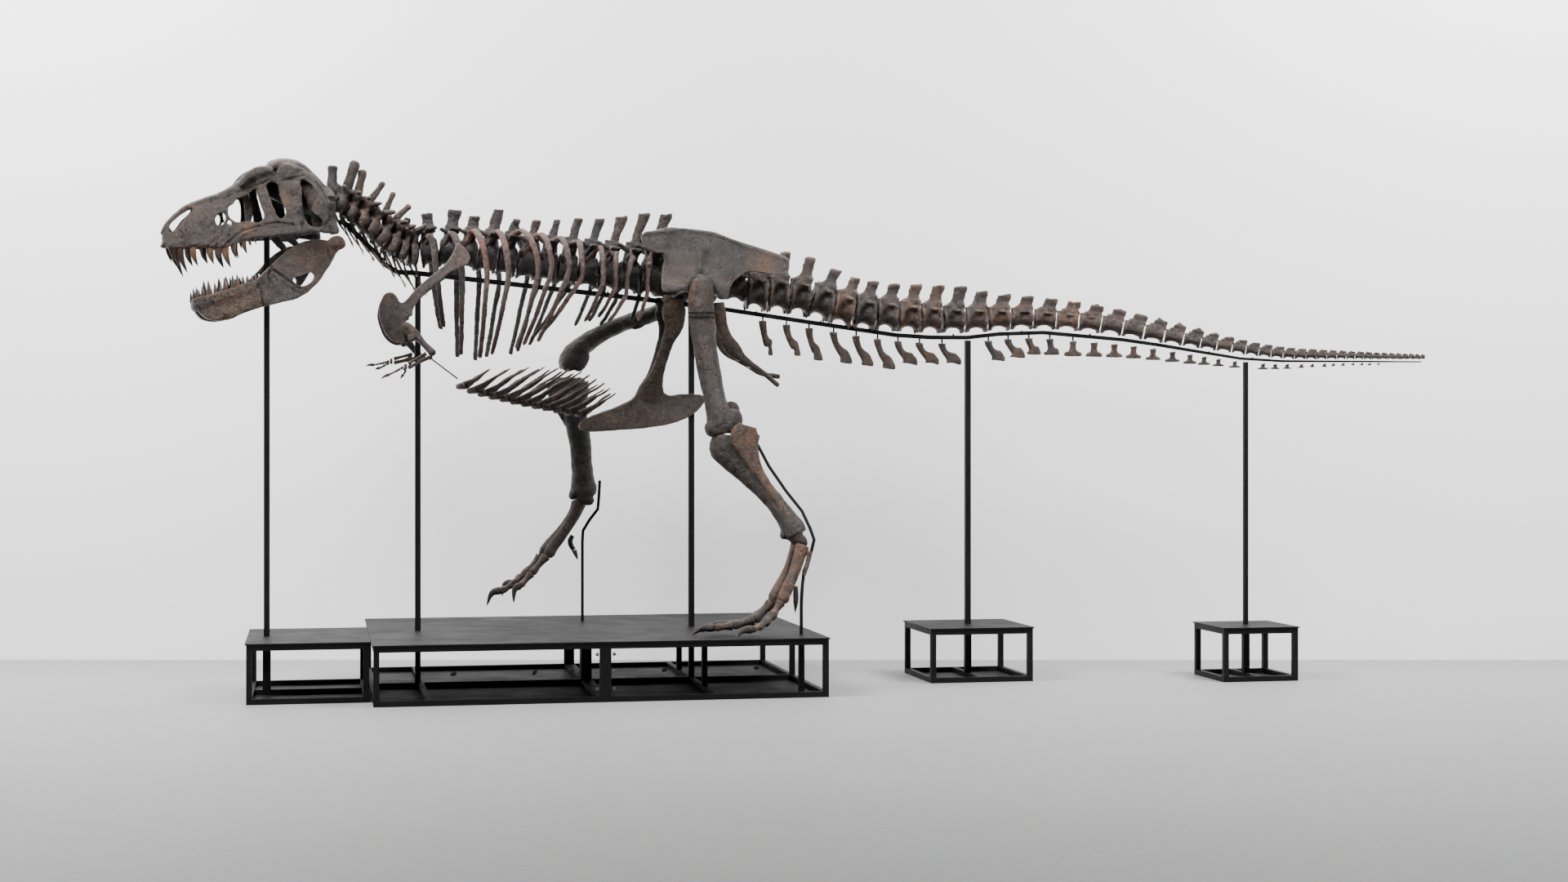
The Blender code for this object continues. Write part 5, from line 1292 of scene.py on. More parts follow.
def skull_relief(points):
    """Wrinkles on the snout, and the lines where the head's bones meet."""
    offset = points - HEAD_JOINT
    ahead, left, up = offset @ FORWARD, offset @ LEFTWARD, points[:, 2]
    snout = np.clip((ahead - 0.75) / 0.25, 0, 1) * np.clip((4.42 - up) / 0.08, 0, 1)
    wrinkle = weathered(points * np.array([1.0, 1.0, 0.5]), 1.0, 0.02)
    billow = weathered(points, 1.0, 0.075, 5.0)
    shift = wrinkle * (0.005 * snout + 0.0025) + 0.008 * billow
    lines = (
        ((1.3, 3.98), (1.36, 4.12), (1.42, 4.15)), ((0.98, 4.02), (0.86, 4.13), (0.7, 4.19)),
        ((0.36, 4.2), (0.33, 4.26), (0.345, 4.36)), ((0.22, 4.17), (0.12, 4.24), (0.09, 4.3)),
        ((0.66, 4.2), (0.56, 4.22), (0.42, 4.2)), ((0.62, 4.6), (0.7, 4.56), (0.8, 4.52), (0.95, 4.45)),
        ((0.5, 4.6), (0.42, 4.62), (0.3, 4.66)), ((0.2, 4.6), (0.14, 4.52), (0.1, 4.4)),
    )
    for line in lines:
        near = distance_to(line, ahead, up)
        shift -= 0.009 * np.exp(-(near / 0.008) ** 2) - 0.003 * np.exp(-((near - 0.02) / 0.012) ** 2)
    for pit in np.linspace(0.9, 1.36, 10):
        shift -= 0.007 * np.exp(
            -((ahead - pit) ** 2 + (up - 4.035 - 0.02 * math.sin(pit * 40)) ** 2) / 0.011 ** 2
        )
    return points + (np.sign(left) * shift)[:, None] * LEFTWARD


# Orange on the crest and low in the cheek window, pinkish grey and rubbed pale behind the eye, dark at the back.
# The far cheek and the inside of the head are toned darker: painted shade.
skull_warm = patches(
    0.18, (head_at(0.42, 4.81, 0.1), 0.14, 1.0), (head_at(0.8, 4.16, 0.2), 0.07, 0.9),
    (head_at(1.44, 4.02, 0.08), 0.1, 0.35),
    (head_at(0.24, 4.42, 0.33), 0.09, 0.6), (head_at(1.25, 4.33, 0.05), 0.1, 0.4),
    (head_at(0.5, 4.44, 0.33), 0.06, 0.5),
)
# Painted shade: the far cheek and the inside of the head are toned darker.
skull_tone = patches(
    0.31, (head_at(0.42, 4.81, 0.1), 0.12, 0.25), (head_at(0.44, 4.42, 0.34), 0.12, 0.42),
    (head_at(0.65, 4.42, 0.24), 0.13, 0.2),
    (head_at(1.15, 4.14, 0.15), 0.16, 0.12), (head_at(0.1, 4.3, 0.33), 0.16, -0.22),
    (head_at(0.8, 4.16, 0.2), 0.06, 0.3),
    (head_at(0.4, 4.3, -0.3), 0.55, -0.3), (head_at(0.3, 4.35, 0.0), 0.2, -0.3),
    (head_at(0.26, 4.16, 0.39), 0.1, 0.15),
)
SKULL_BONE = fossil_bone(
    "sealed_mottled_fossil_bone", "#2b2120", "#5b4641", "#a8917f", "#6e4a36", 0.45, 1.5, "#98602c"
)
assembled(
    "skull_bones",
    [carved(skull_shells, 0.009, 2, 0.01, 0.006, tone=skull_tone, mould=skull_relief, warm=skull_warm)],
    SKULL_BONE, "fossil_bone", "skull",
)

# ---- Lower jaw ----
# Two long jaw bones that meet at the chin: the toothed front one deep and speckled, then thin plates round
# a
# window, and the socket behind that hinges on the skull. The jaw is pinned open on a hidden bracket.

JAW_WIDTHS = ((-0.05, 0.35), (0.05, 0.355), (0.13, 0.355), (0.26, 0.345), (0.38, 0.315), (0.52, 0.265), (0.66, 0.21),
              (0.8, 0.165), (0.98, 0.13), (1.13, 0.105), (1.205, 0.075), (1.255, 0.05))
JAW = (
    (1.25, 3.535), (1.24, 3.5), (1.2, 3.425), (1.15, 3.375), (1.06, 3.348), (0.94, 3.362), (0.82, 3.42),
    (0.65, 3.478),
    (0.47, 3.525), (0.4, 3.542), (0.34, 3.575), (0.284, 3.612), (0.225, 3.672), (0.172, 3.735),
    (0.125, 3.81), (0.07, 3.9),
    (0.03, 3.975), (-0.04, 4.02), (-0.035, 4.08), (0.01, 4.118), (0.07, 4.112), (0.12, 4.075),
    (0.18, 4.082), (0.29, 4.07),
    (0.38, 4.035), (0.5, 3.945), (0.58, 3.86), (0.64, 3.8), (0.72, 3.722), (0.8, 3.685), (0.96, 3.628),
    (1.1, 3.585),
    (1.19, 3.56),
)
JAW_WINDOW = ((0.42, 3.712), (0.395, 3.742), (0.33, 3.765), (0.262, 3.785), (0.236, 3.757), (0.252, 3.712), (0.3, 3.677),
              (0.345, 3.66), (0.39, 3.68))
JAW_HOLE = ((0.605, 3.775), (0.62, 3.79), (0.605, 3.805), (0.59, 3.79))
jaw_ahead, jaw_out = np.array(JAW_WIDTHS).T


def jaw_wall(side):
    points, faces, *_ = carved(
        [flat_plate(JAW, 0.046)], 0.0075, 2, 0, 0, [prism(JAW_WINDOW), prism(JAW_HOLE)]
    )
    ahead, up, out = points.T
    front = np.clip((ahead - 0.55) / 0.2, 0, 1)
    gum = np.interp(
        ahead, (-0.05, 0.3, 0.5, 0.64, 0.8, 0.98, 1.13, 1.25),
        (4.1, 4.07, 3.94, 3.8, 3.685, 3.62, 3.575, 3.535)
    )
    swell = 0.016 * front * np.exp(
        -((up - gum + 0.05) / 0.05) ** 2
    ) + 0.012 * front * np.exp(-((up - gum + 0.2) / 0.06) ** 2)
    swell += 0.03 * np.exp(-((ahead - 0.04) / 0.07) ** 2 - ((up - 4.06) / 0.06) ** 2)
    swell += 0.014 * np.exp(-((ahead - 0.22) / 0.14) ** 2 - ((up - 4.035) / 0.03) ** 2)
    swell -= 0.01 * np.exp(-((ahead - 0.36) / 0.12) ** 2 - ((up - 3.88) / 0.07) ** 2)
    thick = out * (1 + 0.45 * front) + np.where(out > 0, swell, -swell * 0.6)
    return from_middle(
        side, ahead, np.interp(ahead, jaw_ahead, jaw_out) + thick, up
    ), [tuple(face) for face in faces]


def jaw_relief(points):
    """Grooves between the jaw's plates, and a row of small nerve pits under the gum."""
    offset = points - HEAD_JOINT
    ahead, left, up = offset @ FORWARD, offset @ LEFTWARD, points[:, 2]
    shift = weathered(points, 0.0045, 0.018) * np.clip(
        (ahead - 0.5) / 0.3, 0.5, 1
    ) + weathered(points, 0.007, 0.07, 3.0)
    for line in (
        ((0.74, 3.73), (0.68, 3.6), (0.66, 3.49)), ((0.58, 3.8), (0.45, 3.7), (0.36, 3.64)),
        ((0.6, 3.83), (0.62, 3.76), (0.6, 3.68))
    ):
        near = distance_to(line, ahead, up)
        shift -= 0.012 * np.exp(-(near / 0.009) ** 2) - 0.004 * np.exp(-((near - 0.025) / 0.012) ** 2)
    for pit in np.linspace(0.78, 1.16, 9):
        height = np.interp(pit, (0.66, 0.98, 1.2), (3.7, 3.575, 3.51))
        shift -= 0.006 * np.exp(-((ahead - pit) ** 2 + (up - height) ** 2) / 0.01 ** 2)
    return points + (np.sign(left) * shift)[:, None] * LEFTWARD


jaw_shells = [jaw_wall(-1), jaw_wall(1)]
jaw_shells.append(head_shaft([
    (1.19, 3.47, -0.075, 0.08, 0.1), (1.215, 3.485, -0.035, 0.075, 0.1), (1.215, 3.485, 0.035, 0.075, 0.1),
    (1.19, 3.47, 0.075, 0.08, 0.1),
], (1, 0, 0)))
for side in (-1, 1):
    jaw_shells.append(knob(head_at(0.03, 4.065, side * 0.345), (0.13, 0.1, 0.075)))
# Orange-brown along the toothed bone with a black chin, purple-grey plates, greenish ochre at the hinge;
# the far half is toned darker: painted shade.
jaw_warm = patches(
    0.1, (head_at(0.95, 3.5, 0.13), 0.22, 0.75), (head_at(0.72, 3.5, 0.19), 0.14, 0.5),
    (head_at(0.02, 4.05, 0.35), 0.13, 0.5),
    (head_at(0.2, 3.72, 0.35), 0.09, 0.7), (head_at(0.36, 3.9, 0.32), 0.16, 0.4),
)
# Painted shade: the far half of the jaw is toned darker.
jaw_tone = patches(
    0.4, (head_at(1.22, 3.46, 0.07), 0.08, -0.45), (head_at(0.95, 3.48, 0.13), 0.2, 0.12),
    (head_at(0.05, 4.06, 0.35), 0.12, 0.2),
    (head_at(0.45, 3.62, 0.29), 0.14, -0.08), (head_at(0.36, 3.92, 0.32), 0.15, 0.1),
    (head_at(0.3, 3.85, -0.33), 0.35, -0.42),
    (head_at(0.75, 3.6, -0.18), 0.25, -0.38),
)
JAW_BONE = fossil_bone(
    "sealed_speckled_fossil_bone", "#332724", "#5f4c45", "#a58f78", "#6a4638", 0.5, 1.5, "#9a683c"
)
assembled(
    "lower_jaw_bones",
    [carved(jaw_shells, 0.0073, 2, 0.008, 0.006, tone=jaw_tone, mould=jaw_relief, warm=jaw_warm)],
    JAW_BONE, "pale_fossil_bone", "lower_jaw",
)

# ---- Teeth ----
# Thick curved spikes, some grown out and some still short, set in the sockets of both jaws. The enamel is
# glossy, orange-brown at the gum and nearly black at the tips, with fine cracks along it.

# Each tooth's place ahead, its length below or above the gum, and its width.
UPPER_TEETH = (
    (1.445, 0.155, 0.036), (1.414, 0.19, 0.044), (1.362, 0.235, 0.058), (1.313, 0.11, 0.034),
    (1.258, 0.165, 0.06),
    (1.197, 0.06, 0.036), (1.118, 0.15, 0.062), (1.051, 0.105, 0.056), (0.984, 0.192, 0.068),
    (0.917, 0.125, 0.047),
    (0.826, 0.115, 0.046), (0.777, 0.06, 0.028), (0.734, 0.048, 0.024), (0.692, 0.03, 0.02),
)
LOWER_TEETH = (
    (1.24, 0.055, 0.028), (1.212, 0.095, 0.036), (1.165, 0.085, 0.04), (1.112, 0.125, 0.046),
    (1.06, 0.09, 0.042),
    (1.01, 0.06, 0.036), (0.975, 0.115, 0.05), (0.908, 0.115, 0.042), (0.87, 0.11, 0.04),
    (0.825, 0.08, 0.036),
    (0.785, 0.06, 0.03), (0.75, 0.04, 0.026), (0.72, 0.03, 0.02),
)


TOOTH_RINGS, TOOTH_SIDES = 9, 12


def tooth(root, tip, thick, back):
    """A curved spike from inside its socket to its tip, a little flattened and bending backwards."""
    middle = (root + tip) / 2 - FORWARD * back * 0.35 + FORWARD * back * 0.75
    line = through([root, middle, tip], TOOTH_RINGS)
    swell = np.array([0.92, 1.0, 1.0, 0.95, 0.86, 0.72, 0.54, 0.32, 0.07])
    return shaft(
        [(*p, thick * w * 0.78, thick * w) for p, w in zip(line, swell)], tuple(LEFTWARD), TOOTH_SIDES, 1
    )


def tooth_row(teeth, gum_at, out_at, up, bend):
    rows = []
    for ahead, long, thick in teeth:
        back = bend * long
        for side in (-1, 1):
            vary = 1.0 if side > 0 else 1.0 + chance.uniform(-0.2, 0.15)
            gum, out = gum_at(ahead), side * out_at(ahead)
            root = head_at(ahead, gum - up * 0.035, out * 0.99)
            rows.append(tooth(root, head_at(ahead - back, gum + up * long * vary, out * 0.97), thick, back))
    return rows


def upper_gum(ahead):
    return float(np.interp(ahead, *np.array(GUM_LINE).T)) + 0.006


def upper_out(ahead):
    return float(head_half_width(np.array([ahead]), np.array([upper_gum(ahead)]))[0]) - 0.027


def lower_gum(ahead):
    return float(np.interp(ahead, (0.64, 0.8, 0.98, 1.13, 1.25), (3.8, 3.685, 3.62, 3.578, 3.545)))


def lower_out(ahead):
    return float(np.interp(ahead, jaw_ahead, jaw_out))


tooth_shells = tooth_row(
    UPPER_TEETH, upper_gum, upper_out, -1, 0.26
) + tooth_row(LOWER_TEETH, lower_gum, lower_out, 1, -0.1)
enamel, tree, shader, place = new_material("glossy_fossil_enamel")
tipness = add(tree, "ShaderNodeAttribute", attribute_name="tipness").outputs["Fac"]
stripe = add(tree, "ShaderNodeTexNoise", {
    "Vector": add(
        tree, "ShaderNodeMapping", {"Vector": place, "Scale": (1.0, 1.0, 0.12)}
    ).outputs["Vector"], "Scale": 160.0, "Detail": 3.0,
}).outputs["Fac"]
mottle = add(tree, "ShaderNodeTexNoise", {"Vector": place, "Scale": 14.0, "Detail": 4.0}).outputs["Fac"]
root_colour = blend(tree, mottle, linear("#443028"), linear("#8a6a50"))
root_colour = blend(
    tree,
    add(tree, "ShaderNodeMapRange", {"Value": stripe, 1: 0.5, 2: 0.75, 3: 0.0, 4: 0.6}).outputs["Result"],
    root_colour, linear("#3a2418")
)
darkness = add(tree, "ShaderNodeAttribute", attribute_name="darkness").outputs["Fac"]
root_colour = blend(tree, darkness, root_colour, linear("#1e1512"))
dark_share = add(
    tree, "ShaderNodeMapRange", {"Value": tipness, 1: 0.3, 2: 0.9, 3: 0.0, 4: 0.9}
).outputs["Result"]
tree.links.new(blend(tree, dark_share, root_colour, linear("#1b1311")), shader.inputs["Base Color"])
shader.inputs["Roughness"].default_value = 0.28
shader.inputs["IOR"].default_value = 1.6
grooves = add(tree, "ShaderNodeBump", {"Height": stripe, "Strength": 0.3, "Distance": 0.001})
tree.links.new(grooves.outputs["Normal"], shader.inputs["Normal"])
teeth_mesh = mesh_of(tooth_shells, "teeth")
teeth_mesh.attributes.new("tipness", "FLOAT", "POINT").data.foreach_set(
    "value",
    np.tile(np.repeat(np.linspace(0, 1, TOOTH_RINGS), TOOTH_SIDES), len(tooth_shells)).astype(np.float32)
)
# Painted shade: the far teeth get a high darkness; the near ones are lighter, except the four front upper teeth.
tooth_darkness = []
for count, front in ((len(UPPER_TEETH), 4), (len(LOWER_TEETH), 99)):
    for number in range(count):
        near, far = (0.85 if number < 4 else chance.uniform(0.0, 0.5)), 0.8
        tooth_darkness += [far, near] if front == 4 else [0.9, chance.uniform(0.6, 0.92)]
teeth_mesh.attributes.new("darkness", "FLOAT", "POINT").data.foreach_set(
    "value", np.repeat(tooth_darkness, TOOTH_RINGS * TOOTH_SIDES).astype(np.float32)
)
teeth_mesh.shade_smooth()
teeth_mesh.materials.append(enamel)
teeth = placed("teeth", teeth_mesh)
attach(teeth, "root")

# ---- Shoulder blades ----
# A long strap of bone that fans out at its back end and runs forward into a broad rounded plate, with the
# arm's
# socket notched into its rear edge. Each side is one smooth thin bone, hung outside the first ribs.

SHOULDER_BLADE = (
    (-1.225, 4.075), (-1.16, 4.035), (-1.115, 3.965), (-1.125, 3.9), (-1.19, 3.865), (-1.28, 3.82),
    (-1.43, 3.7),
    (-1.535, 3.605), (-1.6, 3.52), (-1.625, 3.455), (-1.625, 3.425), (-1.665, 3.4), (-1.69, 3.35),
    (-1.68, 3.29),
    (-1.7, 3.23), (-1.7, 3.185), (-1.76, 3.18), (-1.84, 3.23), (-1.895, 3.33), (-1.92, 3.43), (-1.91, 3.54),
    (-1.87, 3.62), (-1.81, 3.635), (-1.765, 3.6), (-1.735, 3.545), (-1.695, 3.548), (-1.6, 3.655),
    (-1.48, 3.765),
    (-1.33, 3.895), (-1.265, 3.99),
)
SHOULDER_OUT = ((-1.95, 0.24), (-1.7, 0.34), (-1.45, 0.45), (-1.1, 0.53))
NERVE_HOLE = ((-1.79, 3.345), (-1.775, 3.365), (-1.76, 3.345), (-1.775, 3.325))


def shoulder_shape(side):
    def shape(points):
        """Thick at the socket and along the strap, thin at both ends, and curved round the chest."""
        x, z, out = points.T
        strap = np.exp(-((x + 1.5) / 0.17) ** 2)
        socket = np.exp(-((x + 1.675) / 0.07) ** 2 - ((z - 3.37) / 0.12) ** 2)
        fan = np.clip((x + 1.3) / 0.15, 0, 1)
        thick = out * (0.75 + 0.55 * strap + 1.2 * socket - 0.35 * fan)
        middle = np.interp(x, *np.array(SHOULDER_OUT).T) + 0.02 * np.sin((z - 3.2) * 5.0) - 0.02 * fan
        return np.column_stack([x, side * (middle + thick), z])

    return shape


SMOOTH_BONE = fossil_bone(
    "sealed_smooth_fossil_bone", "#3d2f2b", "#76615a", "#b7a299", "#7a5546", 0.35, 0.8
)
for side_name, side in (("left", -1), ("right", 1)):
    # The fan at the top is rubbed pale, and the broad front plate is browner. The far blade is toned darker: painted
    # shade.
    shoulder_tone = patches(
        0.42 if side < 0 else 0.15, ((-1.18, side * 0.52, 3.96), 0.13, 0.4),
        ((-1.82, side * 0.3, 3.4), 0.18, -0.1),
    )
    assembled(
        f"shoulder_blade_{side_name}",
        [
            carved(
                [flat_plate(SHOULDER_BLADE, 0.042)], 0.006, 3, 0.006, 0.004, [prism(NERVE_HOLE)],
                shoulder_tone, shoulder_shape(side), 0.25
            )
        ],
        SMOOTH_BONE, "fossil_bone", f"scapula_{side_name}",
    )

# ---- Arms ----
# Very short, folded arms: a stubby upper arm with a crest, two forearm bones side by side, wrist bones and
# a
# hand of two slim fingers with hooked claws. The small bones are strung on a thin steel wire.


def claw(base, bend, tip, wide, tall):
    """A hooked claw: a knuckled root, then a flattened spike that curves down to a point."""
    line = through([base, bend, tip], 7)
    sizes = ((0.8, 0.8), (1.0, 1.0), (0.86, 0.9), (0.72, 0.76), (0.55, 0.58), (0.36, 0.38), (0.1, 0.1))
    return shaft([(*p, wide * w, tall * h) for p, (w, h) in zip(line, sizes)], (0, 1, 0), 10, 2)


def spool(start, end, wide, tall, gap=0.004):
    """A finger or toe bone: a dished near end, a narrow waist and a pulley at its far end."""
    start, end = np.array(start, float), np.array(end, float)
    long = np.linalg.norm(end - start)
    form = (
        (gap / long, 0.82, 0.8), (0.09, 1.0, 1.0), (0.3, 0.8, 0.76), (0.58, 0.72, 0.64), (0.84, 0.92, 0.82),
        (1 - gap / long, 0.8, 0.7)
    )
    return shaft([(*(start + (end - start) * s), wide * w, tall * h) for s, w, h in form], (0, 1, 0), 12, 3)


ARMS = {
    "left": (
        ((-1.675, -0.435, 3.315), (-1.6, -0.455, 3.245), (-1.53, -0.475, 3.165), (-1.455, -0.5, 3.085)),
        (-1.665, -0.46, 2.965),
        (
            ((-1.735, -0.445, 2.935), (-1.83, -0.42, 2.885), (-1.91, -0.405, 2.84)),
            ((-1.685, -0.44, 2.925), (-1.705, -0.44, 2.885), (-1.735, -0.435, 2.84)),
        ),
    ),
    "right": (
        ((-1.685, 0.435, 3.3), (-1.64, 0.43, 3.225), (-1.58, 0.425, 3.15), (-1.54, 0.42, 3.095)),
        (-1.765, 0.385, 3.035),
        (
            ((-1.855, 0.365, 3.015), (-1.945, 0.35, 2.995), (-2.03, 0.34, 2.98)),
            ((-1.845, 0.375, 2.995), (-1.895, 0.365, 2.965), (-1.94, 0.36, 2.945)),
        ),
    ),
}
ARM_BONE = fossil_bone("sealed_dark_brown_fossil_bone", "#2a201d", "#54413a", "#94796a", "#6f4c3b", 0.4)
for side_name, (upper, wrist, fingers) in ARMS.items():
    side = -1 if side_name == "left" else 1
    shoulder, elbow = np.array(upper[0]), np.array(upper[-1])
    down = (elbow - shoulder) / np.linalg.norm(elbow - shoulder)
    widths = ((0.085, 0.095), (0.075, 0.085), (0.06, 0.058), (0.085, 0.07))
    arm_shells = [shaft([(*p, *s) for p, s in zip(upper, widths)])]
    arm_shells.append(knob(shoulder, (0.115, 0.1, 0.085), 0.7))
    arm_shells.append(
        knob(
            shoulder * 0.68 + elbow * 0.32 + np.array([-0.02, side * 0.02, -0.02]), (0.07, 0.05, 0.11), 0.7
        )
    )
    for out in (-0.026, 0.026):
        arm_shells.append(knob(elbow + np.array([0.0, out, 0.0]), (0.075, 0.055, 0.07), 0.7))
    # Painted shade: the far arm is toned darker, and its shoulder end is lightened less.
    arm_tone = patches(0.22 if side > 0 else 0.3, (upper[0], 0.09, 0.4 if side < 0 else 0.1))
    arm_warm = patches(0.1, (upper[0], 0.1, 0.6))
    assembled(
        f"upper_arm_{side_name}",
        [carved(arm_shells, 0.004, 2, 0.006, 0.004, tone=arm_tone, warm=arm_warm)], ARM_BONE, "fossil_bone",
        f"humerus_{side_name}"
    )

    wrist = np.array(wrist)
    start = elbow + (wrist - elbow) / np.linalg.norm(wrist - elbow) * 0.058
    lift = np.array([0.0, 0.0, 0.019])
    inner = start * 0.5 + wrist * 0.5
    bones = [
        carved([
            shaft(
                [
                    (*(start - lift), 0.05, 0.056), (*(inner - lift * 1.15), 0.034, 0.034),
                    (*(wrist - lift), 0.044, 0.042)
                ]
            ),
            knob(start - lift + np.array([0.03, 0, 0.0]), (0.06, 0.045, 0.045)),
        ], 0.0035, 2, 0.003, 0.002),
        carved([
            shaft(
                [
                    (*(start + lift), 0.042, 0.04), (*(inner + lift * 1.05), 0.028, 0.027),
                    (*(wrist + lift), 0.042, 0.038)
                ]
            ),
        ], 0.0035, 2, 0.003, 0.002),
    ]
    reach = (np.array(fingers[0][0]) - wrist) / np.linalg.norm(np.array(fingers[0][0]) - wrist)
    for out in (-0.016, 0.016):
        bones.append(
            carved(
                [knob(wrist + reach * 0.026 + np.array([0, out, out * 0.7]), (0.03, 0.03, 0.036))], 0.003,
                1, 0, 0.002
            )
        )
    for k, (root, bend, tip) in enumerate(fingers):
        root, bend, tip = np.array(root), np.array(bend), np.array(tip)
        base = wrist + reach * 0.046 + np.array([0, 0, -0.014 if k else 0.006])
        if k == 0:
            halfway = root * 0.45 + bend * 0.55
            chain = [
                spool(base, root, 0.03, 0.034, 0.002), spool(root, halfway, 0.028, 0.03, 0.002),
                spool(halfway, bend, 0.024, 0.026, 0.002)
            ]
        else:
            chain = [spool(base, root, 0.028, 0.03, 0.002), spool(root, bend, 0.026, 0.028, 0.002)]
        chain.append(claw(bend, bend * 0.45 + tip * 0.55 + np.array([0, 0, 0.008]), tip, 0.018, 0.03))
        bones += [carved([shell], 0.0028, 1, 0, 0.0015) for shell in chain]
    assembled(f"forearm_and_hand_{side_name}", bones, ARM_BONE, "fossil_bone", f"forearm_{side_name}")

# ---- Hip blades ----
# The two great thin upper hip bones, leaning together over the sacrum. Each has a low ridge above the hip
# socket, a hooked front lobe, a tapering rear blade, and two stout feet that meet the lower hip bones.

HIP_BLADE = (
    (0.485, 4.185), (0.53, 4.238), (0.62, 4.252), (0.7, 4.278), (0.8, 4.288), (0.93, 4.278), (1.07, 4.266),
    (1.21, 4.243),
    (1.36, 4.185), (1.5, 4.14), (1.63, 4.098), (1.75, 4.055), (1.835, 4.015), (1.875, 3.965), (1.865, 3.89),
    (1.81, 3.842),
    (1.7, 3.85), (1.6, 3.868), (1.5, 3.87), (1.43, 3.838), (1.36, 3.78), (1.315, 3.71), (1.285, 3.63),
    (1.235, 3.602),
    (1.185, 3.64), (1.165, 3.73), (1.12, 3.8), (1.05, 3.828), (0.985, 3.8), (0.935, 3.73), (0.91, 3.682),
    (0.8, 3.67),
    (0.68, 3.678), (0.665, 3.76), (0.675, 3.88), (0.7, 3.975), (0.665, 4.025), (0.6, 4.05), (0.545, 4.075),
    (0.5, 4.125),
)


def hip_shape(side):
    def shape(points):
        """Thick round the socket and its two feet, a ridge above it, thin towards the top, and the rear
        blade turned out.
        """
        x, z, out = points.T
        socket = np.hypot(x - 1.04, z - 3.7)
        ring = np.exp(-((socket - 0.15) / 0.055) ** 2) * np.clip((4.0 - z) / 0.1, 0, 1)
        feet = np.exp(-((x - 0.79) / 0.1) ** 2 - ((z - 3.7) / 0.07) ** 2) + np.exp(
            -((x - 1.24) / 0.06) ** 2 - ((z - 3.66) / 0.09) ** 2
        )
        ridge = np.exp(
            -((x - 1.02 - (z - 3.85) * 0.15) / 0.045) ** 2
        ) * np.clip((z - 3.84) / 0.06, 0, 1) * np.clip((4.22 - z) / 0.2, 0, 1)
        rim = np.exp(-((z - np.interp(x, (0.5, 0.9, 1.2, 1.86), (4.22, 4.27, 4.23, 3.98))) / 0.022) ** 2)
        thick = 0.62 + 0.75 * ring + 1.3 * feet + 0.35 * rim
        height = z - 3.62
        middle = 0.335 - 0.278 * height + 0.1 * np.clip((x - 1.35) / 0.5, 0, 1) ** 2 + 0.05 * np.clip(
            (0.85 - x) / 0.36, 0, 1
        ) ** 2
        outer = np.where(out > 0, ridge * 0.03, 0.0)
        dish = -0.022 * np.exp(
            -((x - 0.8) / 0.13) ** 2 - ((z - 4.05) / 0.12) ** 2
        ) - 0.018 * np.exp(-((x - 1.3) / 0.16) ** 2 - ((z - 4.03) / 0.1) ** 2)
        return np.column_stack([x, side * (middle + out * thick + outer + dish), z])

    return shape


HIP_BONE = fossil_bone(
    "sealed_grey_brown_fossil_bone", "#332a27", "#5f524b", "#a3958a", "#6d5346", 0.45, 1.1
)
for side_name, side in (("left", -1), ("right", 1)):
    # Tan towards the rear end and pinkish on the front foot; darker under the ridge and on the far blade, which is
    # painted shade.
    hip_tone = patches(
        0.4 if side < 0 else 0.2, ((1.66, side * 0.3, 3.93), 0.16, 0.28),
        ((0.78, side * 0.3, 3.8), 0.14, 0.15),
        ((0.6, side * 0.25, 4.16), 0.12, 0.1), ((1.42, side * 0.3, 4.08), 0.14, -0.14),
        ((0.95, side * 0.3, 4.02), 0.15, -0.06),
    )
    hip_warm = patches(
        0.1, ((1.66, side * 0.3, 3.93), 0.15, 0.8), ((0.78, side * 0.32, 3.85), 0.13, 0.4),
        ((1.2, side * 0.3, 3.72), 0.1, 0.35),
    )
    assembled(
        f"hip_blade_{side_name}",
        [
            carved(
                [flat_plate(HIP_BLADE, 0.062)], 0.0092, 3, 0.01, 0.007, tone=hip_tone,
                mould=hip_shape(side), warm=hip_warm
            )
        ],
        HIP_BONE, "fossil_bone", f"ilium_{side_name}",
    )

# ---- Lower hip bones ----
# In front, two curved shafts run down from the hip sockets and fuse into one long boot, and a post of the
# mount
# stands in its heel. Behind, two thinner shafts sweep back under the tail and end side by side.

BOOT = (
    (0.42, 2.67), (0.3, 2.612), (0.17, 2.56), (0.05, 2.515), (-0.035, 2.47), (-0.068, 2.42), (-0.035, 2.38),
    (0.08, 2.368),
    (0.22, 2.378), (0.36, 2.39), (0.55, 2.402), (0.75, 2.432), (0.88, 2.47), (0.99, 2.52), (1.085, 2.6),
    (1.13, 2.66),
    (1.11, 2.712), (1.03, 2.728), (0.9, 2.726), (0.78, 2.715), (0.7, 2.76), (0.6, 2.78), (0.5, 2.74),
)


def boot_shape(points):
    """Widest along the middle of the sole, narrowing to a keel above and to both ends."""
    x, z, out = points.T
    fat = np.interp(x, (-0.07, 0.0, 0.2, 0.6, 0.95, 1.13), (0.5, 0.85, 1.05, 1.15, 1.15, 0.6))
    low = np.interp(x, (-0.06, 0.36, 0.75, 0.99, 1.13), (2.38, 2.385, 2.43, 2.52, 2.64))
    return np.column_stack([x, out * fat * (1.0 - 0.35 * np.clip((z - low) / 0.28, 0, 1)), z])


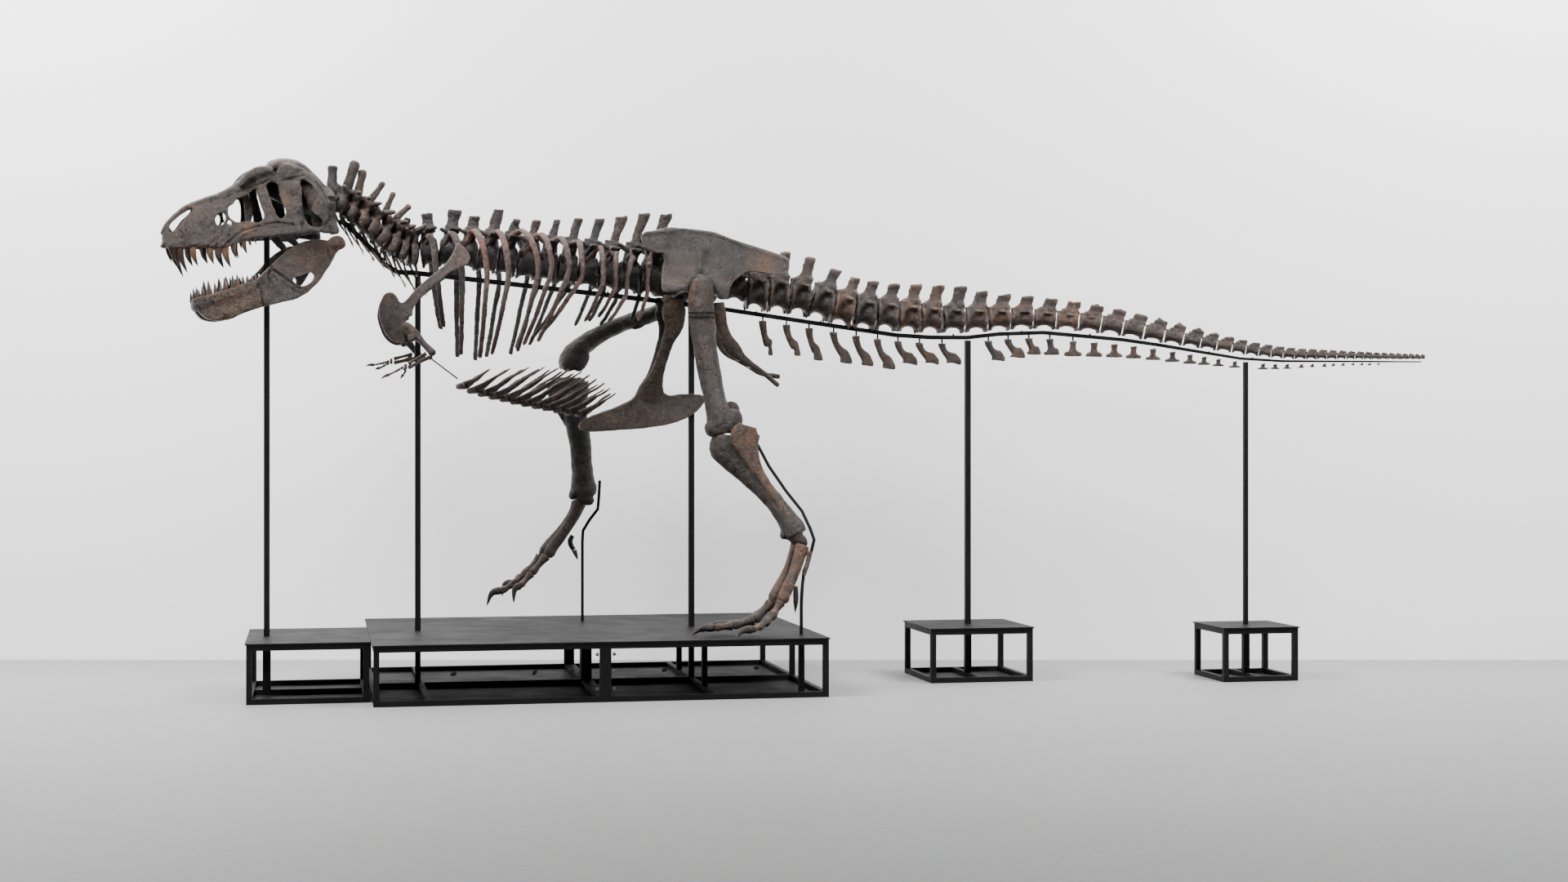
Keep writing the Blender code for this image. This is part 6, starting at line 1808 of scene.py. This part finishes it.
pubis_shells = []
for side in (-1, 1):
    pubis_shells.append(shaft([
        (0.79, side * 0.222, 3.6, 0.09, 0.16), (0.8, side * 0.215, 3.5, 0.085, 0.235),
        (0.805, side * 0.195, 3.36, 0.075, 0.185),
        (0.755, side * 0.165, 3.22, 0.068, 0.125), (0.705, side * 0.125, 3.06, 0.066, 0.115),
        (0.655, side * 0.085, 2.9, 0.07, 0.14),
        (0.615, side * 0.045, 2.76, 0.08, 0.24), (0.6, side * 0.025, 2.66, 0.08, 0.32),
    ], (0, 1, 0)))
    pubis_shells.append(knob((0.745, side * 0.225, 3.6), (0.14, 0.085, 0.1), 0.5))
pubis_slot = [
    skin(
        [
            [
                (x, y, z) for x, y in ((0.962, -0.036), (1.25, -0.036), (1.25, 0.036), (0.962, 0.036))
            ] for z in (2.2, 3.0)
        ]
    )
]
boot_points, boot_faces = flat_plate(BOOT, 0.15)
pubis_shells.append((boot_shape(boot_points), boot_faces))
WARM_BONE = fossil_bone("sealed_reddish_fossil_bone", "#33261f", "#654b3c", "#a3846a", "#5f5a3e", 0.35)
front_tone = patches(
    0.42, ((0.8, -0.21, 3.5), 0.16, 0.22), ((0.0, 0.0, 2.42), 0.14, 0.12), ((1.0, 0.0, 2.65), 0.2, -0.1),
    ((0.75, 0.2, 3.3), 0.3, -0.25),
)
front_warm = patches(
    0.25, ((0.8, -0.21, 3.5), 0.16, 0.6), ((0.7, -0.12, 3.0), 0.2, 0.3), ((0.5, 0.0, 2.5), 0.2, 0.3)
)
front_bones = carved(pubis_shells, 0.0085, 3, 0.014, 0.006, pubis_slot, tone=front_tone, warm=front_warm)
assembled("front_hip_bones", [front_bones], WARM_BONE, "fossil_bone", "pubis")

ischium_shells = []
for side in (-1, 1):
    tip = (1.835, side * 0.052, 2.805) if side < 0 else (1.865, side * 0.038, 2.895)
    ischium_shells.append(shaft([
        (1.225, side * 0.215, 3.585, 0.07, 0.115), (1.235, side * 0.205, 3.5, 0.062, 0.13),
        (1.26, side * 0.182, 3.38, 0.048, 0.115),
        (1.315, side * 0.152, 3.24, 0.045, 0.125), (1.39, side * 0.118, 3.145, 0.045, 0.15),
        (1.48, side * 0.085, 3.065, 0.046, 0.085),
        (1.58, side * 0.068, 2.995, 0.044, 0.062), (1.69, side * 0.056, 2.925, 0.044, 0.052),
        (*tip, 0.036, 0.046),
    ], (0, 1, 0)))
    ischium_shells.append(shaft([
        (1.2, side * 0.2, 3.52, 0.05, 0.07), (1.2, side * 0.18, 3.36, 0.03, 0.05),
        (1.26, side * 0.16, 3.24, 0.03, 0.05),
    ]))
ischium_shells.append(shaft([(1.48, -0.095, 3.065, 0.1, 0.05), (1.48, 0.095, 3.065, 0.1, 0.05)], (1, 0, 0)))
ischium_shells.append(shaft([(1.58, -0.07, 2.99, 0.08, 0.035), (1.58, 0.07, 2.99, 0.08, 0.035)], (1, 0, 0)))
rear_tone = patches(0.4, ((1.23, -0.2, 3.5), 0.15, 0.2), ((1.6, 0.06, 3.0), 0.2, -0.1))
rear_warm = patches(0.25, ((1.25, -0.2, 3.45), 0.18, 0.6))
rear_bones = carved(ischium_shells, 0.0066, 3, 0.009, 0.005, tone=rear_tone, warm=rear_warm)
assembled("rear_hip_bones", [rear_bones], WARM_BONE, "fossil_bone", "ischium")

# ---- Thigh bones ----
# Heavy shafts with an inturned ball for the hip socket, a bladed knob before it, a ridge for the tail
# muscle
# behind, and two big rollers at the knee. A steel strap clamps the near one to the mount.

THIGHS = {
    "left": (
        (
            (1.055, -0.445, 3.815, 0.13, 0.13), (1.035, -0.445, 3.74, 0.21, 0.205),
            (1.015, -0.45, 3.6, 0.215, 0.235),
            (1.028, -0.46, 3.38, 0.19, 0.245), (1.05, -0.485, 3.15, 0.18, 0.225),
            (1.088, -0.52, 2.9, 0.18, 0.215),
            (1.118, -0.555, 2.72, 0.205, 0.205), (1.15, -0.59, 2.56, 0.26, 0.22),
            (1.172, -0.61, 2.43, 0.285, 0.235),
            (1.188, -0.615, 2.345, 0.235, 0.19),
        ),
        (
            ((1.272, -0.535, 2.515), (0.2, 0.145, 0.29), 0.3),
            ((1.265, -0.695, 2.465), (0.21, 0.12, 0.24), 0.3),
            ((1.12, -0.53, 2.4), (0.17, 0.13, 0.17), 0.0), ((1.1, -0.69, 2.4), (0.15, 0.11, 0.16), 0.0)
        ),
        ((0.945, -0.505, 3.66), (0.085, 0.09, 0.27)), ((1.135, -0.43, 3.28), (0.06, 0.06, 0.24)), 0.1,
    ),
    "right": (
        (
            (1.045, 0.455, 3.755, 0.14, 0.12), (0.99, 0.455, 3.695, 0.21, 0.17),
            (0.885, 0.452, 3.6, 0.215, 0.165),
            (0.68, 0.445, 3.495, 0.19, 0.155), (0.44, 0.45, 3.42, 0.185, 0.155),
            (0.235, 0.462, 3.33, 0.19, 0.165),
            (0.065, 0.474, 3.225, 0.215, 0.185), (-0.045, 0.482, 3.125, 0.26, 0.225),
            (-0.085, 0.488, 3.035, 0.28, 0.25),
            (-0.092, 0.49, 2.965, 0.225, 0.2),
        ),
        (
            ((-0.005, 0.415, 3.055), (0.16, 0.13, 0.24), 0.5),
            ((-0.015, 0.56, 3.06), (0.16, 0.12, 0.22), 0.5),
            ((-0.115, 0.42, 3.02), (0.16, 0.12, 0.16), 0.0), ((-0.115, 0.56, 3.02), (0.15, 0.11, 0.15), 0.0)
        ),
        ((0.9, 0.5, 3.64), (0.2, 0.09, 0.1)), ((0.6, 0.42, 3.415), (0.24, 0.06, 0.06)), -0.6,
    ),
}
THIGH_BONE = fossil_bone(
    "sealed_purple_brown_fossil_bone", "#2d2422", "#584741", "#9b877c", "#6d4c3c", 0.3, 1.2
)
for side_name, (line, knuckles, front_blade, rear_ridge, tilt) in THIGHS.items():
    side = -1 if side_name == "left" else 1
    thigh_shells = [shaft(line, (0, 1, 0), 20, 4)]
    thigh_shells.append(shaft([
        (1.038, side * 0.42, 3.735, 0.17, 0.185), (1.042, side * 0.34, 3.725, 0.145, 0.155),
        (1.045, side * 0.27, 3.72, 0.165, 0.17),
        (1.045, side * 0.225, 3.715, 0.11, 0.11),
    ], (1, 0, 0)))
    thigh_shells.append(knob((1.045, side * 0.265, 3.718), (0.185, 0.12, 0.185)))
    thigh_shells += [knob(*knuckle) for knuckle in knuckles]
    thigh_shells += [knob(*front_blade, tilt), knob(*rear_ridge, tilt)]
    # Painted shade: the far thigh bone is toned darker.
    thigh_tone = patches(
        0.4 if side < 0 else 0.28, ((line[2][0] - 0.1, side * 0.5, line[2][2] + 0.05), 0.16, 0.25),
        (line[-2][:3], 0.2, -0.1)
    )
    thigh_warm = patches(0.2, ((line[2][0] - 0.1, side * 0.5, line[2][2] + 0.05), 0.14, 0.6))
    assembled(
        f"thigh_bone_{side_name}",
        [carved(thigh_shells, 0.009, 3, 0.016, 0.007, tone=thigh_tone, warm=thigh_warm)], THIGH_BONE,
        "fossil_bone", f"femur_{side_name}"
    )

# ---- Shins ----
# The shin bone is flared at the knee, with a great crest in front, and spreads again at the ankle, where
# the
# pulley-shaped ankle bone caps it. The slender outer bone is fan-shaped above and runs down as a splint
# beside it.

SHINS = {
    "left": (
        (
            (1.27, -0.655, 2.325, 0.2, 0.28), (1.262, -0.66, 2.25, 0.235, 0.42),
            (1.32, -0.68, 2.13, 0.205, 0.335),
            (1.425, -0.715, 1.985, 0.175, 0.235), (1.535, -0.76, 1.855, 0.16, 0.19),
            (1.64, -0.812, 1.725, 0.155, 0.175),
            (1.735, -0.865, 1.585, 0.185, 0.19), (1.795, -0.9, 1.485, 0.23, 0.215),
            (1.828, -0.918, 1.42, 0.23, 0.205),
        ),
        (
            (1.075, -0.66, 2.235, 0.06, 0.07), (1.16, -0.665, 2.165, 0.085, 0.13),
            (1.29, -0.68, 2.035, 0.08, 0.12), (1.4, -0.71, 1.92, 0.05, 0.06)
        ),
        (
            (1.395, -0.792, 2.425, 0.045, 0.17), (1.372, -0.79, 2.33, 0.055, 0.285),
            (1.4, -0.795, 2.205, 0.05, 0.2),
            (1.465, -0.805, 2.05, 0.045, 0.12), (1.56, -0.835, 1.89, 0.045, 0.085),
            (1.66, -0.885, 1.73, 0.045, 0.072),
            (1.74, -0.935, 1.59, 0.05, 0.09), (1.797, -0.972, 1.48, 0.06, 0.125),
            (1.828, -0.985, 1.41, 0.055, 0.11),
        ),
        ((1.845, -0.865, 1.385), (1.835, -0.955, 1.38)), (1.745, -0.88, 1.465),
    ),
    "right": (
        (
            (-0.105, 0.5, 2.89, 0.19, 0.26), (-0.105, 0.505, 2.815, 0.225, 0.4),
            (-0.075, 0.515, 2.69, 0.2, 0.32),
            (-0.045, 0.53, 2.52, 0.18, 0.235), (0.0, 0.555, 2.3, 0.16, 0.215),
            (0.025, 0.58, 2.08, 0.16, 0.205),
            (0.04, 0.605, 1.92, 0.18, 0.225), (0.05, 0.622, 1.815, 0.225, 0.255),
            (0.052, 0.63, 1.76, 0.22, 0.235),
        ),
        (
            (-0.29, 0.505, 2.82, 0.06, 0.07), (-0.245, 0.51, 2.73, 0.085, 0.13),
            (-0.175, 0.52, 2.585, 0.08, 0.12), (-0.12, 0.54, 2.44, 0.05, 0.06)
        ),
        (
            (0.01, 0.645, 2.87, 0.045, 0.15), (-0.01, 0.648, 2.77, 0.055, 0.24),
            (-0.02, 0.655, 2.63, 0.048, 0.16),
            (-0.03, 0.665, 2.43, 0.042, 0.095), (-0.015, 0.68, 2.23, 0.042, 0.07),
            (0.005, 0.695, 2.05, 0.042, 0.068),
            (0.02, 0.705, 1.92, 0.048, 0.08), (0.028, 0.712, 1.82, 0.055, 0.105),
        ),
        ((0.058, 0.58, 1.735), (0.05, 0.67, 1.735)), (-0.03, 0.62, 1.8),
    ),
}
BLUE_BONE = fossil_bone(
    "sealed_blue_grey_fossil_bone", "#2a2320", "#4f453f", "#918579", "#5f4534", 0.3, 1.1
)
for side_name, (line, crest, splint, rollers, ankle_front) in SHINS.items():
    shin_shells = [shaft(line, (0, 1, 0), 20, 4), shaft(crest)]
    shin_shells += [knob(place, (0.2, 0.115, 0.135), 0.6) for place in rollers]
    shin_shells.append(knob(ankle_front, (0.1, 0.15, 0.2), 0.5))
    # Painted shade: the far shin is toned darker than the near one.
    assembled(
        f"shin_{side_name}_bones",
        [
            carved(
                shin_shells, 0.0086, 3, 0.014, 0.006, tone=0.38 if side_name == "left" else 0.25, warm=0.2
            ), carved([shaft(splint, (0, 1, 0), 14, 4)], 0.0055, 2, 0.008, 0.004, tone=0.62, warm=0.9)
        ],
        BLUE_BONE, "fossil_bone", f"shin_{side_name}",
    )

# ---- Feet ----
# Three long foot bones packed side by side, the middle one pinched to a splint at the top, then three toes
# of
# three, four and five bones, each toe ending in a big curved claw. The toe bones stand a little apart.

FEET = {
    "left": (
        (
            (
                (1.838, -0.9, 1.335, 0.085, 0.13), (1.8, -0.915, 1.23, 0.07, 0.115),
                (1.74, -0.94, 1.08, 0.068, 0.105), (1.665, -0.958, 0.93, 0.085, 0.12),
                (1.628, -0.965, 0.865, 0.09, 0.115)
            ),
            (
                (1.8, -0.957, 1.33, 0.04, 0.07), (1.77, -0.97, 1.23, 0.045, 0.07),
                (1.715, -1.0, 1.08, 0.075, 0.095), (1.63, -1.042, 0.92, 0.1, 0.125),
                (1.59, -1.055, 0.855, 0.108, 0.125)
            ),
            (
                (1.862, -1.005, 1.33, 0.085, 0.135), (1.828, -1.03, 1.23, 0.07, 0.115),
                (1.768, -1.075, 1.08, 0.07, 0.105), (1.69, -1.122, 0.935, 0.085, 0.115),
                (1.655, -1.135, 0.87, 0.09, 0.11)
            ),
        ),
        (
            ((1.605, -0.962, 0.825), (1.415, -0.93, 0.665), (1.2, -0.885, 0.61), (0.96, -0.84, 0.54)),
            (
                (1.568, -1.062, 0.815), (1.4, -1.098, 0.668), (1.205, -1.1, 0.618), (1.045, -1.102, 0.602),
                (0.825, -1.12, 0.54)
            ),
            (
                (1.638, -1.142, 0.83), (1.545, -1.19, 0.71), (1.478, -1.245, 0.655), (1.412, -1.298, 0.622),
                (1.342, -1.355, 0.604), (1.162, -1.47, 0.54)
            ),
        ),
    ),
    "right": (
        (
            (
                (0.005, 0.6, 1.7, 0.085, 0.12), (-0.03, 0.612, 1.6, 0.07, 0.105),
                (-0.11, 0.632, 1.45, 0.066, 0.1), (-0.225, 0.645, 1.29, 0.084, 0.115),
                (-0.28, 0.648, 1.215, 0.09, 0.115)
            ),
            (
                (-0.03, 0.655, 1.698, 0.04, 0.07), (-0.055, 0.665, 1.6, 0.045, 0.07),
                (-0.14, 0.688, 1.44, 0.075, 0.095), (-0.27, 0.718, 1.275, 0.1, 0.12),
                (-0.322, 0.722, 1.205, 0.108, 0.12)
            ),
            (
                (0.03, 0.705, 1.7, 0.085, 0.125), (-0.005, 0.72, 1.6, 0.07, 0.11),
                (-0.09, 0.75, 1.45, 0.068, 0.1), (-0.205, 0.792, 1.295, 0.084, 0.112),
                (-0.255, 0.8, 1.228, 0.09, 0.11)
            ),
        ),
        (
            ((-0.305, 0.648, 1.18), (-0.45, 0.622, 1.01), (-0.56, 0.59, 0.895), (-0.63, 0.565, 0.73)),
            (
                (-0.345, 0.724, 1.17), (-0.495, 0.738, 0.998), (-0.615, 0.75, 0.902), (-0.715, 0.76, 0.842),
                (-0.87, 0.78, 0.69)
            ),
            (
                (-0.285, 0.805, 1.195), (-0.4, 0.85, 1.08), (-0.48, 0.888, 1.012), (-0.55, 0.922, 0.95),
                (-0.605, 0.95, 0.898), (-0.705, 0.995, 0.765)
            ),
        ),
    ),
}
FOOT_BONE = fossil_bone("sealed_tan_fossil_bone", "#3a2b24", "#6f5646", "#ad9079", "#7c5540", 0.45)
for side_name, (long_bones, toes) in FEET.items():
    side = -1 if side_name == "left" else 1
    bones = []
    for number, line in enumerate(long_bones):
        end = np.array(line[-1][:3])
        shells = [shaft(line, (0, 1, 0), 16, 4)]
        shells += [
            knob(
                end + np.array([0.004, out, -0.006]), (0.115, 0.052, 0.115), 0.5
            ) for out in (-0.026, 0.026)
        ]
        bones.append(
            carved(
                shells, 0.0064, 2, 0.006, 0.0035, tone=(0.4, 0.62, 0.7)[number],
                warm=(0.1, 0.3, 0.8)[number]
            )
        )
    for number, joints in enumerate(toes):
        wide = (0.098, 0.112, 0.098)[number]
        for k, (near, far) in enumerate(zip(joints, joints[1:])):
            near, far = np.array(near), np.array(far)
            scale = 1 - 0.32 * k / (len(joints) - 2)
            if k < len(joints) - 2:
                pulley = [
                    knob(
                        far - (far - near) * 0.1 + np.array([0, out * wide * 0.26 * scale, 0]),
                        (wide * 0.8 * scale, wide * 0.4 * scale, wide * 0.8 * scale)
                    )
                    for out in (-1, 1)
                ]
                bones.append(
                    carved(
                        [spool(near, far, wide * scale, wide * 1.02 * scale, 0.01), *pulley], 0.0051, 1,
                        0.006, 0.004, tone=0.5 + chance.uniform(-0.25, 0.2), warm=chance.uniform(0.0, 0.6)
                    )
                )
            else:
                rise = (0.03 if side_name == "left" else 0.055) * np.array([-0.35, 0, 1.0])
                shells = [claw(near, near * 0.45 + far * 0.55 + rise, far, 0.062, 0.078)]
                bones.append(carved(shells, 0.0045, 2, 0.002, 0.002, tone=0.15))
    if side_name == "left":
        bones.append(carved([shaft([
            (1.925, -1.035, 1.275, 0.028, 0.055), (1.905, -1.06, 1.2, 0.026, 0.048),
            (1.878, -1.088, 1.12, 0.024, 0.04), (1.862, -1.1, 1.06, 0.018, 0.026),
        ])], 0.004, 2, 0.003, 0.002))
    assembled(f"foot_bones_{side_name}", bones, FOOT_BONE, "fossil_bone", f"foot_{side_name}")

SPURS = {
    "left": (
        (
            (
                (1.785, -1.072, 0.965, 0.034, 0.04), (1.786, -1.076, 0.9, 0.042, 0.05),
                (1.786, -1.079, 0.84, 0.04, 0.05), (1.783, -1.08, 0.78, 0.026, 0.032),
                (1.78, -1.08, 0.722, 0.006, 0.008)
            ),
        )
    ),
    "right": (
        (
            (-0.045, 0.738, 1.365, 0.034, 0.042), (-0.068, 0.744, 1.315, 0.044, 0.052),
            (-0.058, 0.748, 1.265, 0.042, 0.05), (-0.03, 0.75, 1.225, 0.036, 0.046)
        ),
        (
            (-0.028, 0.75, 1.22, 0.036, 0.05), (-0.01, 0.75, 1.175, 0.028, 0.038),
            (0.004, 0.75, 1.13, 0.006, 0.01)
        ),
    ),
}
for side_name, lines in SPURS.items():
    assembled(
        f"first_toe_{side_name}",
        [carved([shaft(line)], 0.0035, 2, 0.003, 0.002, tone=0.25) for line in lines],
        FOOT_BONE, "fossil_bone", f"hallux_{side_name}",
    )

# ---- Thigh clamp rings ----
# Two thin steel rings, coated like the frame, lie round the near thigh bone below its head and hold it to
# the
# mount behind it.

RING_SIDES, RING_HALF = 40, 0.006
turns = math.tau * np.arange(RING_SIDES) / RING_SIDES
RING_CORNERS = ((0, -RING_HALF), (RING_HALF, -RING_HALF), (RING_HALF, RING_HALF), (0, RING_HALF))
rings = []
for height in (3.43, 3.47):
    loop = np.column_stack([
        1.022 + 0.122 * np.cos(turns), -0.457 + 0.104 * np.sin(turns), np.full(RING_SIDES, height),
    ])
    outward = np.column_stack([np.cos(turns), np.sin(turns), np.zeros(RING_SIDES)])
    tube = np.stack([loop + outward * out + np.array([0, 0, up]) for out, up in RING_CORNERS])
    faces = []
    for a, b in ((0, 1), (1, 2), (2, 3), (3, 0)):
        for k in range(RING_SIDES):
            following = (k + 1) % RING_SIDES
            faces.append(tuple(
                row * RING_SIDES + place for row, place in ((a, following), (b, following), (b, k), (a, k))
            ))
    rings.append((tube.reshape(-1, 3), faces))
ring_mesh = mesh_of(rings, "thigh_clamp_rings")
ring_mesh.materials.append(powder_coat)
clamp = placed("thigh_clamp_rings", ring_mesh)
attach(clamp, "root")

# ---- Belly ribs ----
# A basket of twelve rows of loose ribs that lay in the belly wall. In each row two stout inner rods cross
# over at
# the middle with swollen ends, and a thin outer rod lies along each of them and runs on to a point.

BELLY_FRONT, BELLY_BACK, BELLY_ROWS = (-1.13, 2.8), (-0.03, 2.545), 12
BELLY_REACH = ((0, 0.16), (3, 0.32), (8, 0.34), (11, 0.27))
BELLY_RUN = ((0, 0.24), (2, 0.38), (5, 0.46), (8, 0.42), (11, 0.3))
bones = []
for row in range(BELLY_ROWS):
    share = row / (BELLY_ROWS - 1)
    x = between(BELLY_FRONT[0], BELLY_BACK[0], share)
    z = between(BELLY_FRONT[1], BELLY_BACK[1], share ** 0.75)
    run, reach = smooth(BELLY_RUN, row), smooth(BELLY_REACH, row)
    for side in (-1, 1):
        bend = chance.uniform(-0.012, 0.012)
        shift = 0.016 * side
        inner = shaft([
            (x - 0.045 + shift, -side * 0.055, z - 0.012, 0.056, 0.052),
            (x - 0.01 + shift, -side * 0.01, z - 0.006, 0.068, 0.062),
            (x + run * 0.2 + shift, side * reach * 0.3, z + run * 0.1, 0.056, 0.052),
            (x + run * 0.42, side * reach * 0.62, z + run * 0.25 + bend, 0.042, 0.038),
            (x + run * 0.66, side * reach * 0.84, z + run * 0.42 + bend, 0.022, 0.02),
        ], (1, 0, 0), 10, 3)
        outer = shaft([
            (x + run * 0.22, side * (reach * 0.36 + 0.01), z + run * 0.155, 0.014, 0.012),
            (x + run * 0.45, side * (reach * 0.66 + 0.012), z + run * 0.3 + bend, 0.026, 0.02),
            (x + run * 0.75, side * (reach * 0.9 + 0.008), z + run * 0.475, 0.026, 0.02),
            (x + run * chance.uniform(0.93, 1.0), side * reach, z + run * 0.62, 0.016, 0.014),
        ], (1, 0, 0), 10, 3)
        bones.append(
            carved(
                [inner, outer], 0.0064, 2, 0.009, 0.004, tone=0.4 + chance.uniform(-0.22, 0.18),
                warm=chance.uniform(0.0, 0.5)
            )
        )
assembled("belly_ribs", bones, RED_BONE, "fossil_bone", "gastralia")

# ---- Sizes ----
# The box of the dressed model.

low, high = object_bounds()
